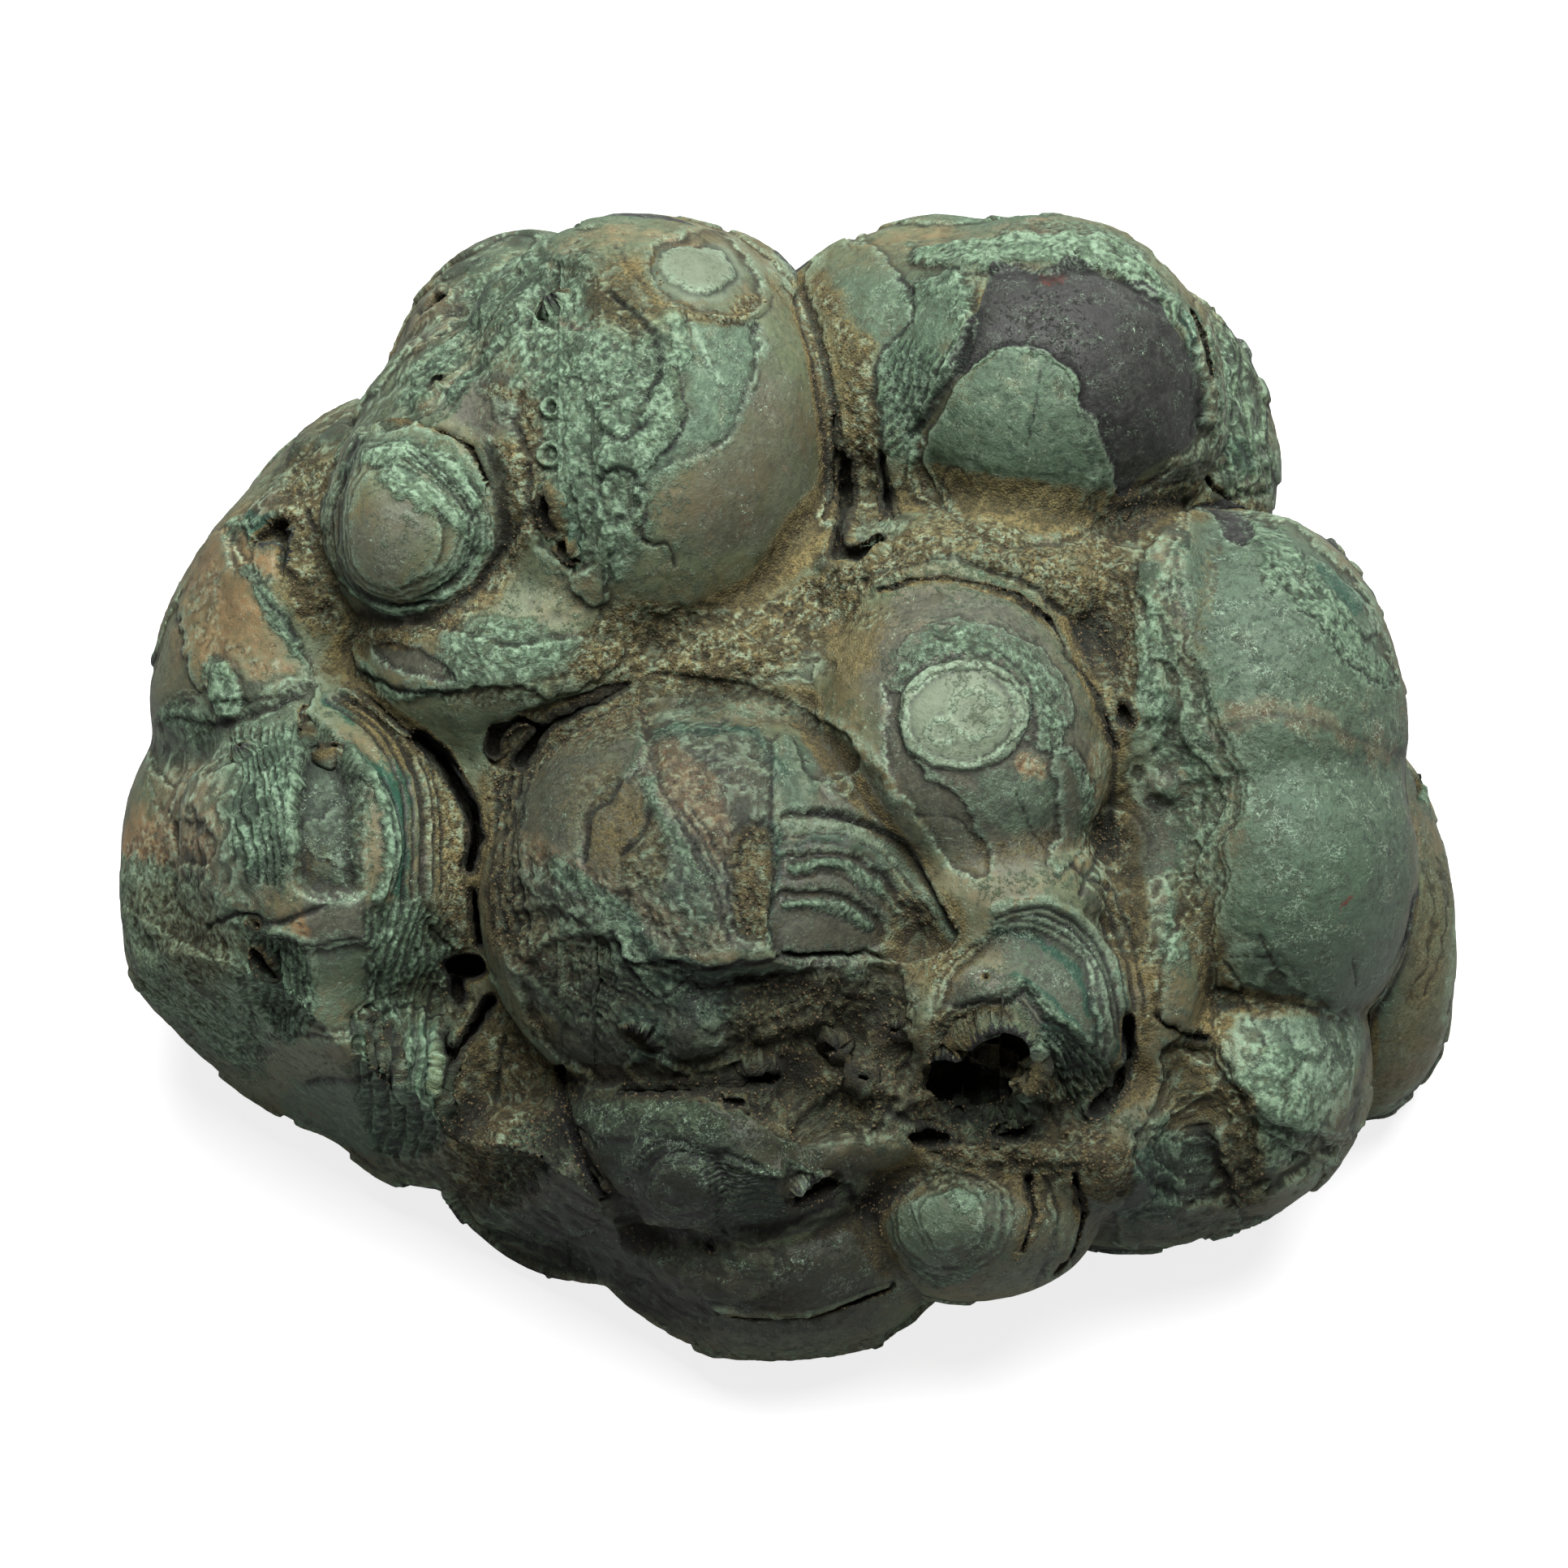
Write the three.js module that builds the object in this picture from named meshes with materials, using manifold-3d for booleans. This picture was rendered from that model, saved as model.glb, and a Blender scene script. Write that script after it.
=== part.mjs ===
import * as THREE from 'three';
import { mergeVertices } from 'three/addons/utils/BufferGeometryUtils.js';
import Module from 'manifold-3d';

const wasm = await Module();
wasm.setup();

// A botryoidal malachite specimen: rounded lobes of layered mineral grown into one solid mass,
// with peeled growth layers, pits and crevices, standing on a flat sawn base. Sizes are in mm.
//
// The lobes are laid out on the specimen's face: u runs right, v up the face and w out of it.
// Outlines and lines on the face are given as seen from a point EYE_DISTANCE in front of it.
const FACE_LEAN = 45; // degrees the face leans back from the vertical
const EYE_DISTANCE = 1400;
const BASE_DEPTH = 70; // the sawn base lies this far below the middle of the face
const BOX_MIDDLE = [1.1, 4.1]; // x and y of the middle of the bounding box before it is centred
const LOBE_FACET = 15; // target edge of the facets of a lobe that stands out of the face
const REAR_FACET = 22; // the same for the lobes behind them
const REAR_DEPTH = 9; // a lobe whose middle is deeper than this is a rear one
const PIT_FACET = 8.5; // target edge of a pit's facets
const ROD_SIDES = 4;
const WAVE_HEIGHT = 0.7; // gentle unevenness of every lobe
const WAVE_PITCH = 26;
const SHEET_REACH = 130; // outlines cut this far out of the face
const SLAB = 400; // side of the blocks that saw flat faces
const STONE_COLOUR = 0x5f6955;

const LOBES = [
  { name: 'core', at: [-9.5, 0.5, -12], radii: [86.5, 73.5, 58], roll: 0 },
  { name: 'rear_body', at: [0, 17, -38], radii: [93.5, 71.5, 58], roll: 0 },
  { name: 'front_body', at: [0, -46, -4], radii: [80, 40, 45], roll: 0 },
  { name: 'rear_left', at: [-48, 35, -50], radii: [38, 38, 34], roll: 10 },
  { name: 'rear_right', at: [44, 46, -47], radii: [36, 36, 33], roll: 0 },
  { name: 'rear_low', at: [4, 28, -70], radii: [42, 36, 30], roll: 0 },
  { name: 'crown_left', at: [-26.5, 58.5, 16], radii: [35.5, 40.5, 44], roll: 0 },
  { name: 'crown_tip', at: [-15, 75, 4], radii: [18.5, 21.5, 36], roll: -20 },
  { name: 'crown_cheek', at: [-55, 51, 10], radii: [23, 34, 38], roll: -14 },
  { name: 'eye', at: [-64.5, 44, 26], radii: [15.5, 19, 28], roll: 0 },
  { name: 'back_left', at: [-49, 68, -20], radii: [23, 30.5, 44], roll: -14 },
  { name: 'apron', at: [-45, 23.5, 16], radii: [31, 21.5, 34], roll: 15 },
  { name: 'crown_right', at: [46, 69.5, 12], radii: [31.5, 30, 40], roll: 0 },
  { name: 'saddle', at: [29, 67.5, 2], radii: [35, 31.5, 36], roll: 0 },
  { name: 'back_right', at: [64, 55.5, -22], radii: [24.5, 33, 38], roll: 0 },
  { name: 'heart', at: [30, 7.5, 36], radii: [27, 29, 34], roll: 0 },
  { name: 'brow', at: [-11.5, -21, 36], radii: [41, 36.5, 38], roll: 10 },
  { name: 'cheek_upper', at: [81.5, 9.5, 8], radii: [29, 38, 44], roll: 0 },
  { name: 'cheek_mid', at: [86, -13.5, 10], radii: [26, 32.5, 46], roll: 0 },
  { name: 'cheek_low', at: [81.5, -52, 6], radii: [21, 26, 42], roll: -16 },
  { name: 'valley', at: [67, 0.5, 14], radii: [21.5, 47.5, 30], roll: 0 },
  { name: 'far_right', at: [103, -24, -28], radii: [19, 35, 38], roll: 6 },
  { name: 'knob', at: [41, -39, 44], radii: [19.5, 19.5, 26], roll: 0 },
  { name: 'chin', at: [-10.5, -63, 31], radii: [29, 17, 35], roll: -5 },
  { name: 'toe_right', at: [33.5, -75.5, 28], radii: [21, 14, 28], roll: 0 },
  { name: 'toe_left', at: [-39.5, -70, 16], radii: [22.5, 19, 36], roll: 30 },
  { name: 'sole', at: [-1.5, -81.5, 12], radii: [31, 18.5, 38], roll: 0 },
  { name: 'heel_right', at: [63.5, -61, 4], radii: [26, 21.5, 38], roll: 10 },
  { name: 'left_shell', at: [-80.5, -13.5, 12], radii: [27, 31, 38], roll: 0 },
  { name: 'left_low', at: [-85.5, -37.5, 2], radii: [27.5, 27.5, 38], roll: 20 },
  { name: 'left_edge', at: [-91, -16, -14], radii: [29.5, 36, 40], roll: -4 },
  { name: 'left_back', at: [-82, 33.5, -12], radii: [23.5, 41.5, 42], roll: -34 },
  { name: 'left_foot', at: [-67.5, -52, 2], radii: [18.5, 19.5, 36], roll: 0 },
];

// Broken flats at the specimen's edge: each keeps the side its normal points away from.
const FLATS = [
  { name: 'lower_left_break', through: [-95, -49, 0], normal: [-0.554, -0.765, 0.33] },
];

// Growth layers that stand proud of the lobe they cover.
const PLATES = [
  { name: 'heart_disc', lobe: 'heart', rise: 1.4, oval: [32, 12, 11.5, 10] },
  { name: 'eye_shell', lobe: 'eye', rise: 0.9, oval: [-67, 44.5, 13.5, 17] },
  { name: 'eye_disc', lobe: 'eye', rise: 2, oval: [-69.5, 45, 8.5, 12] },
  { name: 'chin_disc', lobe: 'chin', rise: 1.3, oval: [-19.5, -70.5, 10.5, 7.5] },
  {
    name: 'crown_disc', lobe: 'crown_right', rise: 1.4,
    outline: [
      [27, 64.5], [31, 73.5], [36.5, 77], [43, 77.5], [48.5, 75.5],
      [53, 71], [54, 67], [56.5, 63], [59, 56], [59, 50],
      [54.5, 46], [47, 43.5], [37, 43.5], [28.5, 50], [24.5, 57.5],
    ],
  },
  {
    name: 'crown_cap', lobe: 'crown_right', rise: 1.2,
    outline: [
      [22.5, 96.5], [34, 99.5], [48.5, 100], [63, 93], [69.5, 86.5],
      [63, 90], [53, 94], [40, 93], [36.5, 90], [32.5, 82],
      [31, 76.5], [27, 69], [22.5, 64.5], [22, 79],
    ],
  },
  {
    name: 'cheek_flake', lobe: 'valley', rise: 1.6,
    outline: [
      [63, 38.5], [70.5, 30], [69, 19.5], [72, 9.5], [80.5, -2],
      [77.5, -15.5], [75, -24], [67.5, -31], [63, -19.5], [64.5, -5],
      [60.5, 9.5], [61.5, 24],
    ],
  },
  {
    name: 'shell_layers', lobe: 'left_shell', rise: 1.6,
    outline: [
      [-77.5, 16.5], [-67.5, 9.5], [-60.5, 0.5], [-57.5, -8], [-56.5, -27], [-63, -28.5],
      [-64, -16.5], [-67, -5], [-72.5, 3.5], [-82, 15],
    ],
  },
];

// Patches where outer growth layers have peeled away.
const PEELS = [
  {
    name: 'crown_peel', lobe: 'crown_left', depth: 1.5,
    outline: [
      [-47, 82], [-38.5, 91], [-30, 90], [-24, 83], [-22, 76.5], [-23, 67.5],
      [-18, 64.5], [-24, 57.5], [-25.5, 47], [-32.5, 38.5], [-40, 40], [-46, 47], [-47, 64.5],
    ],
  },
  {
    name: 'brow_outer_band', lobe: 'brow', depth: 1.6,
    outline: [
      [2, -6], [12.5, -6.5], [21, -12.5], [27, -21], [29, -25.5],
      [27, -32.5], [18, -34], [11, -28.5], [2, -19.5],
    ],
  },
  {
    name: 'brow_inner_band', lobe: 'brow', depth: 3.2,
    outline: [[3, -17.5], [12.5, -19.5], [18, -27], [16, -33.5], [3, -31]],
  },
  {
    name: 'brow_fan', lobe: 'brow', depth: 1.2,
    outline: [
      [-35, 2], [-25.5, 9.5], [-9.5, 5], [-2, -8], [-2, -28.5],
      [-9.5, -30.5], [-18, -19.5], [-30, -14], [-37, -8],
    ],
  },
  {
    name: 'brow_fracture', lobe: 'brow', depth: 3,
    outline: [
      [-38.5, -30], [-24, -38], [-14, -34], [-0.5, -31], [11, -32.5], [19.5, -38.5],
      [19, -53], [5, -61], [-30, -56], [-40, -47],
    ],
  },
  {
    name: 'knob_outer_band', lobe: 'knob', depth: 1.8,
    outline: [
      [32.5, -32], [43, -28.5], [51.5, -32.5], [55, -43], [53, -53],
      [44.5, -59], [31, -58], [24.5, -48.5], [26, -38],
    ],
  },
  {
    name: 'knob_inner_band', lobe: 'knob', depth: 4.2,
    outline: [[33.5, -40], [43.5, -38], [49.5, -45], [47, -54.5], [35, -58], [27, -50]],
  },
  {
    name: 'left_broken_face', lobe: 'left_shell', depth: 4,
    outline: [
      [-96.5, 8.5], [-86.5, 12.5], [-74, 11], [-71.5, 0.5], [-69.5, -14],
      [-72.5, -21], [-85, -22], [-95, -16.5],
    ],
  },
  {
    name: 'left_low_scar', lobe: 'left_low', depth: 2.2,
    outline: [[-93.5, -29], [-75, -28.5], [-72, -40], [-76.5, -49.5], [-89.5, -47]],
  },
];

// Rounded pits, sized across the face and straight down into it.
const PITS = [
  { name: 'knob_cavity', at: [36.5, -51], across: [9.5, 7.5], deep: 15, roll: 20 },
  { name: 'left_crevice_top', at: [-60, -0.5], across: [2.5, 9], deep: 12, roll: 40 },
  { name: 'left_crevice_low', at: [-55, -12.5], across: [2, 9.5], deep: 14, roll: 0 },
  { name: 'left_hole', at: [-57, -32.5], across: [5, 3], deep: 12, roll: 0 },
  { name: 'shell_hole', at: [-81, 7.5], across: [3, 2], deep: 6, roll: 0 },
  { name: 'crown_pit', at: [-41.5, 48], across: [2.5, 5], deep: 5, roll: 0 },
  { name: 'crown_pit_low', at: [-38.5, 41], across: [2.5, 1.5], deep: 3, roll: 0 },
  { name: 'crown_ring_pit', at: [-41.5, 86], across: [3.5, 3], deep: 1.6, roll: 0 },
  { name: 'back_cavity', at: [-90, 42], across: [4, 4.5], deep: 8, roll: -15 },
  { name: 'brow_hollow', at: [-11, -44], across: [15.5, 7.5], deep: 4, roll: 5 },
  { name: 'chin_hollow', at: [7.5, -74], across: [6.5, 2.5], deep: 5, roll: 5 },
  { name: 'saddle_crevice', at: [12, 46], across: [2.5, 7.5], deep: 7, roll: 5 },
  { name: 'brow_pit_left', at: [-5, -52], across: [3, 1.5], deep: 3.5, roll: 0 },
  { name: 'brow_pit_right', at: [21, -43], across: [2.5, 2], deep: 3, roll: 0 },
  { name: 'knob_pit', at: [27, -62], across: [4, 2], deep: 4, roll: 0 },
  { name: 'far_pit', at: [113.5, -1], across: [1.5, 2.5], deep: 3, roll: 0 },
];

// Open cracks and the edges of growth layers.
const GROOVES = [
  {
    name: 'heart_arc', radius: 1.2,
    line: [[6, 25.5], [14, 33.5], [28.5, 37], [41.5, 32.5], [50, 24], [57.5, 12.5], [59.5, 6.5]],
  },
  { name: 'apron_slot', radius: 1.8, line: [[-51.5, 4.5], [-48, 7.5], [-38.5, 12.5], [-28.5, 18]] },
  { name: 'crown_rim', radius: 0.9, line: [[8.5, 61.5], [9, 55], [6.5, 47]] },
  { name: 'brow_slit', radius: 1.2, line: [[-29.5, -54.5], [-19.5, -55], [-9.5, -54]] },
  { name: 'knob_gap', radius: 1.1, line: [[61, -40.5], [61.5, -48.5], [60.5, -56]] },
  { name: 'toe_arc_outer', radius: 1, line: [[43.5, -69], [48.5, -75], [48.5, -82], [44.5, -87]] },
  { name: 'toe_arc_inner', radius: 0.9, line: [[38, -70.5], [42, -76.5], [41.5, -82], [38, -85.5]] },
  { name: 'left_crack', radius: 1.1, line: [[-71.5, -32], [-70.5, -41.5], [-72, -54.5]] },
  { name: 'left_foot_crack', radius: 1.1, line: [[-52, -46.5], [-51.5, -54.5], [-53, -62.5]] },
  { name: 'left_ledge', radius: 1, line: [[-104, -25.5], [-92.5, -24.5], [-87.5, -27]] },
];

// Raised ribs and swellings.
const RIDGES = [
  {
    name: 'crown_ridge', radius: 1.6,
    line: [[-53, 61.5], [-47, 54.5], [-48.5, 44.5], [-54.5, 32.5], [-61, 25.5]],
  },
  { name: 'brow_ridge', radius: 2, line: [[5, 15], [16.5, 0.5], [27, -14], [32, -20.5]] },
  { name: 'brow_lamella', radius: 1.4, line: [[-43, 2], [-49, -9.5], [-50.5, -21], [-47, -34]] },
  { name: 'valley_bead', radius: 2.2, line: [[68, 0.5], [68.5, -0.5]] },
  { name: 'sill_ledge', radius: 1.3, line: [[-76.5, 23], [-71.5, 20], [-67, 17], [-59, 16.5]] },
];

/** Turns a closed three.js geometry into a solid. */
function solidOf(geometry) {
  const bare = geometry.index ? geometry.toNonIndexed() : geometry.clone();
  bare.deleteAttribute('normal');
  bare.deleteAttribute('uv');
  const welded = mergeVertices(bare, 1e-4);
  const mesh = new wasm.Mesh({
    numProp: 3,
    vertProperties: new Float32Array(welded.attributes.position.array),
    triVerts: new Uint32Array(welded.index.array),
  });
  return new wasm.Manifold(mesh);
}

/** Turns a solid back into a three.js geometry. */
function geometryOf(solid) {
  const mesh = solid.getMesh();
  const geometry = new THREE.BufferGeometry();
  geometry.setAttribute('position', new THREE.BufferAttribute(mesh.vertProperties, 3));
  geometry.setIndex(new THREE.BufferAttribute(mesh.triVerts, 1));
  return geometry;
}

/** A slow ripple over the face, so that no lobe is a true ellipsoid. */
function wave(x, y, z) {
  const k = (2 * Math.PI) / WAVE_PITCH;
  const first = Math.sin(k * (x + 0.6 * y)) * Math.cos(k * (0.8 * y - 0.5 * z));
  const second = Math.sin(k * 0.7 * (z - 0.4 * x) + 1.3);
  return 0.5 * (first + second);
}

/** The geometry of one ellipsoid on the face, grown outward by `growth`. */
function ellipsoid({ at, radii, roll }, growth, facet, waviness) {
  const mean = (radii[0] + radii[1] + radii[2]) / 3;
  const detail = Math.max(1, Math.round((mean * 1.1) / facet));
  const geometry = new THREE.IcosahedronGeometry(1, detail);
  geometry.scale(radii[0] + growth, radii[1] + growth, radii[2] + growth);
  geometry.rotateZ(THREE.MathUtils.degToRad(roll));
  geometry.translate(at[0], at[1], at[2]);
  const position = geometry.attributes.position;
  const centre = new THREE.Vector3(...at);
  const point = new THREE.Vector3();
  for (let i = 0; i < position.count; i += 1) {
    point.fromBufferAttribute(position, i);
    const lift = 1 + (waviness * wave(point.x, point.y, point.z)) / mean;
    point.sub(centre).multiplyScalar(lift).add(centre);
    position.setXYZ(i, point.x, point.y, point.z);
  }
  return geometry;
}

/** Depth of one lobe's surface at a place on the face, or -Infinity beside the lobe. */
function lobeDepth({ at, radii, roll }, u, v) {
  const angle = THREE.MathUtils.degToRad(roll);
  const du = u - at[0];
  const dv = v - at[1];
  const across = (du * Math.cos(angle) + dv * Math.sin(angle)) / radii[0];
  const along = (dv * Math.cos(angle) - du * Math.sin(angle)) / radii[1];
  const rest = 1 - across * across - along * along;
  return rest > 0 ? at[2] + radii[2] * Math.sqrt(rest) : -Infinity;
}

/** The point of the given lobes' surface seen at (u, v) from the viewing point. */
function onFace([u, v], lobes) {
  let w = lobes.length === 1 ? lobes[0].at[2] + lobes[0].radii[2] : 40;
  for (let pass = 0; pass < 6; pass += 1) {
    const shrink = 1 - w / EYE_DISTANCE;
    const depth = Math.max(...lobes.map((lobe) => lobeDepth(lobe, u * shrink, v * shrink)));
    w = Number.isFinite(depth) ? depth : w;
  }
  const shrink = 1 - w / EYE_DISTANCE;
  return [u * shrink, v * shrink, w];
}

/** Points of an oval outline. */
function ovalOutline([u, v, across, along]) {
  const count = 15;
  return Array.from({ length: count }, (_, i) => {
    const angle = (2 * Math.PI * i) / count;
    return [u + across * Math.cos(angle), v + along * Math.sin(angle)];
  });
}

/** A straight column over an outline on one lobe, from the lobe's middle out of the face. */
function column(lobe, outline) {
  const seen = outline.map((point) => onFace(point, [lobe]));
  const shape = new THREE.Shape(seen.map(([a, b]) => new THREE.Vector2(a, b)));
  const options = { depth: SHEET_REACH, bevelEnabled: false, steps: 1 };
  const geometry = new THREE.ExtrudeGeometry(shape, options);
  geometry.translate(0, 0, lobe.at[2]);
  return solidOf(geometry);
}

/** The solid of one lobe, grown outward by `growth`. */
function lobeSolid(lobe, growth) {
  const facet = lobe.at[2] < REAR_DEPTH ? REAR_FACET : LOBE_FACET;
  return solidOf(ellipsoid(lobe, growth, facet, WAVE_HEIGHT));
}

/** A growth layer standing proud of its lobe. */
function plateSolid(plate) {
  const lobe = lobeNamed(plate.lobe);
  const outline = plate.outline ?? ovalOutline(plate.oval);
  return column(lobe, outline).intersect(lobeSolid(lobe, plate.rise));
}

/** What is cut away where a growth layer has peeled off its lobe. */
function peelSolid(peel) {
  const lobe = lobeNamed(peel.lobe);
  return column(lobe, peel.outline).subtract(lobeSolid(lobe, -peel.depth));
}

/** What is cut away for a rounded pit. */
function pitSolid(pit) {
  const at = onFace(pit.at, LOBES);
  const radii = [pit.across[0], pit.across[1], pit.deep];
  return solidOf(ellipsoid({ at, radii, roll: pit.roll }, 0, PIT_FACET, 0));
}

/** A rod laid along a line on the face, half sunk into it. */
function rodSolid({ line, radius }) {
  const points = line.map((point) => new THREE.Vector3(...onFace(point, LOBES)));
  const corners = Array.from({ length: ROD_SIDES }, (_, i) => {
    const angle = (2 * Math.PI * i) / ROD_SIDES;
    return new THREE.Vector2(radius * Math.cos(angle), radius * Math.sin(angle));
  });
  const options = {
    steps: Math.max(2, Math.round(1.5 * (points.length - 1))),
    extrudePath: new THREE.CatmullRomCurve3(points),
    bevelEnabled: false,
  };
  return solidOf(new THREE.ExtrudeGeometry(new THREE.Shape(corners), options));
}

/** The block beyond a flat, to be sawn off. */
function slabSolid({ through, normal }) {
  const outward = new THREE.Vector3(...normal).normalize();
  const block = new THREE.BoxGeometry(SLAB, SLAB, SLAB);
  block.translate(0, 0, SLAB / 2);
  const facing = new THREE.Vector3(0, 0, 1);
  block.applyQuaternion(new THREE.Quaternion().setFromUnitVectors(facing, outward));
  block.translate(...through);
  return solidOf(block);
}

/** Finds a lobe by name. */
function lobeNamed(name) {
  return LOBES.find((lobe) => lobe.name === name);
}

/** The whole specimen in the face frame, before its base is sawn. */
function faceSolid() {
  let mass = wasm.Manifold.union(LOBES.map((lobe) => lobeSolid(lobe, 0)));
  mass = wasm.Manifold.difference([mass, ...FLATS.map(slabSolid)]);
  mass = wasm.Manifold.union([mass, ...PLATES.map(plateSolid)]);
  mass = wasm.Manifold.difference([mass, ...PEELS.map(peelSolid)]);
  mass = wasm.Manifold.union([mass, ...RIDGES.map(rodSolid)]);
  const cuts = [...GROOVES.map(rodSolid), ...PITS.map(pitSolid)];
  return wasm.Manifold.difference([mass, ...cuts]);
}

/** The specimen standing on its sawn base, centred over the origin. */
function standingSolid() {
  const lean = new THREE.Matrix4().makeRotationX(THREE.MathUtils.degToRad(FACE_LEAN));
  const shift = new THREE.Matrix4().makeTranslation(-BOX_MIDDLE[0], -BOX_MIDDLE[1], BASE_DEPTH);
  const geometry = geometryOf(faceSolid()).applyMatrix4(shift.multiply(lean));
  const below = slabSolid({ through: [0, 0, 0], normal: [0, 0, -1] });
  return solidOf(geometry).subtract(below);
}

const specimen = new THREE.Mesh(
  geometryOf(standingSolid()),
  new THREE.MeshStandardMaterial({ color: STONE_COLOUR, roughness: 0.75, metalness: 0 }),
);
specimen.name = 'malachite_specimen';
specimen.geometry.computeVertexNormals();

const part = new THREE.Group();
part.name = 'malachite_specimen_part';
part.add(specimen);

export default part;
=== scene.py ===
"""A botryoidal malachite specimen: rounded lobes of layered mineral grown into one mass.

The stone is built as a field of distances from which its skin is drawn, then the skin gets its
growth layers, ledges, cracks and grit, and a finish that follows them. Sizes are in mm until a
mesh is made, and a mesh is in metres.
"""

import copy
import logging
import math
from dataclasses import dataclass, field
from enum import Enum

import bpy
import numpy as np
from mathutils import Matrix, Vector


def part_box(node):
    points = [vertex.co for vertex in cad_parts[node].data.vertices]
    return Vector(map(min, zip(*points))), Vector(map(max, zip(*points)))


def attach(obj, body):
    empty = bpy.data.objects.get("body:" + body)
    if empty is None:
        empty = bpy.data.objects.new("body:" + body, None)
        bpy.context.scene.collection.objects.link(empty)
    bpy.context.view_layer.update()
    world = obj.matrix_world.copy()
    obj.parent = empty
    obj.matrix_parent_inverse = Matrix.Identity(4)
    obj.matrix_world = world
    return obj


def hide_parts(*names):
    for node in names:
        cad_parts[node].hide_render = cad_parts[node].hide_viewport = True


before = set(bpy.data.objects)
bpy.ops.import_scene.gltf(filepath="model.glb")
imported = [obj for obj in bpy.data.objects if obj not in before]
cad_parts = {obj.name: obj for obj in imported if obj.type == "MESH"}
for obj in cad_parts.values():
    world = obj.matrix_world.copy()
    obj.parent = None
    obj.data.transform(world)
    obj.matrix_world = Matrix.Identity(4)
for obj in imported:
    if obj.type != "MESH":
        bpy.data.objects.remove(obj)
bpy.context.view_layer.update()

Array = np.ndarray
Point = tuple[float, float]
Outline = tuple[Point, ...]

MM = 0.001
NODE = "malachite_specimen"
BODY = "root"

log = logging.getLogger("malachite")


# ---------------------------------------------------------------- the face and its measures


def path(text: str) -> Outline:
    """The points of a line written as "u,v u,v"."""
    return tuple(tuple(float(part) for part in pair.split(",")) for pair in text.split())


def ramp(value: Array, low: float, high: float) -> Array:
    """Rises smoothly from 0 at `low` to 1 at `high`."""
    t = np.clip((value - low) / (high - low), 0.0, 1.0)
    return t * t * (3.0 - 2.0 * t)


@dataclass(frozen=True)
class FaceFrame:
    """The leaning face on which the lobes are laid out: u right, v up the face, w out of it."""

    lean: float = math.radians(45.0)
    eye_distance: float = 1400.0
    base_depth: float = 70.0
    middle: Point = (1.1, 4.1)

    def to_face(self, world: Array) -> Array:
        """Face coordinates of standing points.

        Args:
            world: Points standing on the base, one row each.

        Returns:
            The same points in the face's coordinates.
        """
        y = world[:, 1] + self.middle[1]
        z = world[:, 2] - self.base_depth
        c, s = math.cos(self.lean), math.sin(self.lean)
        return np.stack([world[:, 0] + self.middle[0], c * y + s * z, c * z - s * y], axis=1)

    def to_world(self, face: Array) -> Array:
        """Standing coordinates of points given on the face.

        Args:
            face: Points in the face's coordinates, one row each.

        Returns:
            The same points, standing on the base.
        """
        c, s = math.cos(self.lean), math.sin(self.lean)
        y = c * face[:, 1] - s * face[:, 2] - self.middle[1]
        z = s * face[:, 1] + c * face[:, 2] + self.base_depth
        return np.stack([face[:, 0] - self.middle[0], y, z], axis=1)

    def seen(self, face: Array) -> Array:
        """Where points of the face are seen from the viewing point.

        Args:
            face: Points in the face's coordinates.

        Returns:
            Their u and v as projected onto the plane w = 0.
        """
        return face[:, :2] / (1.0 - face[:, 2:3] / self.eye_distance)

    def eye(self) -> Array:
        """The viewing point, standing."""
        return self.to_world(np.array([[0.0, 0.0, self.eye_distance]]))[0]


FACE = FaceFrame()


NOISE_PRIMES = (73856093, 19349663, 83492791)
NOISE_START = 2654435761
NOISE_STIR = 1274126177
NOISE_STEP = 17
NOISE_GAIN = 1.35


@dataclass(frozen=True)
class Noise:
    """Smooth seeded noise on a lattice, between about -1 and 1."""

    seed: int
    pitch: float
    octaves: int = 1

    def _single(self, columns: Array, pitch: float, seed: int) -> Array:
        """One octave of the noise, from the points' three columns."""
        shares, nodes = [], []
        for column, prime in zip(columns, NOISE_PRIMES):
            q = column / pitch
            cell = np.floor(q)
            f = (q - cell).astype(np.float32)
            f = f * f * f * (f * (f * 6.0 - 15.0) + 10.0)
            shares.append((1.0 - f, f))
            node = cell.astype(np.int64) * prime
            nodes.append((node, node + prime))
        start = seed * NOISE_START & 0x7FFFFFFF
        total = np.zeros(len(columns[0]), np.float32)
        for corner in range(8):
            x, y, z = corner & 1, corner >> 1 & 1, corner >> 2 & 1
            h = nodes[0][x] ^ nodes[1][y] ^ nodes[2][z] ^ start
            h = (h ^ (h >> 13)) * NOISE_STIR
            value = ((h >> 8) & 0xFFFF).astype(np.float32) / 32767.5 - 1.0
            total += shares[0][x] * shares[1][y] * shares[2][z] * value
        return total * NOISE_GAIN

    def at(self, points: Array) -> Array:
        """The noise at each point.

        Args:
            points: Points in mm, one row each.

        Returns:
            One value per point.
        """
        columns = np.ascontiguousarray(points.T)
        total = np.zeros(len(points), np.float32)
        size, pitch = 1.0, self.pitch
        for octave in range(self.octaves):
            total += size * self._single(columns, pitch, self.seed + NOISE_STEP * octave)
            size, pitch = size * 0.5, pitch * 0.5
        return total


# ---------------------------------------------------------------- the mass of lobes


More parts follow.
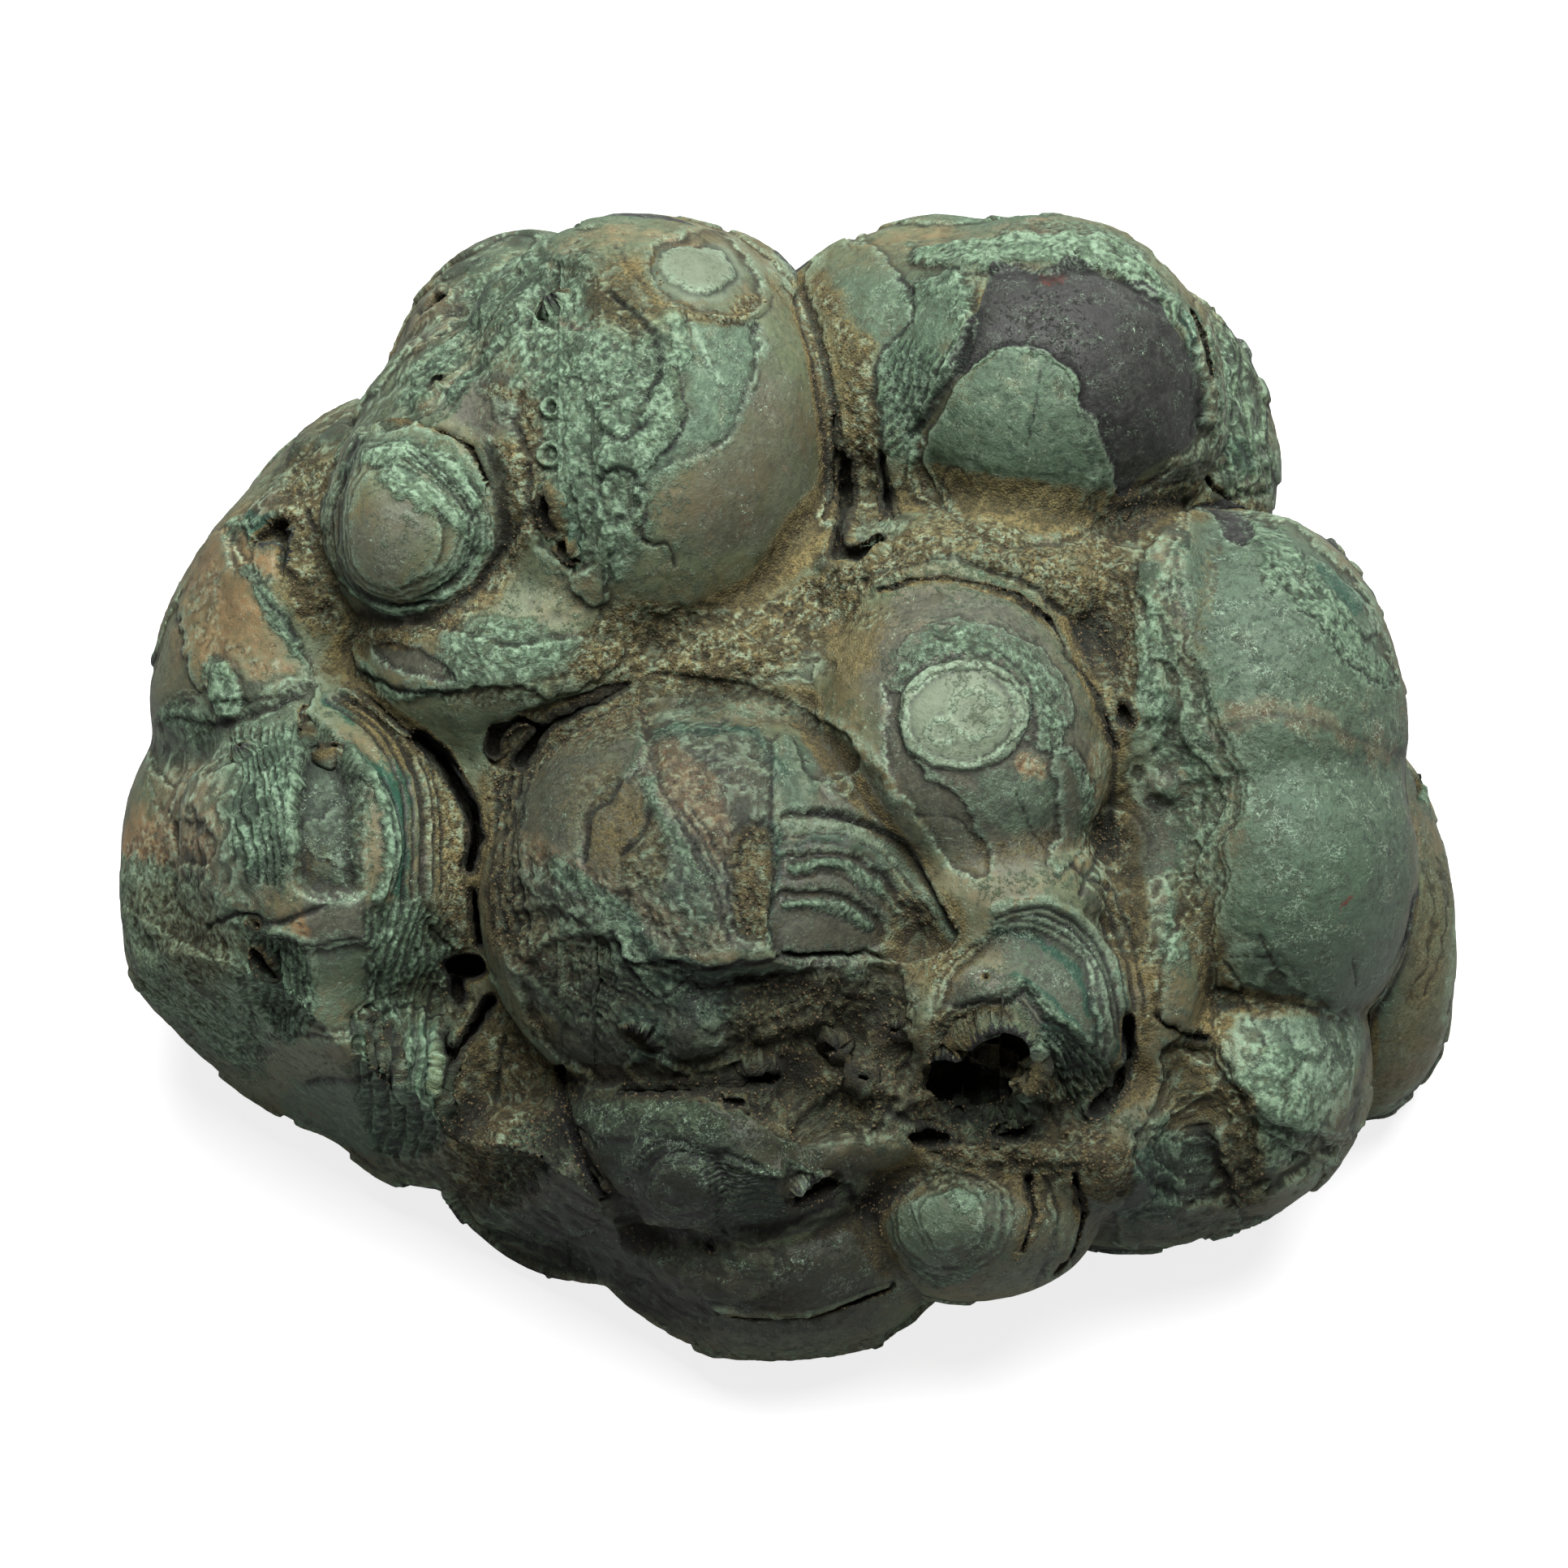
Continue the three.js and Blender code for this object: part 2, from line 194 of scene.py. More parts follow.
@dataclass(frozen=True)
class Lobe:
    """One rounded lobe: an ellipsoid on the face, rolled about its normal, with the fillet it gets."""

    name: str
    at: tuple[float, float, float]
    radii: tuple[float, float, float]
    roll: float
    merge: float = 2.6

    def reach(self) -> Array:
        """Half sizes of its box along the standing axes."""
        t = math.radians(self.roll)
        ra, rb, rc = self.radii
        across = math.hypot(ra * math.cos(t), rb * math.sin(t))
        along = math.hypot(ra * math.sin(t), rb * math.cos(t))
        level = math.hypot(along, rc) * math.sqrt(0.5)
        return np.array([across, level, level])

    def depth(self, u: float, v: float) -> float:
        """Depth of its surface at a place on the face, or minus infinity beside it."""
        t = math.radians(self.roll)
        du, dv = u - self.at[0], v - self.at[1]
        across = (du * math.cos(t) + dv * math.sin(t)) / self.radii[0]
        along = (dv * math.cos(t) - du * math.sin(t)) / self.radii[1]
        rest = 1.0 - across * across - along * along
        return self.at[2] + self.radii[2] * math.sqrt(rest) if rest > 0.0 else -math.inf


LOBES: tuple[Lobe, ...] = (
    Lobe("core", (-9.5, 0.5, -12), (86.5, 73.5, 58), 0),
    Lobe("rear_body", (0, 17, -38), (93.5, 71.5, 58), 0),
    Lobe("front_body", (0, -46, -4), (80, 40, 45), 0),
    Lobe("rear_left", (-48, 35, -50), (38, 38, 34), 10),
    Lobe("rear_right", (44, 46, -47), (36, 36, 33), 0),
    Lobe("rear_low", (4, 28, -70), (42, 36, 30), 0),
    Lobe("crown_left", (-26.5, 58.5, 16), (35.5, 40.5, 44), 0),
    Lobe("crown_tip", (-15, 75, 4), (18.5, 21.5, 36), -20),
    Lobe("crown_cheek", (-55, 51, 10), (23, 34, 38), -14),
    Lobe("eye", (-64.5, 44, 23), (15.5, 19, 28), 0, 5.0),
    Lobe("back_left", (-49, 68, -20), (23, 30.5, 44), -14),
    Lobe("apron", (-45, 23.5, 16), (31, 21.5, 34), 15, 5.0),
    Lobe("crown_right", (46, 69.5, 12), (31.5, 30, 40), 0),
    Lobe("saddle", (29, 67.5, 2), (35, 31.5, 36), 0),
    Lobe("back_right", (64, 55.5, -22), (24.5, 33, 38), 0),
    Lobe("heart", (30, 7.5, 36), (27, 29, 34), 0, 5.0),
    Lobe("brow", (-11.5, -21, 36), (41, 36.5, 38), 10),
    Lobe("cheek_upper", (81.5, 9.5, 8), (29, 38, 44), 0),
    Lobe("cheek_mid", (86, -13.5, 10), (26, 32.5, 46), 0),
    Lobe("cheek_low", (81.5, -52, 6), (21, 26, 42), -16),
    Lobe("valley", (67, 0.5, 14), (21.5, 47.5, 30), 0, 5.0),
    Lobe("far_right", (103, -24, -28), (19, 35, 38), 6),
    Lobe("knob", (41, -39, 44), (19.5, 19.5, 26), 0, 4.0),
    Lobe("chin", (-10.5, -63, 31), (29, 17, 35), -5, 4.0),
    Lobe("toe_right", (33.5, -75.5, 28), (21, 14, 28), 0),
    Lobe("toe_left", (-39.5, -70, 16), (22.5, 19, 36), 30),
    Lobe("sole", (-1.5, -81.5, 12), (31, 18.5, 38), 0),
    Lobe("heel_right", (63.5, -61, 4), (26, 21.5, 38), 10),
    Lobe("left_shell", (-80.5, -13.5, 12), (27, 31, 38), 0, 5.0),
    Lobe("left_low", (-85.5, -37.5, 2), (27.5, 27.5, 38), 20),
    Lobe("left_edge", (-91, -16, -14), (29.5, 36, 40), -4),
    Lobe("left_back", (-82, 33.5, -12), (23.5, 41.5, 42), -34),
    Lobe("left_foot", (-67.5, -52, 2), (18.5, 19.5, 36), 0),
    Lobe("fill_heart_foot", (38, -20, 44), (19, 11, 22), 0, 7.0),
    Lobe("fill_heart_top", (32, 36, 26), (34, 13, 26), 0, 7.0),
    Lobe("fill_heart_side", (63, 20, 30), (9, 25, 22), -8, 7.0),
    Lobe("fill_knob_side", (64.5, -32, 32), (9, 25, 21), 0, 7.0),
    Lobe("fill_knob_foot", (55, -62, 32), (18, 12, 23), 15, 5.0),
    Lobe("fill_brow_side", (23.5, -40, 42), (9, 13, 21), 0, 6.0),
    Lobe("fill_brow_foot", (15, -60, 36), (15, 9, 21), 0, 5.0),
    Lobe("fill_apron", (-2, 20, 24), (24, 10, 24), -8, 7.0),
    Lobe("rubble", (38, -63, 34), (20, 8, 22), 0, 4.0),
    Lobe("fill_crater", (14, -51.5, 40), (15, 12, 20), 0, 5.0),
    Lobe("fill_left_top", (-92, 16.7, -5), (19, 17, 31), 0, 8.0),
    Lobe("fill_left_inner", (-80, 14, 2), (16, 10, 28), 0, 8.0),
)

# The lower left edge is a broken flat: a point in it and its outward direction, on the face.
BREAK_THROUGH = (-95.0, -49.0, 0.0)
BREAK_OUTWARD = (-0.554, -0.765, 0.33)


@dataclass(frozen=True)
class Hole:
    """A rounded pit cut straight into the face."""

    name: str
    at: Point
    across: Point
    deep: float
    roll: float = 0.0


@dataclass(frozen=True)
class Crevice:
    """A crack cut straight into the face along a line, narrowing to its bottom."""

    name: str
    line: Outline
    wide: float
    deep: float


HOLES: tuple[Hole, ...] = (
    Hole("knob_cavity", (37.6, -49.5), (6.5, 4.6), 13, 24),
    Hole("knob_cavity_low", (33, -54.2), (8, 4.4), 11, -12),
    Hole("knob_cavity_side", (28.6, -51.3), (4.2, 3.2), 6, 14),
    Hole("left_hole", (-57.1, -32.7), (4, 2.6), 14),
    Hole("left_hole_foot", (-58.4, -37.3), (1.8, 3.4), 9, 8),
    Hole("shell_hole", (-80.5, 6.7), (1.2, 0.8), 6),
    Hole("crown_pit", (-42.3, 48.4), (1.6, 4.0), 4, 4),
    Hole("crown_pit_low", (-38.8, 40.8), (1.9, 1.0), 1.8, -30),
    Hole("crown_dimple", (-42.1, 87.2), (2.4, 2.0), 1.6),
    Hole("back_cavity", (-90.1, 45), (3.4, 3.2), 8, -20),
    Hole("back_cavity_low", (-89.1, 40), (1.8, 3.2), 11, -10),
    Hole("back_shelf", (-93.4, 43.7), (3.2, 2.2), 4, 0),
    Hole("cheek_gouge", (-61.7, 86.2), (2.4, 1.0), 3.5, 42),
    Hole("cheek_hole", (-62.3, 71.9), (1.4, 1.1), 3),
    Hole("brow_pit_left", (-25.4, -46.3), (3.4, 4.2), 2.0, 0),
    Hole("brow_pit_mid", (-4.4, -52.3), (3.6, 1.8), 6, -8),
    Hole("brow_pit_low", (-9.2, -57.1), (2.2, 1.2), 4, 0),
    Hole("brow_pit_right", (14.1, -52.7), (1.6, 1.2), 4, 0),
    Hole("brow_pit_upper", (20.3, -44), (1.8, 1.1), 4, 20),
    Hole("brow_pit_far", (9.4, -47.2), (1.6, 1.0), 3, -20),
    Hole("chin_hollow", (6.5, -72.8), (6.2, 2.2), 5, 6),
    Hole("knob_pit", (25.4, -63.2), (4.2, 1.8), 5, -6),
    Hole("knob_pit_right", (40.4, -62.6), (3.2, 1.6), 3.5),
    Hole("knob_speck", (36.2, -34.6), (0.8, 0.7), 3),
    Hole("sole_speck", (-13.1, -83.1), (0.8, 0.6), 2),
    Hole("far_pit", (112.7, -1), (1.3, 2.0), 4),
    Hole("left_pit", (-97.8, 6.5), (1.8, 1.4), 2.5),
    Hole("left_low_hollow", (-94, -32.1), (1.3, 2.8), 1.6, 20),
    Hole("left_low_slot", (-95.7, -25), (2.4, 0.5), 1.6, -5),
    Hole("left_foot_notch", (-85.7, -54.5), (2.0, 2.0), 5, 0),
    Hole("grit_notch", (61.2, 12.3), (1.7, 2.6), 3.0, 20),
)

CREVICES: tuple[Crevice, ...] = (
    Crevice("left_top", path("-65.5,8.5 -61.5,4.5 -59,0 -56,-5 -55,-9.5 -56.5,-15"), 1.6, 14),
    Crevice("left_low", path("-55.5,-19 -55,-24 -54.5,-28.5"), 0.9, 12),
    Crevice("saddle", path("11,58 11,53 10.5,47 9.5,41.5 14,41 17,43.5"), 1.6, 6),
    Crevice("saddle_edge", path("17.5,59 18.5,51.5 19,47"), 0.8, 5),
    Crevice("apron_slot", path("-28,17.5 -32,15.5 -36.5,13.5 -40,12 -43.5,9.5 -45,7 -47,4"), 1.1, 5),
    Crevice("apron_pocket", path("-52,6 -51.5,9.5 -47,12 -44,11"), 0.8, 3.4),
    Crevice("knob_gap", path("61.5,-42 61.5,-48.5 59.5,-54.5 56,-58.5"), 0.9, 6),
    Crevice("toe_outer", path("52,-70 53,-77 51.5,-83.5 48.5,-87.5"), 0.8, 4),
    Crevice("toe_inner", path("43.5,-70 44.5,-77 42.5,-83.5"), 0.7, 3),
    Crevice("brow_slit", path("-28.5,-55 -19.5,-55 -9.5,-54 -5,-53.5"), 0.8, 6),
    Crevice("left_slot_a", path("-73.5,-42.5 -73,-47 -72,-52"), 0.7, 6),
    Crevice("left_slot_b", path("-70,-44 -70,-53 -68,-63"), 0.8, 8),
    Crevice("left_slot_c", path("-60.5,-44 -61,-51.5 -59.5,-59"), 0.8, 9),
    Crevice("left_gap", path("-52.5,-39 -55.5,-43.5 -59,-48.5 -61,-54.5"), 1.2, 8),
    Crevice("shell_notch", path("-86,13.5 -86,9.5"), 0.5, 4),
    Crevice("crown_plate", path("9,66 9,59 8.5,52.5 7,47"), 0.5, 3),
    Crevice("heel_crack", path("66.5,-41.5 69,-43 72,-45 75.5,-45.5"), 0.45, 3),
    Crevice("far_crack", path("112,5.5 112.5,0.5 112.5,-3.5"), 0.7, 5),
    Crevice("chin_left", path("-40,-50.5 -38.5,-59 -36,-67 -32.5,-73"), 0.7, 3.5),
    Crevice("sole_top", path("-29,-90 -23.5,-90 -15.5,-94 -5,-95.5 5,-95 19,-90"), 0.6, 2.6),
    Crevice("right_rim", path("73,84.5 75,80.5 76,75.5 77,70 76.5,64.5"), 0.7, 4),
    Crevice("right_notch", path("75.5,55 76.5,52.5 79,51"), 0.7, 4),
    Crevice("eye_top", path("-73,62 -70.5,63.5 -66,63.5 -61,62.5 -56,60 -52.5,53.5"), 0.5, 1.8),
    Crevice("heart_arc", path("17,34.5 22.5,36 28.5,36.5 36,35 41.5,33.5 47,29.5 50.5,24.5"), 0.35, 1.2),
    Crevice("heart_side", path("53.5,19.5 56,15 59,6.5"), 0.4, 1.4),
)


@dataclass(frozen=True)
class Cut:
    """A flat cut across the stone: keeps one side of a place along the face or out of it."""

    at: float
    outward: bool = False
    keep_above: bool = True

    def beyond(self, a: Array, c: Array) -> Array:
        """How far places lie beyond the cut, negative on the side that is kept.

        Args:
            a: Their places along the face.
            c: Their places out of the face.

        Returns:
            The distances.
        """
        place = c if self.outward else a
        return (self.at - place) if self.keep_above else (place - self.at)


@dataclass
class Mass:
    """The specimen's body as a field of distances, and the skin drawn from it."""

    pitch: float = 0.57
    margin: float = 12.0
    border: float = 3.0
    hole_margin: float = 2.0
    under: float = 2.5
    lip: float = 0.8
    grow: float = 0.25
    nowhere: float = 60.0
    first_depth: float = 40.0
    depth_rounds: int = 6
    spare: int = 2
    weld: float = 0.02
    weld_rounds: int = 8
    axes: tuple[Array, Array, Array] = field(init=False)
    values: Array = field(init=False)

    def __post_init__(self) -> None:
        """Lays out the grid round the CAD box."""
        low, high = (np.array(corner, float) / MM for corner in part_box(NODE))
        start = np.floor((low - self.border) / self.pitch) * self.pitch
        start[2] = -self.under * self.pitch
        counts = np.ceil((high + self.border - start) / self.pitch).astype(int) + 1
        self.axes = tuple(start[n] + self.pitch * np.arange(counts[n]) for n in range(3))
        self.axes = tuple(axis.astype(np.float32) for axis in self.axes)
        self.values = np.full(counts, self.nowhere, np.float32)

    def _window(self, centre: Array, reach: Array) -> tuple[slice, ...]:
        """The part of the grid within `reach` of a place."""
        spans = []
        for n in range(3):
            first = np.searchsorted(self.axes[n], centre[n] - reach[n])
            last = np.searchsorted(self.axes[n], centre[n] + reach[n])
            spans.append(slice(int(first), int(max(first + 1, last))))
        return tuple(spans)

    def _face_axes(self, window: tuple[slice, ...]) -> tuple[Array, Array, Array]:
        """Face coordinates of the grid in a window, as arrays that broadcast together."""
        x = self.axes[0][window[0]][:, None, None] + np.float32(FACE.middle[0])
        y = self.axes[1][window[1]][None, :, None] + np.float32(FACE.middle[1])
        z = self.axes[2][window[2]][None, None, :] - np.float32(FACE.base_depth)
        s = np.float32(math.sqrt(0.5))
        return x, (y + z) * s, (z - y) * s

    def _ellipsoid(self, window: tuple[slice, ...], at: Array, radii: Array, roll: float) -> Array:
        """Distance to a rolled ellipsoid on the face, over a window of the grid."""
        a, b, c = self._face_axes(window)
        t = math.radians(roll)
        cos, sin = np.float32(math.cos(t)), np.float32(math.sin(t))
        a, b, c = a - np.float32(at[0]), b - np.float32(at[1]), c - np.float32(at[2])
        across = (cos * a + sin * b) / np.float32(radii[0])
        along = (cos * b - sin * a) / np.float32(radii[1])
        out = c / np.float32(radii[2])
        near = np.sqrt(across**2 + along**2 + out**2)
        across, along, out = across / radii[0], along / radii[1], out / radii[2]
        slope = np.sqrt(across**2 + along**2 + out**2) + np.float32(1e-6)
        return near * (near - 1.0) / slope

    def add_lobe(self, lobe: Lobe) -> None:
        """Merges a lobe into the mass with a small fillet."""
        centre = FACE.to_world(np.array([lobe.at]))[0]
        window = self._window(centre, lobe.reach() + self.margin)
        distance = self._ellipsoid(window, lobe.at, lobe.radii, lobe.roll) - self.grow
        there = self.values[window]
        blend = np.clip(lobe.merge - np.abs(there - distance), 0.0, None)
        self.values[window] = np.minimum(there, distance) - blend * blend / (4.0 * lobe.merge)

    def _cut(self, window: tuple[slice, ...], distance: Array) -> None:
        """Cuts away what is inside `distance`, with a softened lip."""
        there = self.values[window]
        blend = np.clip(self.lip - np.abs(there + distance), 0.0, None)
        self.values[window] = np.maximum(there, -distance) + blend * blend / (4.0 * self.lip)

    def surface_at(self, point: Point) -> Array:
        """The point of the lobes' surface seen at a place on the face.

        Args:
            point: The place, as seen.

        Returns:
            The point in the face's coordinates.
        """
        w = self.first_depth
        for _ in range(self.depth_rounds):
            shrink = 1.0 - w / FACE.eye_distance
            depth = max(lobe.depth(point[0] * shrink, point[1] * shrink) for lobe in LOBES)
            w = depth if math.isfinite(depth) else w
        shrink = 1.0 - w / FACE.eye_distance
        return np.array([point[0] * shrink, point[1] * shrink, w])

    def cut_hole(self, hole: Hole) -> None:
        """Cuts a rounded pit."""
        at = self.surface_at(hole.at)
        radii = np.array([hole.across[0], hole.across[1], hole.deep])
        window = self._window(FACE.to_world(at[None])[0], np.full(3, radii.max() + self.hole_margin))
        self._cut(window, self._ellipsoid(window, at, radii, hole.roll))

    def cut_crevice(self, crevice: Crevice) -> None:
        """Cuts a crack that narrows to its bottom."""
        knots = np.array([self.surface_at(point) for point in crevice.line])
        for start, end in zip(knots[:-1], knots[1:]):
            self._cut_stretch(start, end, crevice)

    def _cut_stretch(self, start: Array, end: Array, crevice: Crevice) -> None:
        """Cuts one straight stretch of a crack."""
        middle = FACE.to_world(((start + end) / 2.0)[None])[0]
        reach = float(np.linalg.norm(end - start)) / 2.0 + crevice.deep + self.border
        window = self._window(middle, np.full(3, reach))
        a, b, c = self._face_axes(window)
        du, dv = end[0] - start[0], end[1] - start[1]
        along = np.clip(((a - start[0]) * du + (b - start[1]) * dv) / (du * du + dv * dv), 0, 1)
        side = np.hypot(a - start[0] - along * du, b - start[1] - along * dv)
        sunk = (start[2] + along * (end[2] - start[2]) - c) / crevice.deep
        half = crevice.wide * np.sqrt(np.clip(1.0 - np.clip(sunk, 0.0, 1.0), 0.0, 1.0))
        inside = np.maximum(side - half, crevice.deep * (sunk - 1.0))
        self._cut(window, inside.astype(np.float32))

    def cut_break(self) -> None:
        """Cuts the broken flat at the lower left."""
        window = (slice(0, self.values.shape[0] * 2 // 3), slice(None), slice(None))
        a, b, c = self._face_axes(window)
        outward = np.array(BREAK_OUTWARD) / np.linalg.norm(BREAK_OUTWARD)
        offsets = [axis - np.float32(p) for axis, p in zip((a, b, c), BREAK_THROUGH)]
        beyond = sum(np.float32(n) * d for n, d in zip(outward, offsets))
        self._cut(window, -beyond)

    def cut_base(self) -> None:
        """Saws the base flat."""
        self.values = np.maximum(self.values, -self.axes[2][None, None, :])

    def build(self) -> None:
        """Fills the field: lobes first, then the broken flat, the pits, the cracks and the base."""
        for lobe in LOBES:
            self.add_lobe(lobe)
        self.cut_break()
        for crevice in CREVICES:
            self.cut_crevice(crevice)
        for hole in HOLES:
            self.cut_hole(hole)
        self.cut_base()

    def part(self, cuts: tuple[Cut, ...]) -> "Mass":
        """The part of the mass that lies between flat cuts.

        Args:
            cuts: The cuts.

        Returns:
            A mass on the piece of the grid that it needs.
        """
        whole = (slice(None),) * 3
        a, _, c = self._face_axes(whole)
        values = self.values
        for cut in cuts:
            values = np.maximum(values, cut.beyond(a, c))
        piece = copy.copy(self)
        inside = values < 0.0
        spans = []
        for axis in range(3):
            hit = np.flatnonzero(inside.any(axis=tuple(n for n in range(3) if n != axis)))
            spans.append(slice(max(0, hit[0] - self.spare), hit[-1] + self.spare + 1))
        piece.values = values[tuple(spans)]
        piece.axes = tuple(axis[span] for axis, span in zip(self.axes, spans))
        return piece

    def sample(self, world: Array) -> Array:
        """The field at each point, between the grid's nodes.

        Args:
            world: Standing points, one row each.

        Returns:
            The distance at each point.
        """
        start = np.array([axis[0] for axis in self.axes])
        q = (world - start) / self.pitch
        top = np.array(self.values.shape) - 2
        cell = np.clip(np.floor(q).astype(np.int64), 0, top)
        f = np.clip(q - cell, 0.0, 1.0)
        flat = self.values.ravel()
        _, ny, nz = self.values.shape
        total = np.zeros(len(world))
        for corner in range(8):
            d = (corner & 1, corner >> 1 & 1, corner >> 2 & 1)
            weight = np.ones(len(world))
            for axis in range(3):
                weight *= f[:, axis] if d[axis] else 1.0 - f[:, axis]
            index = (cell[:, 0] + d[0]) * ny * nz + (cell[:, 1] + d[1]) * nz + cell[:, 2] + d[2]
            total += weight * flat[index]
        return total

    def slope(self, world: Array) -> Array:
        """Outward directions of the field at each point.

        Args:
            world: Standing points, one row each.

        Returns:
            One unit direction per point.
        """
        rise = []
        for axis in range(3):
            step = np.zeros(3)
            step[axis] = self.pitch
            rise.append(self.sample(world + step) - self.sample(world - step))
        total = np.stack(rise, axis=1)
        return total / (np.linalg.norm(total, axis=1)[:, None] + 1e-12)

    def skin(self) -> tuple[Array, Array]:
        """Draws the skin where the field is nought.

        Returns:
            The skin's points, standing, and its triangles, facing outward.
        """
        self._weld_tangles()
        inside = self.values < 0.0
        count = inside.astype(np.uint8)
        count = count[:-1] + count[1:]
        count = count[:, :-1] + count[:, 1:]
        count = count[:, :, :-1] + count[:, :, 1:]
        shape = count.shape
        cells = np.flatnonzero((count > 0) & (count < 8))
        place = np.stack(np.unravel_index(cells, shape), axis=1)
        points = self._cell_points(place)
        quads = self._quads(inside, cells, shape)
        return self._largest(points, self._split(points, quads))

    def _weld_tangles(self) -> None:
        """Fills the nodes where the skin would touch itself along an edge of the grid."""
        for _ in range(self.weld_rounds):
            inside = self.values < 0.0
            filled = 0
            for axis in range(3):
                flat, values = np.moveaxis(inside, axis, 2), np.moveaxis(self.values, axis, 2)
                crossed = (flat[:-1, :-1] == flat[1:, 1:]) & (flat[1:, :-1] == flat[:-1, 1:])
                for i, j, k in np.argwhere(crossed & (flat[:-1, :-1] != flat[1:, :-1])):
                    patch = values[i : i + 2, j : j + 2, k]
                    patch[patch >= 0.0] = -self.weld
                    filled += 1
            if not filled:
                break

    def _cell_points(self, place: Array) -> Array:
        """One skin point in each cell that the skin crosses."""
        _, ny, nz = self.values.shape
        flat = self.values.ravel()
        base = place[:, 0] * ny * nz + place[:, 1] * nz + place[:, 2]
        corners = [(n & 1, n >> 1 & 1, n >> 2 & 1) for n in range(8)]
        value = [flat[base + d[0] * ny * nz + d[1] * nz + d[2]] for d in corners]
        total, hits = np.zeros(place.shape), np.zeros(len(place))
        for n, corner in enumerate(corners):
            for axis in range(3):
                if corner[axis]:
                    continue
                far = n | 1 << axis
                crossed = (value[n] < 0.0) != (value[far] < 0.0)
                gap = np.where(crossed, value[n] - value[far], 1.0)
                spot = np.tile(np.array(corner, float), (len(place), 1))
                spot[:, axis] += value[n] / gap
                total += spot * crossed[:, None]
                hits += crossed
        start = np.array([axis[0] for axis in self.axes])
        return start + self.pitch * (place + total / hits[:, None])

    def _quads(self, inside: Array, cells: Array, shape: tuple[int, ...]) -> Array:
        """One face for each grid edge that the skin crosses."""
        faces = []
        for axis in range(3):
            lower = np.take(inside, range(inside.shape[axis] - 1), axis)
            upper = np.take(inside, range(1, inside.shape[axis]), axis)
            crossed = np.argwhere(lower != upper)
            second, third = (axis + 1) % 3, (axis + 2) % 3
            fits = (crossed[:, second] > 0) & (crossed[:, third] > 0)
            fits &= (crossed[:, second] < shape[second]) & (crossed[:, third] < shape[third])
            crossed = crossed[fits]
            outward = lower[tuple(crossed.T)]
            ring = []
            for step_second, step_third in ((1, 1), (0, 1), (0, 0), (1, 0)):
                cell = crossed.copy()
                cell[:, second] -= step_second
                cell[:, third] -= step_third
                ring.append(np.searchsorted(cells, np.ravel_multi_index(tuple(cell.T), shape)))
            quad = np.stack(ring, axis=1)
            quad[~outward] = quad[~outward][:, ::-1]
            faces.append(quad)
        return np.concatenate(faces)

    def _split(self, points: Array, quads: Array) -> Array:
        """Splits each face in two along its shorter diagonal."""
        corner = [points[quads[:, n]] for n in range(4)]
        first = ((corner[0] - corner[2]) ** 2).sum(1) <= ((corner[1] - corner[3]) ** 2).sum(1)
        one = np.where(first[:, None], quads[:, [0, 1, 2]], quads[:, [0, 1, 3]])
        two = np.where(first[:, None], quads[:, [0, 2, 3]], quads[:, [1, 2, 3]])
        return np.concatenate([one, two])

    def _largest(self, points: Array, faces: Array) -> tuple[Array, Array]:
        """Keeps the largest closed skin and drops loose crumbs and inner bubbles."""
        label = np.arange(len(points))
        while True:
            lowest = label[faces].min(axis=1)
            fresh = label.copy()
            for n in range(3):
                np.minimum.at(fresh, faces[:, n], lowest)
            fresh = fresh[fresh]
            if np.array_equal(fresh, label):
                break
            label = fresh
        names, sizes = np.unique(label, return_counts=True)
        keep = label == names[sizes.argmax()]
        renumber = np.cumsum(keep) - 1
        return points[keep], renumber[faces[keep[faces[:, 0]]]]


# ---------------------------------------------------------------- relief of the skin


@dataclass(frozen=True)
class Sheet:
    """A growth layer: what lies inside its outline stands proud, or has peeled away."""

    name: str
    outline: Outline
    rise: float
    ragged: float = 0.7
    steps: int = 1
    inset: float = 1.4
    soft: float = 0.3


@dataclass(frozen=True)
class Seam:
    """A crack or groove along a line, repeated side by side where there are copies."""

    name: str
    line: Outline
    deep: float
    wide: float = 0.45
    ragged: float = 0.4
    copies: int = 1
    shift: Point = (0.0, 0.0)


@dataclass(frozen=True)
class Rib:
    """A raised rib or crest along a line."""

    name: str
    line: Outline
    high: float
    wide: float
    ragged: float = 0.4
    copies: int = 1
    shift: Point = (0.0, 0.0)


@dataclass(frozen=True)
class Swell:
    """A rounded bulge, or a hollow where `high` is negative."""

    name: str
    at: Point
    across: Point
    high: float
    roll: float = 0.0


@dataclass(frozen=True)
class Blades:
    """Thin parallel layers seen on edge, inside an outline."""

    name: str
    outline: Outline
    angle: float
    pitch: float
    high: float
    ragged: float = 1.0
    tint: float = 1.0


@dataclass(frozen=True)
class Crumble:
    """A broken patch whose layers step down in ragged terraces."""

    name: str
    outline: Outline
    deep: float
    grain: float = 6.0
    step: float = 0.6


@dataclass(frozen=True)
class Ring:
    """A small ring with a raised rim and a dimple."""

    name: str
    at: Point
    radius: float
    high: float


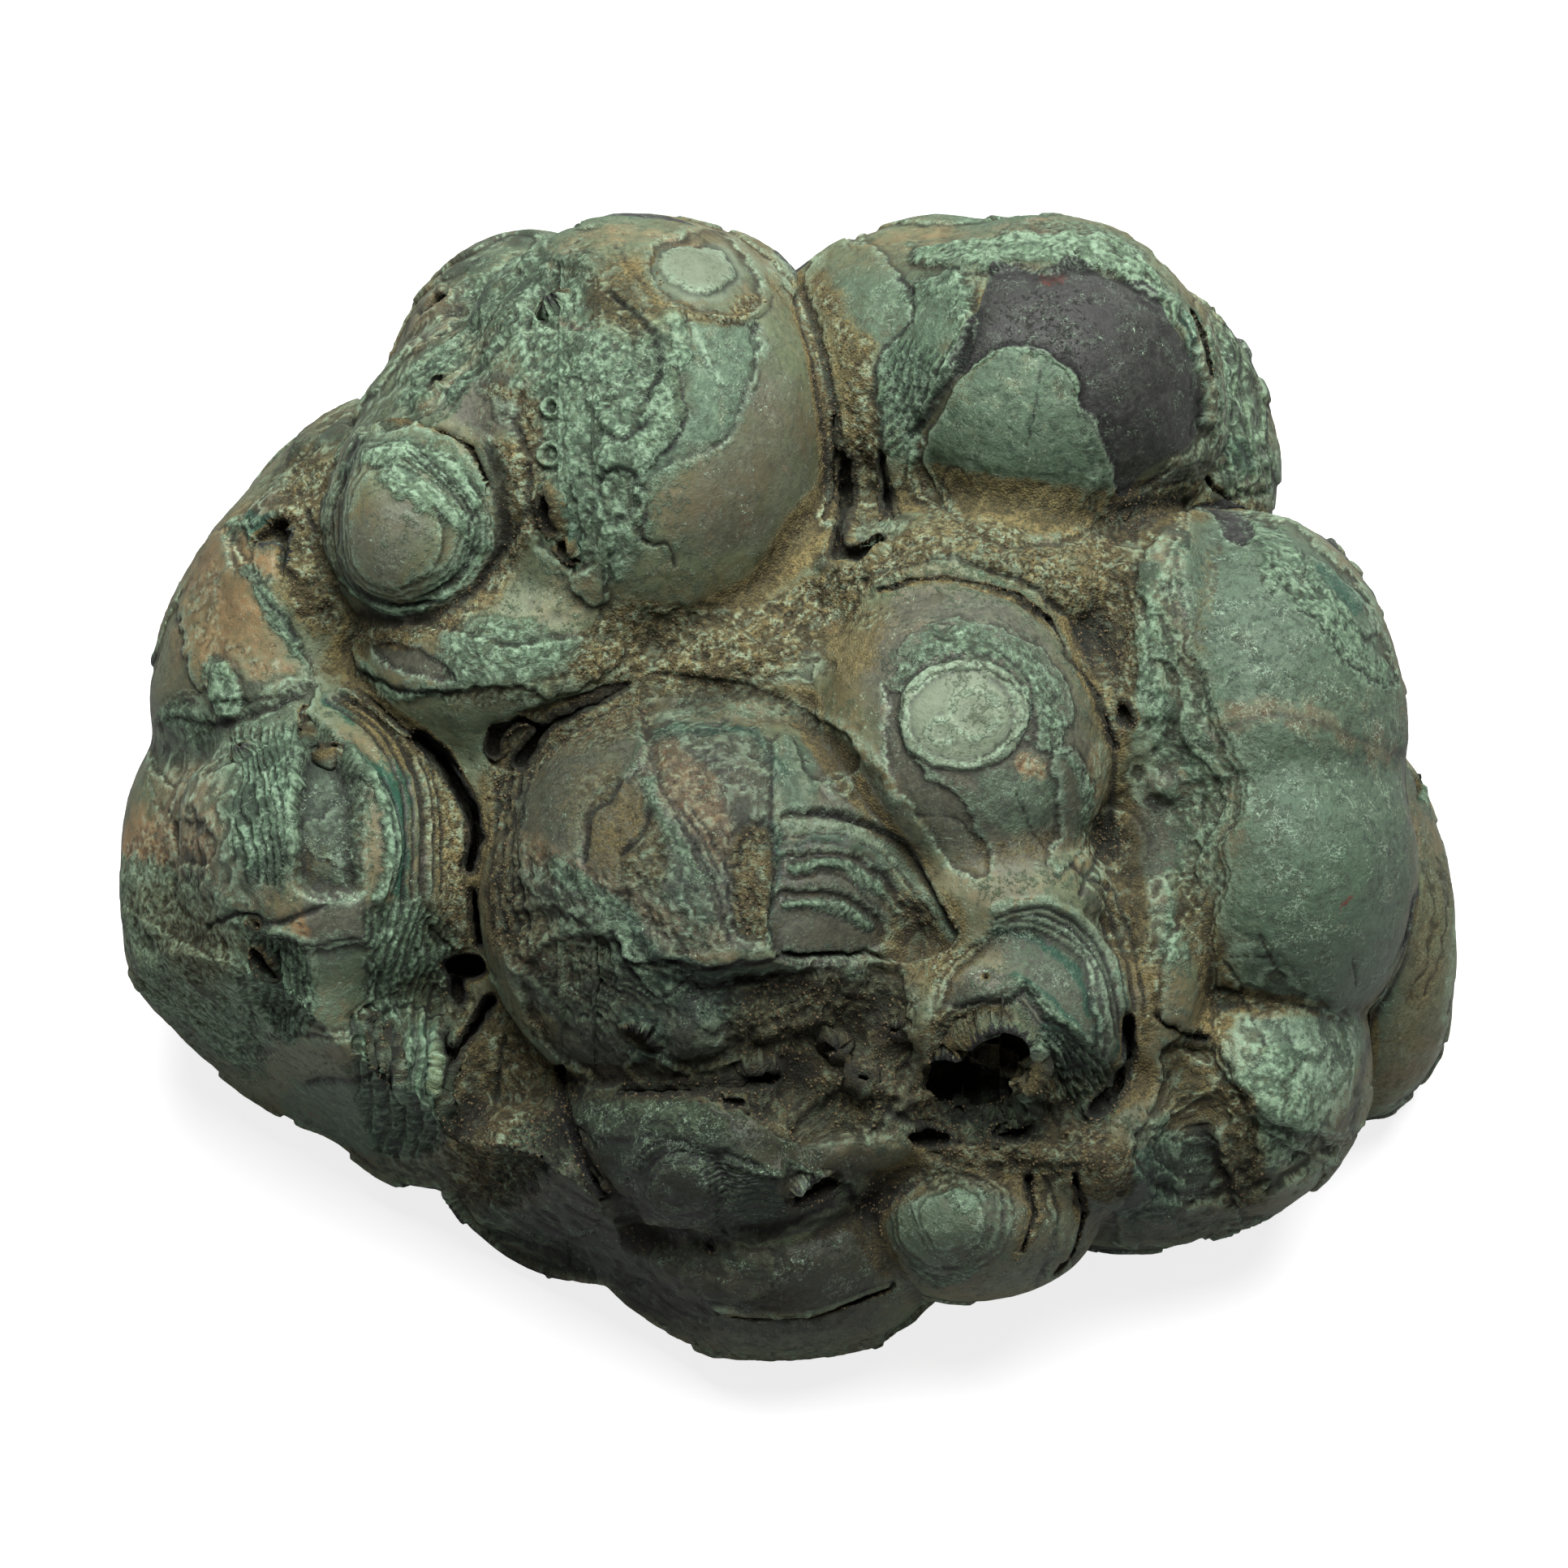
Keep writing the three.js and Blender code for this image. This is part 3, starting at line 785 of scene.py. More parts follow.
SHEETS: tuple[Sheet, ...] = (
    Sheet("crown_peel", path("-43,94 -35.5,94 -31,89.5 -28,87 -25,84 -23,81 -22,76.5 -23,71.5 "
          "-24.5,67.5 -25.5,64.5 -28.5,62 -31.5,61.5 -32.5,59 -31.5,56.5 -28,56 -25.5,53 -25.5,49.5 "
          "-29,46 -32,46 -34,40 -38.5,38.5 -42,43 -45.5,47 -47,53 -48.5,59 -49.5,64.5 -47,72 -46,79 "
          "-47,85"), -1.1, 1.2),
    Sheet("crown_peel_low", path("-45,72 -38.5,73.5 -34.5,69 -32.5,63 -33.5,59 -32.5,54.5 -35,47 -38,40 "
          "-43,41.5 -46,47 -47,53 -47,61.5"), -0.7, 1.4),
    Sheet("crown_fold", path("-38,54 -35,52.5 -32,47 -30,46 -31,40 -32.5,32.5 -35.5,32 -38.5,36.5 "
          "-37,44.5"), 0.8, 1.0),
    Sheet("crown_teal", path("-19.5,81.5 -14,83 -6,82 -4.5,76.5 -5,70.5 -8,66 -11,61 -16.5,59 -20.5,57 "
          "-24,53 -26,47 -24.5,43 -28,47 -25.5,54.5 -22,59 -18.5,64.5 -18.5,72 -19.5,76.5"), -0.45, 1.5),
    Sheet("crown_scale_a", path("-40,85 -33.5,86 -28.5,83 -27,77.5 -30,72 -35.5,72.5 -40,77.5"), 0.5,
          1.8),
    Sheet("crown_scale_b", path("-46,92.5 -38.5,93.5 -33.5,89.5 -35,83 -41.5,82 -46,85"), -0.5, 1.2),
    Sheet("crown_cap_peel", path("-23.5,96 -23,90 -17,85.5 -10.5,84 -5,85 -4,89 -7,94 -12.5,97.5 "
          "-18,98"), -0.9, 0.5),
    Sheet("crown_cap", path("-22,94 -20,90.5 -15.5,88.5 -11,89.5 -9,91.5 -11,94.5 -15.5,96.5 "
          "-19.5,96"), 0.6, 0.7),
    Sheet("crown_rim_plate", path("8,67 9.5,64.5 10.5,60.5 11,51.5 9.5,46 6,47 7.5,53 8,60.5"), 0.9, 0.4),
    Sheet("eye_shell", path("-75.5,62 -70.5,63.5 -66,64 -61,63 -56,60 -52,53.5 -50.5,47 -52,40 -57,34 "
          "-67,30.5 -76,33 -80,38.5 -81,46.5 -79.5,54.5"), 0.8, 0.4, 2, 1.0),
    Sheet("eye_disc", path("-75,59 -71.5,60.5 -66,59 -60.5,54.5 -57,48.5 -56,43.5 -59,38 -65,34.5 "
          "-72,34.5 -77,38 -78.5,44.5 -78,51.5"), 1.0, 0.6, 3, 1.1),
    Sheet("eye_core", path("-74.5,53 -70.5,54 -65,50.5 -62,45 -63.5,39 -69,36.5 -74,39 -76,46"), 0.5,
          0.6),
    Sheet("eye_crescent", path("-70,59.5 -63,59 -56.5,54.5 -53,48.5 -53.5,42 -56.5,43.5 -59,49 -63,53.5 "
          "-67.5,55.5 -71.5,56"), 0.6, 0.9, 2, 0.9),
    Sheet("cheek_block", path("-70.5,89.5 -60.5,89.5 -59,85 -64.5,79 -72,76.5 -69.5,83.5"), 1.3, 1.0),
    Sheet("back_capsule", path("-99,44.5 -97,46 -95,43 -95.5,39.5 -98,38.5"), -1.0, 0.4),
    Sheet("back_sheet", path("-107.5,38.5 -102,45 -96.5,40 -93.5,36 -90,30 -87,25.5 -85,18 -96.5,15 "
          "-107,19"), 0.7, 1.1),
    Sheet("back_sheet_top", path("-96.5,47 -92.5,53 -85,59 -79,64.5 -76.5,59 -82,53 -85.5,46 -86,35.5 "
          "-91,47"), 0.8, 1.3),
    Sheet("saddle_left", path("5,90.5 14,97 20.5,89.5 23.5,82 18.5,77.5 16.5,70.5 14,61.5 11,59 "
          "9.5,70.5 6.5,82"), 0.5, 0.9),
    Sheet("saddle_mid", path("23.5,87.5 32,90 32.5,84.5 30.5,76.5 22.5,66 22,59 19.5,53 17.5,59 17,70.5 "
          "18.5,77 23.5,82"), 0.6, 1.0),
    Sheet("crown_window", path("36.5,92.5 33.5,89.5 32.5,85 34,82 31,75.5 27,69 22.5,63 24,61 23,54.5 "
          "27,49.5 37,42.5 50,41.5 59.5,47 63.5,51.5 71,57 76.5,61.5 77,72 76,78.5 71,85 66,90 59,92.5 "
          "52.5,94.5 47,92.5 41.5,93"), -1.1, 0.7, 2, 0.8),
    Sheet("crown_disc", path("40.5,78 46,77.5 50,75 53,72 53,67.5 56,65.5 59,56 59,51.5 56,47 50,44.5 "
          "41.5,43.5 34,46 28.5,50 24.5,57.5 25.5,61 27,64.5 30.5,70.5 34,75"), 0.8, 0.6),
    Sheet("crown_lip", path("23,93 25.5,95 34,96 41.5,97.5 50,97 56,96.5 63,94 71,84.5 67.5,87.5 63,90 "
          "55,92.5 52.5,94 48.5,91.5 40,93.5 34,91 27,91.5"), 0.9, 0.9),
    Sheet("right_rim", path("76,84.5 78,82 80,76.5 80,69 79,61.5 77,59 76.5,64.5 76.5,72 75.5,79"),
          0.8, 0.5),
    Sheet("right_rim_back", path("79,80.5 83,76.5 85,67.5 86,57.5 82,53 79.5,57.5 80.5,67.5"), 0.7, 1.1),
    Sheet("sill", path("-76.5,24 -74.5,20 -69.5,18 -64.5,16.5 -59,16.5 -53,18 -47,17.5 -40,16.5 "
          "-32.5,20 -28.5,24 -38.5,26 -50,25 -59,27 -67.5,29 -75,27"), 0.9, 0.9),
    Sheet("sill_purple", path("-72,24.5 -67.5,25.5 -60.5,22 -59,18.5 -64.5,19 -70.5,21.5"), -0.5, 0.8),
    Sheet("apron_pocket", path("-53.5,4.5 -53,8.5 -49.5,11.5 -44.5,14 -35.5,16.5 -28.5,18 -32,15 "
          "-38.5,11.5 -44,9.5 -46,5 -50,2"), -1.2, 0.5),
    Sheet("heart_halo", path("21,24 27,28 37.5,28 46.5,24 51.5,16.5 50.5,9.5 45,5 43,12.5 40,18.5 "
          "32.5,22 25.5,21"), 0.35, 1.6),
    Sheet("heart_disc", path("20.5,12 21.5,16.5 25,20 30,21.5 35.5,21.5 40,19.5 42.5,15.5 43,11 41,6 "
          "37,3.5 31,2.5 25.5,4 21.5,7.5"), 0.5, 0.35),
    Sheet("heart_disc_floor", path("22.5,12 23.5,15.5 26.5,18.5 30.5,20 34.5,20 38.5,18 40.5,14.5 41,11 "
          "39.5,7.5 36,5 31.5,4 26.5,5.5 23.5,8"), -0.22, 0.25),
    Sheet("heart_slate", path("18,16.5 22,15 21.5,8.5 25,2.5 31,-1.5 35,-8 36.5,-16.5 28.5,-12.5 "
          "22.5,-5 18.5,3.5"), -0.5, 1.2),
    Sheet("heart_flake", path("47,5 53,5 54.5,-3.5 51.5,-14 47,-16 48.5,-6.5"), 0.45, 1.2),
    Sheet("brow_step", path("-25.5,19 -16.5,19.5 -6.5,17.5 5,12.5 14,5 5,0.5 -0.5,9.5 -1.5,-2 -2,-27 "
          "-9.5,-28.5 -15,-15.5 -19.5,-5 -24.5,5"), -0.9, 0.45),
    Sheet("brow_block", path("-9.5,-8 -2,-7 -2,-27 -8.5,-27.5 -10.5,-18"), -0.7, 0.4),
    Sheet("brow_band_a", path("-0.5,-5 5,-5 12.5,-5.5 17.5,-8.5 21.5,-12 27,-19.5 30.5,-25.5 30,-29.5 "
          "22.5,-32 11,-32 -0.5,-31 -1.5,-16.5"), -1.5, 0.5),
    Sheet("brow_band_b", path("-1,-12.5 6,-12 12.5,-12 18.5,-16 22,-21 25,-27 22.5,-32 5,-32 "
          "-1.5,-30.5"), -1.1, 0.7),
    Sheet("brow_band_c", path("-1,-19.5 5,-18.5 12.5,-19.5 17.5,-23 20,-28.5 14,-32.5 -1,-32"), -1.1,
          0.7),
    Sheet("brow_left_skin", path("-46,0.5 -38.5,8.5 -30,12.5 -25.5,11 -25,3.5 -30,0.5 -35,-5 -36,-14 "
          "-33.5,-21 -38.5,-24 -46,-18 -47,-8"), 0.5, 0.9),
    Sheet("brow_fracture", path("-47,-32.5 -40,-27 -31,-28 -27,-32.5 -21,-31.5 -16.5,-33.5 -9.5,-33 "
          "-0.5,-31.5 11,-31 19.5,-32.5 21.5,-40 21.5,-53 16.5,-63 2,-63.5 -9.5,-57.5 -19.5,-55.5 "
          "-28.5,-55 -38.5,-50.5 -46,-43"), -1.5, 1.1),
    Sheet("brow_scoop", path("-20,-34.5 -12.5,-36 -0.5,-35 7,-34.5 7.5,-39 0.5,-42.5 -8,-43.5 "
          "-16.5,-41.5"), -1.6, 0.7, 3, 0.9),
    Sheet("brow_scale", path("-50,-24 -41.5,-22.5 -35,-26 -31,-34 -32.5,-43 -40,-43 -46,-36.5"), -0.7,
          1.1),
    Sheet("brow_shelf", path("-27,-48.5 -16.5,-51.5 -6,-49.5 -0.5,-54.5 -9.5,-56 -19.5,-54 -28,-54"),
          0.9, 0.8),
    Sheet("brow_floor", path("4.5,-56 12.5,-55 16.5,-57.5 15.5,-62 8,-63.5 3.5,-61"), -1.2, 0.7),
    Sheet("knob_band_a", path("36,-27 42.5,-24 49,-25.5 55,-30.5 57.5,-38.5 58.5,-48.5 54.5,-55.5 "
          "41.5,-57.5 30,-59 26.5,-48.5 27.5,-37"), -1.5, 0.5, 2, 1.0),
    Sheet("knob_band_b", path("29.5,-40 40,-36.5 43.5,-34.5 49,-40.5 55.5,-47 55,-55 41.5,-59 28.5,-59 "
          "26.5,-48.5"), -1.6, 0.6, 2, 1.1),
    Sheet("knob_band_c", path("31,-43 38,-43 43.5,-48 50.5,-50.5 52,-56 41.5,-60.5 28.5,-59.5 27,-50"),
          -1.8, 0.7, 2, 1.1),
    Sheet("chin_dish", path("-29.5,-72 -26,-66 -19.5,-63.5 -12,-66 -8.5,-72 -13,-78.5 -21,-80 "
          "-27,-77.5"), -0.7, 0.5, 2, 1.2),
    Sheet("chin_disc", path("-25,-72.5 -23,-68 -17.5,-66.5 -12.5,-70 -13.5,-75.5 -18.5,-77.5 "
          "-23.5,-76.5"), 1.1, 0.4, 2, 1.1),
    Sheet("chin_leaf", path("-38.5,-53 -27,-55 -15.5,-57.5 -8.5,-63 -12.5,-65.5 -19.5,-63 -28.5,-63.5 "
          "-35.5,-63 -38.5,-58"), 0.6, 1.0),
    Sheet("chin_wave", path("-12,-66 -5,-68 -1,-71 1.5,-68.5 7,-71 12.5,-72.5 12,-75 3.5,-78.5 -5,-82 "
          "-12.5,-79.5 -11,-73.5"), -0.8, 0.6),
    Sheet("toe_right_a", path("19.5,-76.5 22.5,-71 29,-68.5 36,-69.5 40,-73.5 40.5,-80.5 36,-86 "
          "27,-87.5 21,-83.5"), 0.7, 0.5, 2, 1.3),
    Sheet("toe_right_b", path("24,-77 27,-73 32,-71.5 36,-74 37,-79 33.5,-83 27,-83.5"), 0.6, 0.6, 2,
          1.1),
    Sheet("toe_right_c", path("47,-73.5 52,-70 53.5,-77.5 52,-84.5 47,-88.5 49,-80.5"), 0.5, 0.5),
    Sheet("toe_left_leaf", path("-53,-75 -47,-69 -38.5,-63 -35,-69 -32.5,-76.5 -38.5,-82 -47,-82 "
          "-52.5,-79"), 0.6, 0.9),
    Sheet("sole_leaf", path("-24,-83.5 -16.5,-80.5 -5,-81 -1.5,-86.5 -3.5,-92.5 -14,-93 -21,-90"), 0.5,
          0.8),
    Sheet("valley_sheet", path("63,35.5 67.5,30.5 70,25.5 65.5,22.5 70,20.5 71,12.5 72.5,6.5 77.5,2 "
          "78.5,-5 75,-11 74,-16.5 69,-31 67.5,-41.5 77.5,-47 86.5,-63 107,-66 128.5,-19.5 128.5,24 "
          "107,47 86.5,51.5 70.5,47"), 0.8, 0.9),
    Sheet("cheek_skin", path("70.5,47 69,38.5 70.5,27 71.5,22.5 75,19 76.5,14 78.5,9.5 82,1.5 83,-3.5 "
          "78.5,-11 79.5,-16.5 76.5,-27 77,-38.5 77.5,-47 82,-55 88,-61 98,-63 115.5,-48.5 121.5,-5 "
          "115.5,38.5 92.5,59 75,54.5"), 0.8, 0.8, 2, 0.9),
    Sheet("cheek_mint", path("82,47 89.5,46 98,39 104,30 108,20 104,16.5 98,23.5 91.5,31.5 86.5,39.5"),
          -0.5, 1.2),
    Sheet("cheek_oval", path("92,38.5 96.5,38 102,32.5 105,27 102,26 97,31"), 0.6, 0.6),
    Sheet("cheek_jet", path("72,48.5 77.5,51 81,50 84.5,43 80,42 76.5,46.5"), -0.5, 0.5),
    Sheet("cheek_fracture", path("76.5,-47 78,-51.5 82,-55.5 88,-61 93,-62 98,-64 92.5,-71 77.5,-75 "
          "69,-75 63,-66 67.5,-54.5 69,-47"), -1.5, 1.0),
    Sheet("cheek_fracture_low", path("75,-55 82,-57.5 86,-63 83.5,-70.5 75,-73.5 69,-69 70.5,-60.5"),
          -0.9, 1.3),
    Sheet("heel_facet", path("60.5,-76 69,-75 80.5,-75.5 81,-80.5 70.5,-82.5 61,-82"), 0.6, 0.6),
    Sheet("valley_dirt", path("56,-5 63,-6 64.5,-14.5 59,-16.5 54.5,-12.5"), 0.7, 0.8),
    Sheet("left_window", path("-86,12.5 -87,10 -86.5,6.5 -88.5,-3 -88,-12.5 -87,-19 -82,-21 -75.5,-19.5 "
          "-75,-5 -76.5,2 -80,8.5 -83,11"), -3.6, 0.6, 3, 0.5, 0.6),
    Sheet("shell_outer", path("-77.5,16.5 -67.5,9.5 -60.5,0.5 -57.5,-5 -57,-29 -61.5,-27 -64.5,-19.5 "
          "-64,-9.5 -65.5,0 -69,8 -75,14 -80,16.5"), 1.2, 0.5),
    Sheet("left_bench", path("-87,-4.5 -82,-3.5 -76,-1 -75,-5 -75.5,-14 -82,-14 -86,-12.5"), 0.25, 1.2),
    Sheet("low_scar", path("-96.5,-28.5 -92.5,-27 -85.5,-29 -75,-28 -71.5,-34 -73.5,-43 -82,-45.5 "
          "-91,-44.5 -95,-40"), -1.3, 0.8, 2, 1.2),
    Sheet("low_scar_core", path("-93.5,-31 -89.5,-30 -86,-34 -86.5,-41.5 -90,-44.5 -93,-40"), -1.2,
          0.8, 2, 0.8),
    Sheet("left_orange", path("-110.5,-7.5 -106,-6 -102.5,-10.5 -104.5,-14.5 -109,-14"), -0.8, 0.9),
    Sheet("left_blob", path("-102,21 -99,22 -97,16.5 -98,11.5 -101.5,12.5 -102.5,16.5"), 1.3, 0.6),
    Sheet("left_slab", path("-120,-22.5 -111,-27 -102,-31 -96.5,-38 -98,-47 -105.5,-43 -118.5,-34"),
          0.7, 1.0),
    Sheet("left_upper", path("-112.5,11 -104,10.5 -99,11 -93.5,13.5 -87,16.5 -84,17.5 -86,12.5 "
          "-92.5,8.5 -99.5,5 -107,0.5 -112.5,2"), -0.6, 1.0),
)

SEAMS: tuple[Seam, ...] = (
    Seam("crown_dark_edge", path("-31,89.5 -28.5,87 -25.5,84.5 -23,81 -22,77.5 -22,74 -23.5,71 "
          "-24.5,69"), 0.9, 0.5),
    Seam("crown_second_edge", path("-19.5,75 -18.5,70.5 -18,64.5 -20,61.5 -21,59"), 0.5, 0.4, 0.8),
    Seam("crown_ring", path("-30,96.5 -24,89.5 -16.5,85 -9.5,82.5 -3.5,84 -2,87"), 0.3, 0.4),
    Seam("crown_low_crack", path("-32,38.5 -32.5,34 -33,29.5"), 0.6, 0.35),
    Seam("crown_low_line", path("-24.5,50 -25.5,44.5 -24,43 -21,43.5 -19.5,39.5"), 0.5, 0.35, 0.6),
    Seam("crown_seam", path("-5,82 -6,78.5 -3.5,72 -6.5,68.5 -9,63 -12.5,61"), 0.3, 0.4, 1.0),
    Seam("crown_mint_fold", path("-32,63 -29.5,62 -25.5,64 -23.5,66"), 0.7, 0.5, 0.6),
    Seam("crown_mint_fold_low", path("-33,54 -30.5,56.5 -27.5,56 -25,53"), 0.7, 0.5, 0.6),
    Seam("eye_outline", path("-48.5,63.5 -47,59 -46.5,53 -47,47 -51.5,40 -57,33 -66,29"), 0.5, 0.5, 0.3),
    Seam("eye_moat", path("-52,59 -50,53 -49.5,47 -52,40 -58,32.5 -66.5,29 -75,31"), 0.6, 1.6, 0.6),
    Seam("eye_lines_left", path("-76,60.5 -78.5,54.5 -80,47 -79,40 -76.5,35 -70.5,32.5 -63,33"), 0.7,
          0.3, 0.3, 3, (0.8, 0.1)),
    Seam("eye_lines_right", path("-64.5,58.5 -59.5,54.5 -55.5,48.5 -55,43 -58,37.5 -63,34.5"), 0.5,
          0.3, 0.5, 3, (-0.9, -0.3)),
    Seam("cheek_gouge", path("-64.5,84 -60.5,87.5"), 1.4, 0.6),
    Seam("back_slit", path("-85.5,49 -84,45.5"), 1.8, 0.5),
    Seam("back_ledge", path("-95,38 -92.5,34 -90,30 -87.5,26"), 0.8, 0.5, 0.6),
    Seam("saddle_crack", path("20.5,89.5 23.5,87 23.5,82 18,77.5 16.5,70.5 17.5,66 17.5,60 16.5,55.5 "
          "17.5,50"), 0.8, 0.4, 0.5),
    Seam("crown_scratch", path("46,74 45,67.5 43.5,60.5"), 0.3, 0.25, 0.1),
    Seam("crown_disc_ring", path("27.5,52.5 29,56 31.5,56.5 33.5,53.5"), 0.3, 0.3, 0.3),
    Seam("jet_under", path("33.5,80.5 31.5,74.5 27,68.5 23,63"), 0.8, 0.6, 0.4),
    Seam("channel_streaks", path("60,45.5 63,50 69,53.5 75.5,55.5"), 0.5, 0.3, 0.6, 4, (0.6, 1.0)),
    Seam("sill_edge", path("-76.5,23 -74.5,20 -69.5,18 -64.5,16.5 -59,16.5"), 0.9, 0.5, 0.6),
    Seam("heart_crack", path("17,35 22.5,36 28.5,37 36,35.5 41.5,33.5 47.5,29.5 50.5,24.5 54,19.5 "
          "56,15.5 59,6.5"), 0.7, 0.45, 0.3),
    Seam("heart_outer", path("14,36.5 19.5,38.5 28.5,40 37,38.5 44.5,35.5 50.5,30.5 54.5,24"), 0.5,
          0.5, 0.6),
    Seam("heart_lines", path("41.5,-1.5 44.5,-9.5 46.5,-12"), 0.3, 0.25, 0.4),
    Seam("heart_low_line", path("23,-6 31,-6.5 34.5,-10.5"), 0.3, 0.25, 0.5),
    Seam("heart_halo_line", path("27,25.5 37,24 42.5,19.5 43.5,13.5"), 0.3, 0.3, 0.6),
    Seam("ribbon_edge", path("59,5 58.5,-5 55.5,-14 53,-19.5"), 0.6, 0.5, 0.5),
    Seam("ribbon_crack", path("51,-14.5 56,-17 59,-19"), 0.8, 0.4, 0.4),
    Seam("brow_crack_a", path("-29.5,1 -31,-3 -34,-5 -35,-9.5 -35.5,-14"), 0.9, 0.4, 0.5),
    Seam("brow_crack_b", path("-24,-5 -26,-9.5 -29,-12.5"), 0.8, 0.4, 0.4),
    Seam("brow_hook", path("-3.5,-6 -7,-9.5 -8,-14 -9.5,-14.5"), 0.7, 0.35, 0.3),
    Seam("brow_fan", path("-19.5,-5 -14,-14 -10.5,-24 -9.5,-28.5"), 0.5, 0.4, 0.5, 3, (1.6, 0.6)),
    Seam("brow_edge", path("-1.5,2 -2,-5 -1.5,-14 -2,-27"), 0.4, 0.4, 0.7),
    Seam("brow_left_slits", path("-50.5,0.5 -51.5,-5 -52,-12.5 -52.5,-21 -51.5,-27"), 1.1, 0.4, 0.5, 4,
          (1.7, 0.3)),
    Seam("brow_gap_a", path("5,-5 12.5,-6 21,-10.5 25.5,-18 29.5,-26.5"), 1.1, 0.5, 0.4),
    Seam("brow_band_lines_a", path("0,-9 6.5,-8.5 12.5,-9.5 17.5,-12.5 22,-17.5 26,-24.5"), 0.35, 0.3,
          0.5, 2, (-0.5, -1.6)),
    Seam("brow_band_lines_b", path("0,-16.5 6.5,-16 12,-16.5 16.5,-20 19.5,-25"), 0.35, 0.3, 0.6),
    Seam("brow_cliff", path("-21,-32 -16.5,-34 -9.5,-33.5 -0.5,-32 11,-31.5"), 0.9, 0.5, 0.6),
    Seam("brow_scoop_lines", path("-18.5,-36 -12.5,-38 -3.5,-37.5 5,-35.5"), 0.5, 0.3, 0.4, 4, (0.0,
          -1.0)),
    Seam("brow_v", path("-31,-27 -27,-35.5 -22,-39.5 -15.5,-34.5"), 0.8, 0.5, 0.6),
    Seam("knob_lines_a", path("38,-24 46,-22 52.5,-25 57,-30.5 59.5,-38 60.5,-44.5"), 0.6, 0.35, 0.3,
          2, (-0.6, -1.3)),
    Seam("knob_lines_b", path("40.5,-37.5 43.5,-36 48.5,-41.5 54,-47 55.5,-53"), 0.7, 0.35, 0.4, 3,
          (-1.0, -1.0)),
    Seam("knob_face_crack", path("30,-39.5 35,-38.5 40,-39"), 0.8, 0.4, 0.3),
    Seam("knob_side_lines", path("59.5,-19.5 62,-27 63.5,-34 64.5,-40"), 0.6, 0.35, 0.3, 3, (-1.6, -0.4)),
    Seam("knob_crease", path("19.5,-59 27,-62.5 34.5,-63.5"), 1.2, 0.7, 0.6),
    Seam("chin_rings", path("-27.5,-69 -24,-65 -18,-63.5 -12,-65.5"), 0.4, 0.3, 0.3, 3, (0.4, -1.2)),
    Seam("toe_right_rings", path("33.5,-70 38,-72.5 39,-78.5 36,-84.5 30,-86.5"), 0.4, 0.3, 0.4, 3,
          (-1.3, 0.1)),
    Seam("toe_right_outer", path("46.5,-70.5 49,-76.5 48.5,-83.5 45,-89.5"), 0.5, 0.4, 0.4),
    Seam("toe_left_groove", path("-38.5,-61.5 -35.5,-69 -32.5,-74 -24,-78"), 0.7, 0.6, 0.4),
    Seam("sole_groove", path("-30,-90 -23.5,-90 -15.5,-94 -5,-95.5 5,-95 19.5,-89.5"), 0.6, 0.5, 0.4),
    Seam("sole_lines", path("-59,-77.5 -50,-82 -40,-86.5 -30,-91"), 0.5, 0.4, 0.8),
    Seam("cheek_cracks_a", path("79,-31 82,-35 82.5,-39 86,-47"), 0.5, 0.3, 0.4),
    Seam("cheek_cracks_b", path("85,-25.5 87,-30 89,-33.5"), 0.4, 0.25, 0.3),
    Seam("cheek_cracks_c", path("80.5,-30.5 87,-30"), 0.35, 0.25, 0.3),
    Seam("cheek_cracks_d", path("101,-30.5 101.5,-35"), 0.35, 0.25, 0.2),
    Seam("cheek_crease", path("77.5,8.5 85,12 93.5,11 104,7.5 111,4.5"), 0.12, 1.2, 0.4),
    Seam("cheek_boundary", path("112,-19.5 110,-28.5 107,-37 103,-46 100,-61.5"), 0.5, 0.7, 0.3),
    Seam("heel_ridge_foot", path("75.5,-63.5 77.5,-70.5 80.5,-75"), 0.9, 0.5, 0.5),
    Seam("shell_lines", path("-82,15 -77,11.5 -72,6 -68.5,-1.5 -67.5,-10.5 -68,-21"), 0.9, 0.3, 0.3, 5,
          (1.4, 0.5)),
    Seam("shell_lines_low", path("-72,0.5 -69.5,-5 -68.5,-12.5 -70,-20"), 0.7, 0.3, 0.4, 2, (-1.3, -0.2)),
    Seam("left_ledge", path("-104,-25.5 -96.5,-23.5 -92.5,-25.5 -86,-23.5 -82,-22"), 1.0, 0.5, 0.7),
    Seam("left_low_crack", path("-85,-53.5 -82,-52.5 -75,-53.5"), 1.1, 0.5, 0.3),
    Seam("left_foot_crack", path("-50.5,-45 -51.5,-51.5 -52.5,-56"), 0.9, 0.4, 0.5),
    Seam("left_edge_lines", path("-110.5,-5 -109.5,-14 -110.5,-21"), 0.5, 0.35, 0.9, 3, (2.2, 0.8)),
    Seam("left_upper_line", path("-104,10 -99,11 -93.5,13 -87,16.5"), 0.7, 0.45, 0.5),
    Seam("far_right_lines", path("113.5,-14 114.5,-25.5 111,-37"), 0.3, 0.35, 0.8, 2, (2.0, 0.0)),
)

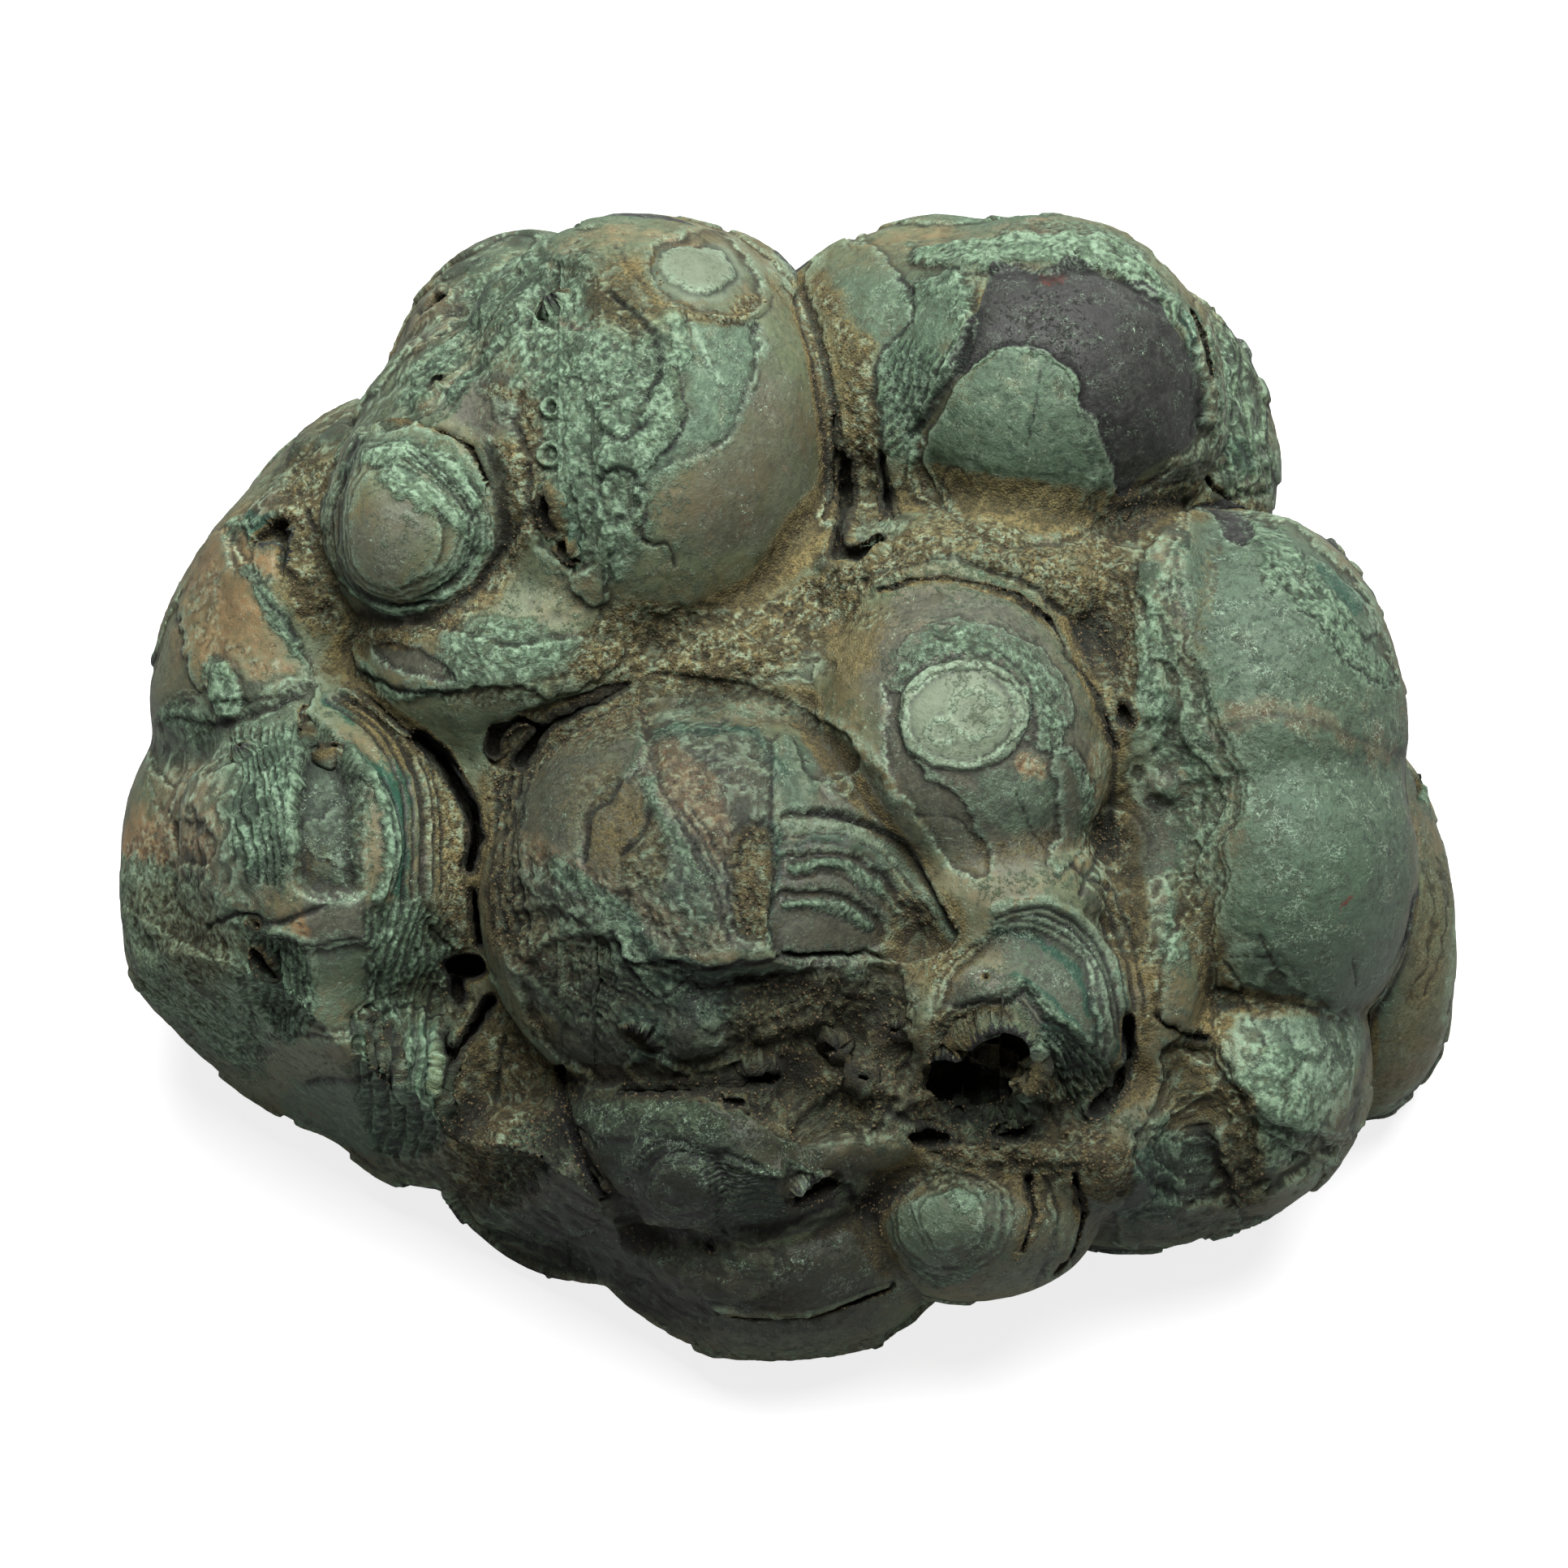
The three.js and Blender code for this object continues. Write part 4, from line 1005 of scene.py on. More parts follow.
RIBS: tuple[Rib, ...] = (
    Rib("crown_mint_lip", path("-24,85 -20.5,84.5 -19.5,81.5 -19.5,76.5 -21,74.5"), 0.8, 0.9),
    Rib("crown_hair", path("-16.5,82 -14.5,77.5 -12.5,73.5 -11,71.5"), 0.3, 0.35),
    Rib("crown_left_ridge", path("-53,61.5 -47,54.5 -46,46 -51.5,38 -59,31"), 0.5, 1.0),
    Rib("crown_notch", path("-11,98.5 -9,96.5"), 0.9, 0.9),
    Rib("crown_grit_strip", path("-3,92.5 2,86.5 5,80.5 7.5,75 8.5,69 10,64.5"), 0.5, 0.9, 0.4),
    Rib("eye_rim", path("-53,53 -51.5,47 -52.5,41.5 -57,35.5 -66,32"), 0.6, 0.8, 0.4),
    Rib("back_mint", path("-95,37.5 -92,33.5 -89.5,29 -87.5,25.5"), 0.7, 0.8, 0.5),
    Rib("window_lip", path("36,91 33,87.5 33.5,82 30.5,75 26.5,68.5 22.5,63 23.5,54.5 27,49.5 37.5,43 "
          "50,42.5 59,48"), 0.7, 0.7, 0.5),
    Rib("crown_disc_rim", path("40.5,78 46,77.5 50,74.5 52.5,71.5 53,67.5 55.5,65 58.5,56 58.5,51.5"),
          0.35, 0.5, 0.3),
    Rib("top_edge", path("25.5,95 34,96 41.5,97 56,96.5 63,94 70,85.5"), 0.7, 0.9, 0.4),
    Rib("top_line", path("31,95 38.5,96.5 47,97.5"), 0.4, 0.5, 0.3),
    Rib("heart_ribs", path("16,38 25.5,42.5 37,42.5 47,37.5 54,32"), 0.7, 1.2, 0.6, 2, (0.6, -2.4)),
    Rib("heart_disc_lip", path("21.5,12 22.5,16 25.5,19 30,21 35,20.5 39,18.5 41.5,15 42,11 40,7 36.5,4 "
          "31,3 26,5 22.5,7.5 21.5,12"), 0.15, 0.4, 0.2),
    Rib("ribbon", path("56,6 55.5,-2 53,-13"), 0.5, 1.7, 0.4),
    Rib("brow_ridge", path("-9.5,14 -2,14 5,12 11,9 16.5,3.5 20,-2.5"), 1.3, 1.6, 0.4),
    Rib("brow_streak", path("-24.5,12 -16.5,14"), 0.5, 0.5),
    Rib("brow_crest_a", path("0.5,-7 5,-7 12.5,-8 17,-11 20.5,-15 26.5,-22 29,-26.5"), 0.9, 1.9, 0.4),
    Rib("brow_crest_b", path("1.5,-14.5 6.5,-14 12.5,-14 18.5,-18.5 22.5,-25.5"), 0.7, 0.8, 0.4),
    Rib("brow_crest_c", path("2,-21.5 6.5,-21 12.5,-22 17.5,-26"), 0.6, 0.7, 0.4),
    Rib("brow_ledge", path("-22,-50 -16.5,-52 -6.5,-50"), 0.9, 0.9, 0.4),
    Rib("brow_v_rib", path("-29,-29 -24.5,-37.5 -22,-40"), 0.7, 0.8, 0.4),
    Rib("knob_top", path("37.5,-22.5 46,-21 53,-24 56,-27 59,-32.5 61,-39.5"), 0.9, 0.9, 0.3),
    Rib("knob_crest", path("42.5,-34.5 48.5,-41 56,-47"), 0.8, 0.8, 0.3),
    Rib("knob_crest_low", path("43,-48 50,-49 52,-55"), 0.7, 0.7, 0.4),
    Rib("chin_crest", path("-9.5,-68 -1,-71 1.5,-69 7,-71 12.5,-72.5"), 0.7, 0.7, 0.3),
    Rib("chin_rim", path("-9.5,-80.5 -0.5,-82.5 11,-75 14.5,-71.5"), 0.7, 0.8, 0.3),
    Rib("toe_streak", path("-47,-64.5 -50.5,-70.5 -53,-75"), 0.4, 0.8, 0.5),
    Rib("heel_ridge", path("77,-63 79,-70.5 82,-75"), 1.1, 0.9, 0.4),
    Rib("valley_ribs", path("61,38.5 63,30 64,21 63,12.5"), 0.7, 1.0, 0.8, 2, (3.4, -0.6)),
    Rib("left_wall", path("-77.5,5 -74,0.5 -71,-5 -69.5,-11 -70.5,-16.5 -72.5,-20.5"), 1.8, 1.2, 0.3),
    Rib("left_mint_lip", path("-86,11.5 -87,6.5 -89,-3 -88.5,-12.5"), 0.8, 0.8, 0.5),
    Rib("left_low_lip", path("-93,-27 -89.5,-26.5 -85.5,-29 -84.5,-34"), 0.7, 0.8, 0.4),
    Rib("far_mint", path("114.5,-3 116,-5"), 1.0, 1.0, 0.2),
)

SWELLS: tuple[Swell, ...] = (
    Swell("eye_knob", (-75.3, 61.9), (1.6, 1.4), 1.2),
    Swell("cheek_hump", (-53, 53), (5.0, 9.0), 1.2, -10),
    Swell("brow_hollow", (-5.8, -38.2), (15.0, 4.5), -2.6),
    Swell("brow_bulge_up", (-9.4, -41.7), (5.2, 2.2), 2.4),
    Swell("brow_bulge_low", (-15.5, -46.3), (7.0, 3.2), 2.0),
    Swell("brow_crater", (6.5, -48.7), (10.0, 8.5), -1.4),
    Swell("brow_shoulder", (-38.5, -6.5), (6.0, 12.0), 1.0, -8),
    Swell("knob_mauve", (35, -35.9), (6.2, 3.2), 1.6, -4),
    Swell("knob_flat", (48.7, -37.8), (6.0, 7.5), -1.4, 20),
    Swell("chin_flat", (3.6, -66.1), (9.0, 5.0), -2.2),
    Swell("heel_facets", (58.8, -69.3), (6.0, 5.0), 1.6),
    Swell("heel_facets_left", (51.3, -66.8), (5.0, 4.0), 1.5),
    Swell("cheek_fill", (95.2, 9.2), (13.0, 3.6), 1.1, -8),
    Swell("valley_bead", (68.3, -0.6), (2.3, 2.2), 2.0),
    Swell("window_floor", (-81.4, -6.5), (5.5, 9.0), -1.6),
    Swell("left_low_disc", (-79.5, -35.9), (6.0, 7.0), 1.4),
    Swell("left_low_edge", (-108.2, -26.9), (7.0, 8.0), -1.4, 20),
    Swell("left_top_dip", (-96.6, 0.7), (5.0, 8.0), -1.6),
    Swell("left_back_dip", (-101.7, 26.9), (6.0, 9.0), -1.2),
    Swell("crown_dip", (-35.6, 79.2), (9.0, 12.0), -0.9),
    Swell("crown_tip_dip", (-45.8, 92.3), (7.0, 5.0), -1.1),
    Swell("chin_cup", (6.5, -72.2), (6.5, 2.4), -1.6, 6),
    Swell("toe_left_dip", (-38.5, -84.3), (12.0, 5.0), -1.0),
)

BLADES: tuple[Blades, ...] = (
    Blades("cheek_streaks", path("-69.5,69 -64.5,77.5 -56.5,89.5 -47,95.5 -40,92.5 -44.5,83 -53,75 "
          "-59,64.5 -66,64"), 49.0, 2.3, 0.7, 1.8, 0.6),
    Blades("crown_streaks", path("-40,93.5 -30,89 -24,82 -24,67.5 -28.5,62.5 -35.5,72 -44.5,72 "
          "-47,82"), 62.0, 2.0, 0.25, 2.0, 0.4),
    Blades("left_streaks", path("-100,8.5 -92.5,11 -86,11.5 -86.5,6.5 -88.5,-3 -88.5,-17.5 -95,-18 "
          "-99,-12.5 -98.5,-0.5"), 97.0, 1.5, 0.7, 1.6, 0.7),
    Blades("low_streaks", path("-75,-22.5 -61.5,-22.5 -56.5,-30 -59,-40 -64.5,-43 -72,-41.5 -74,-31"),
          82.0, 1.5, 0.6, 1.6, 0.8),
    Blades("foot_slabs", path("-76.5,-41.5 -59,-41.5 -59,-60.5 -64.5,-67.5 -72,-66.5 -76.5,-56"), 86.0,
          2.8, 1.5, 0.8),
    Blades("brow_left_layers", path("-54,-5 -49.5,1 -43.5,4.5 -45,-5 -46.5,-16.5 -45,-29 -50,-31.5 "
          "-53,-25.5"), 86.0, 1.5, 0.5, 1.2, 0.4),
    Blades("brow_grain", path("-40,-19.5 -30,-14 -19.5,-11 -11,-22.5 -9.5,-31 -21,-31 -31,-27"), 118.0,
          1.9, 0.3, 1.6, 0.45),
    Blades("brow_fracture_grain", path("-46,-34 -30,-30 -15.5,-34 -9.5,-47 -15.5,-53 -30,-51.5 "
          "-41.5,-46"), 150.0, 1.7, 0.35, 2.0, 0.5),
    Blades("knob_fins", path("48,-46.5 55,-47 59.5,-51.5 59,-59 51.5,-59 48.5,-53"), 125.0, 1.5, 1.1,
          0.5),
    Blades("knob_hair", path("28.5,-53 34,-50 41.5,-56 47,-61.5 38.5,-63 30,-61.5"), 20.0, 1.2, 0.6, 1.0),
    Blades("chin_waves", path("-13.5,-68 -5,-69 -0.5,-72 1.5,-77.5 -5,-80.5 -13.5,-79"), 12.0, 1.15,
          0.4, 1.7),
    Blades("toe_fan", path("-53,-73.5 -51.5,-63 -46,-59 -38.5,-60.5 -37.5,-67.5 -44.5,-73.5 "
          "-50,-76.5"), 128.0, 1.6, 0.5, 1.0),
    Blades("low_scar_layers", path("-94,-29 -85.5,-29 -84.5,-43 -90,-46.5 -94.5,-40"), 100.0, 1.2, 0.8,
          1.0),
    Blades("right_back_layers", path("77.5,82 83,77.5 86.5,64.5 87.5,53 82,50 77.5,54.5 79.5,67.5"),
          102.0, 1.4, 0.7, 0.9),
    Blades("saddle_streaks", path("18,77.5 31,76.5 25.5,67.5 22.5,59 17.5,59"), 60.0, 1.6, 0.35, 1.2),
)

CRUMBLES: tuple[Crumble, ...] = (
    Crumble("crown_rough", path("-59,91.5 -47,96.5 -38.5,94 -30.5,89.5 -24,82 -23,67.5 -27.5,61.5 "
          "-25.5,53 -31,38 -40,38 -46.5,47 -48.5,59 -53,67.5 -59,77.5"), 0.8, 7.0, 0.4),
    Crumble("cheek_rough", path("-72,76.5 -64.5,89.5 -53,96.5 -44.5,95 -53,82 -61.5,67.5 -72,63 -82,59 "
          "-92.5,47 -98,47 -89.5,59"), 1.2, 8.0, 0.5),
    Crumble("back_slope", path("-90,53 -80.5,59 -80.5,47 -80,30 -85,30 -89.5,38.5"), 1.4, 3.5, 0.5),
    Crumble("left_face", path("-111,15.5 -92.5,19.5 -83.5,16.5 -86,11 -89.5,-18 -96.5,-22.5 -105.5,-24 "
          "-112.5,-14 -114,0.5"), 0.7, 7.0, 0.35),
    Crumble("left_low_rough", path("-117,-27 -104,-26 -93.5,-24 -90,-47 -98,-48 -111,-39"), 0.9, 7.0,
          0.4),
    Crumble("foot_rough", path("-76.5,-40 -53,-38.5 -47,-47 -38.5,-63 -47,-75 -59,-75 -72,-66"), 1.4,
          5.0, 0.6),
    Crumble("saddle_rough", path("11,61.5 18,53 24,40 6.5,32.5 5,38.5 11,47"), 1.8, 4.0, 0.5),
    Crumble("brow_rough", path("-25.5,11 -15.5,12.5 -3.5,8.5 -0.5,-5 -3,-27 -12.5,-30.5 -24,-27 "
          "-30,-16.5 -25.5,-5"), 0.9, 4.0, 0.35),
    Crumble("brow_side_rough", path("-48.5,-14 -35.5,-15.5 -24,-22.5 -15.5,-31 -24,-34 -35.5,-38.5 "
          "-46,-34 -50,-24"), 1.2, 3.6, 0.4),
    Crumble("fracture_rough", path("-8.5,-37 21,-33.5 23,-53 19,-63.5 0,-64 -9.5,-54"), 2.2, 4.0, 0.5),
    Crumble("fracture_left", path("-47,-32.5 -30,-28.5 -21,-32.5 -9.5,-34 -9.5,-53 -27,-54.5 "
          "-40,-48.5"), 1.4, 6.0, 0.5),
    Crumble("knob_rough", path("27,-50 41.5,-54.5 56,-56 56.5,-69 40,-69.5 23,-65 21,-59"), 2.2, 3.5,
          0.5),
    Crumble("heel_rough", path("69,-47 77.5,-48.5 88,-61 98,-63 92.5,-71 77.5,-75.5 61.5,-77.5 60.5,-66 "
          "67.5,-56"), 1.6, 6.0, 0.6),
    Crumble("right_back_rough", path("77,83.5 88,64.5 88.5,46 77.5,48.5 75,56"), 1.2, 5.0, 0.5),
    Crumble("grit_band", path("-25.5,30.5 5,32 6.5,19.5 -9.5,16.5 -24,18"), 0.9, 3.0, 0.4),
    Crumble("toe_rough", path("-59,-76.5 -47,-60.5 -35.5,-61.5 -24,-77.5 -0.5,-83.5 -3.5,-98 -30,-92.5 "
          "-50,-86.5"), 1.0, 7.0, 0.5),
    Crumble("cheek_low_rough", path("77.5,-27 92.5,-34 101,-48.5 98,-63 86.5,-60.5 77.5,-47"), 0.7,
          8.0, 0.4),
    Crumble("valley_rough", path("56,47 69,47 71,27 77.5,9.5 82,0.5 77.5,-16.5 69,-31 60.5,-31 53,-16.5 "
          "61.5,3.5"), 1.1, 6.0, 0.5),
)

RINGS: tuple[Ring, ...] = (
    Ring("crown_eyelet", (-43.1, 68), 2.2, 0.8),
    Ring("crown_eyelet_low", (-43.1, 59.1), 2.6, 0.9),
    Ring("crown_eyelet_far", (-32.4, 69.4), 1.3, 0.5),
    Ring("crown_eyelet_far_right", (-30.2, 69.6), 1.2, 0.4),
    Ring("crown_eyelet_small", (-26, 69.2), 1, 0.4),
    Ring("crown_top_eyelet", (-42, 87), 3.2, 0.6),
    Ring("heart_ring", (34.1, 12.3), 5.5, 0.16),
    Ring("heart_ring_left", (28.3, 9.3), 2.9, 0.16),
    Ring("brow_ring", (9.7, -0.4), 2.9, 0.4),
    Ring("cheek_ring", (87.6, 35), 2, 0.3),
)


@dataclass
class Traces:
    """What the relief leaves at each point for the finish to follow."""

    ledge: Array
    seam: Array
    band: Array
    banded: Array
    broken: Array


def rounded(line: Outline, closed: bool, parts: int = 4) -> Array:
    """A smooth curve through a line's points.

    Args:
        line: The points.
        closed: Whether the curve goes back to its start.
        parts: Straight pieces between two of the points.

    Returns:
        The curve's points.
    """
    knots = np.array(line, float)
    if len(knots) < 3:
        return knots
    ends = (knots[-1:], knots[:2]) if closed else (knots[:1], knots[-1:])
    padded = np.concatenate([ends[0], knots, ends[1]])
    runs = np.linalg.norm(np.diff(padded, axis=0), axis=1)
    across = padded[2:] - padded[:-2]
    across /= np.linalg.norm(across, axis=1)[:, None] + 1e-9
    slopes = across * np.minimum(runs[1:], runs[:-1])[:, None]
    start, end, leave, arrive = padded[1:-2], padded[2:-1], slopes[:-1], slopes[1:]
    curve = []
    for step in range(parts):
        t = step / parts
        place = (2 * t**3 - 3 * t**2 + 1) * start + (t**3 - 2 * t**2 + t) * leave
        curve.append(place + (3 * t**2 - 2 * t**3) * end + (t**3 - t**2) * arrive)
    points = np.stack(curve, axis=1).reshape(-1, 2)
    return np.concatenate([points, knots[:1] if closed else knots[-1:]])


def curve_distance(uv: Array, knots: Array) -> Array:
    """Distance to a curve, or to a single place.

    Args:
        uv: Places, one row each.
        knots: The curve's points.

    Returns:
        The distance from each place.
    """
    if len(knots) == 1:
        return np.hypot(*(uv - knots[0]).T)
    u, v = np.ascontiguousarray(uv.T)
    best = np.full(len(uv), np.inf)
    for (u0, v0), (u1, v1) in zip(knots[:-1], knots[1:]):
        du, dv = u1 - u0, v1 - v0
        along = np.clip(((u - u0) * du + (v - v0) * dv) / max(du * du + dv * dv, 1e-9), 0.0, 1.0)
        best = np.minimum(best, (u - u0 - along * du) ** 2 + (v - v0 - along * dv) ** 2)
    return np.sqrt(best)


def line_distance(uv: Array, line: Outline) -> Array:
    """Distance to an open line."""
    return curve_distance(uv, rounded(line, False))


def outline_distance(uv: Array, outline: Outline) -> Array:
    """Signed distance to a closed outline, positive inside it.

    Args:
        uv: Places, one row each.
        outline: The outline's points.

    Returns:
        The signed distance from each place.
    """
    knots = rounded(outline, True)
    inside = np.zeros(len(uv), bool)
    for (u0, v0), (u1, v1) in zip(knots[:-1], knots[1:]):
        spans = (v0 > uv[:, 1]) != (v1 > uv[:, 1])
        if v1 != v0:
            inside ^= spans & (uv[:, 0] < (u1 - u0) * (uv[:, 1] - v0) / (v1 - v0) + u0)
    distance = curve_distance(uv, knots)
    return np.where(inside, distance, -distance)


@dataclass
class Sight:
    """Points of the skin as the face shows them, with the wander that roughens outlines."""

    world: Array
    uv: Array
    facing: Array
    wander: Array
    broad: Array
    columns: Array = field(init=False)
    shown: Array = field(init=False)

    def __post_init__(self) -> None:
        """Keeps what is looked up most often close at hand."""
        self.columns = np.ascontiguousarray(self.uv.T)
        self.shown = self.facing > 0.0

    @classmethod
    def of(cls, world: Array, normals: Array) -> "Sight":
        """Looks at standing points.

        Args:
            world: Standing points.
            normals: The skin's outward directions there.

        Returns:
            The sight of those points.
        """
        to_eye = FACE.eye() - world
        to_eye /= np.linalg.norm(to_eye, axis=1)[:, None]
        facing = ramp((normals * to_eye).sum(1), 0.02, 0.3)
        uv = FACE.seen(FACE.to_face(world))
        broad = np.stack([Noise(seed, 7.0).at(world) for seed in (11, 12)], axis=1)
        fine = np.stack([Noise(seed, 2.2, 2).at(world) for seed in (13, 14)], axis=1)
        return cls(world, uv, facing, 0.55 * broad + 0.45 * fine, broad)

    def near(self, points: Outline, reach: float) -> Array:
        """Which points lie within `reach` of the box round an outline."""
        knots = np.array(points)
        low, high = knots.min(0) - reach, knots.max(0) + reach
        u, v = self.columns
        hit = self.shown & (u >= low[0]) & (u <= high[0]) & (v >= low[1]) & (v <= high[1])
        return np.flatnonzero(hit)

    def roughened(self, index: Array, ragged: float) -> Array:
        """Where some of the points are seen, moved about by the wander."""
        return self.uv[index] + ragged * self.wander[index]


@dataclass
class Relief:
    """Raises and lowers the skin by its growth layers, cracks and broken patches."""

    sight: Sight
    crusty: Array
    dusty: Array
    hollow: Array
    open: Array = field(init=False)
    height: Array = field(init=False)
    traces: Traces = field(init=False)

    def __post_init__(self) -> None:
        """Starts from a bare skin."""
        count = len(self.sight.uv)
        self.height = np.zeros(count)
        self.open = self.sight.facing * (1.0 - 0.85 * ramp(self.hollow, 0.85, 1.15))
        far = np.full(count, 9.0)
        self.traces = Traces(far.copy(), far.copy(), *(np.zeros(count) for _ in range(3)))

    def _raise(self, index: Array, height: Array) -> None:
        """Adds a height to some of the points, as far as they show."""
        self.height[index] += height * self.open[index]

    def _mark_ledge(self, index: Array, signed: Array) -> None:
        """Notes how near a layer's edge is, positive on the layer that stands proud."""
        there = self.traces.ledge[index]
        self.traces.ledge[index] = np.where(np.abs(signed) < np.abs(there), signed, there)

    def lay_sheet(self, sheet: Sheet) -> None:
        """Lays or peels a growth layer, in steps that follow its outline."""
        index = self.sight.near(sheet.outline, 4.0)
        uv = self.sight.roughened(index, sheet.ragged)
        inner = outline_distance(uv, sheet.outline)
        for step in range(sheet.steps):
            signed = inner - step * sheet.inset * (1.0 + 0.35 * self.sight.broad[index, 0])
            rise = sheet.rise / sheet.steps
            self._raise(index, rise * ramp(signed, -sheet.soft, sheet.soft))
            self._mark_ledge(index, signed * math.copysign(1.0, sheet.rise))

    def cut_seam(self, seam: Seam) -> None:
        """Cuts a groove."""
        for copy in range(seam.copies):
            line = self._shifted(seam.line, seam.shift, copy)
            index = self.sight.near(line, 3.0)
            away = line_distance(self.sight.roughened(index, seam.ragged), line)
            depth = seam.deep * (0.75 + 0.45 * self.sight.wander[index, 1])
            self._raise(index, -depth * np.exp(-((away / seam.wide) ** 2)))
            scaled = away * 0.45 / seam.wide + 0.5 * (0.9 - min(seam.deep, 0.9))
            self.traces.seam[index] = np.minimum(self.traces.seam[index], scaled)

    def raise_rib(self, rib: Rib) -> None:
        """Raises a rib, and marks its crest as a layer's edge."""
        for copy in range(rib.copies):
            line = self._shifted(rib.line, rib.shift, copy)
            index = self.sight.near(line, 3.0 + rib.wide)
            away = line_distance(self.sight.roughened(index, rib.ragged), line)
            high = rib.high * (0.8 + 0.4 * self.sight.wander[index, 0])
            self._raise(index, high * np.exp(-((away / rib.wide) ** 2)))
            self._mark_ledge(index, np.maximum(away - 0.5 * rib.wide, 0.1) + 0.2)

    def _shifted(self, line: Outline, shift: Point, copy: int) -> Outline:
        """A line moved by some number of shifts."""
        return tuple((u + copy * shift[0], v + copy * shift[1]) for u, v in line)

    def raise_swell(self, swell: Swell) -> None:
        """Raises a rounded bulge or sinks a hollow."""
        index = self.sight.near((swell.at,), 2.6 * max(swell.across))
        t = math.radians(swell.roll)
        d = self.sight.uv[index] - np.array(swell.at)
        across = (d[:, 0] * math.cos(t) + d[:, 1] * math.sin(t)) / swell.across[0]
        along = (d[:, 1] * math.cos(t) - d[:, 0] * math.sin(t)) / swell.across[1]
        self._raise(index, swell.high * np.exp(-(across**2 + along**2)))

    def cut_blades(self, blades: Blades) -> None:
        """Cuts thin layers that are seen on edge."""
        index = self.sight.near(blades.outline, 3.0)
        inner = outline_distance(self.sight.roughened(index, 1.0), blades.outline)
        mask = ramp(inner, -0.6, 1.2)
        t = math.radians(blades.angle)
        uv = self.sight.uv[index] + blades.ragged * self.sight.broad[index]
        across = uv[:, 1] * math.cos(t) - uv[:, 0] * math.sin(t)
        across += 0.35 * blades.ragged * self.sight.wander[index, 0]
        band = across / blades.pitch
        saw = band - np.floor(band)
        self._raise(index, -blades.high * mask * (1.0 - ramp(saw, 0.0, 0.75) + ramp(saw, 0.85, 1.0)))
        self._mark_band(index, band, blades.tint * mask)

    def _mark_band(self, index: Array, band: Array, mask: Array) -> None:
        """Notes the layers that show on edge."""
        stronger = mask > self.traces.banded[index]
        self.traces.band[index] = np.where(stronger, band, self.traces.band[index])
        self.traces.banded[index] = np.maximum(self.traces.banded[index], mask)

    def break_patch(self, patch: Crumble, number: int) -> None:
        """Breaks a patch away in ragged terraces."""
        index = self.sight.near(patch.outline, 4.0)
        inner = outline_distance(self.sight.roughened(index, 1.5), patch.outline)
        mask = ramp(inner, -1.5, 2.5)
        lie = 0.5 + 0.5 * Noise(100 + number, patch.grain, 3).at(self.sight.world[index])
        sunk = np.clip(lie, 0.0, 1.4) * patch.deep * mask
        level = sunk / patch.step
        whole = np.floor(level)
        terrace = patch.step * (whole + ramp(level - whole, 0.0, 0.45))
        self._raise(index, -terrace)
        edge = (level - whole) * 1.6
        self._mark_ledge(index, np.where(mask > 0.3, np.where(edge > 0.9, 1.7 - edge, -edge), 9.0))
        self.traces.broken[index] = np.maximum(self.traces.broken[index], mask)

    def cut_ring(self, ring: Ring) -> None:
        """Cuts a small ring with a raised rim and a dimple."""
        index = self.sight.near((ring.at,), 2.0 * ring.radius)
        away = np.hypot(*(self.sight.roughened(index, 0.15) - np.array(ring.at)).T)
        q = away / ring.radius
        rim = np.exp(-(((q - 0.75) / 0.22) ** 2))
        moat = np.exp(-(((q - 0.38) / 0.2) ** 2)) + 0.6 * np.exp(-(((q - 1.1) / 0.15) ** 2))
        self._raise(index, ring.high * (rim - 0.9 * moat))
        self._mark_ledge(index, ring.radius * np.abs(q - 0.75) + 0.1)

    def flake(self, number: int, pitch: float, levels: float, step: float, weight: Array) -> None:
        """Lays thin flakes of crust over each other, edge upon edge.

        Args:
            number: Seed of their pattern.
            pitch: Size of the widest flakes.
            levels: How many flakes lie one over another.
            step: Thickness of one flake.
            weight: How strongly they show at each point.
        """
        level = Noise(number, pitch, 4).at(self.sight.world + 0.8 * self.sight.wander[:, :1]) * levels
        whole = np.floor(level)
        part = level - whole
        self.height += weight * step * (whole + ramp(part, 0.0, 0.2))
        reach = 0.22 * pitch / levels
        signed = np.where(part < 0.6, part + 0.02, part - 1.0) * reach * 2.0
        every = np.arange(len(level))
        self._mark_ledge(every, np.where(weight > 0.45, signed, 9.0))

    def wear(self) -> None:
        """Adds the unevenness that the whole skin has, and layer edges on its hidden sides."""
        world = self.sight.world
        self.height += 0.55 * Noise(21, 24.0, 2).at(world)
        self.height += (0.05 + 0.07 * self.crusty) * Noise(22, 2.6, 2).at(world)
        self.height += 0.2 * np.clip(self.dusty, 0.0, 1.0) * Noise(23, 1.7, 2).at(world)
        self.flake(41, 14.0, 2.6, 0.22, np.clip(1.2 * self.crusty, 0.0, 1.0))
        self.flake(42, 7.0, 2.0, 0.14, np.clip(1.2 * self.crusty - 0.1, 0.0, 1.0))
        for seed, pitch, rise in ((31, 34.0, 0.8), (32, 26.0, 0.7), (33, 40.0, 0.9)):
            lie = Noise(seed, pitch, 4).at(world)
            signed = (lie - 0.22) * pitch * 0.45
            weight = 1.0 - 0.85 * self.sight.facing
            self.height += weight * rise * ramp(signed, -0.4, 0.4)
            near = np.where(weight > 0.5, signed, 9.0)
            self.traces.ledge = np.where(
                np.abs(near) < np.abs(self.traces.ledge), near, self.traces.ledge
            )

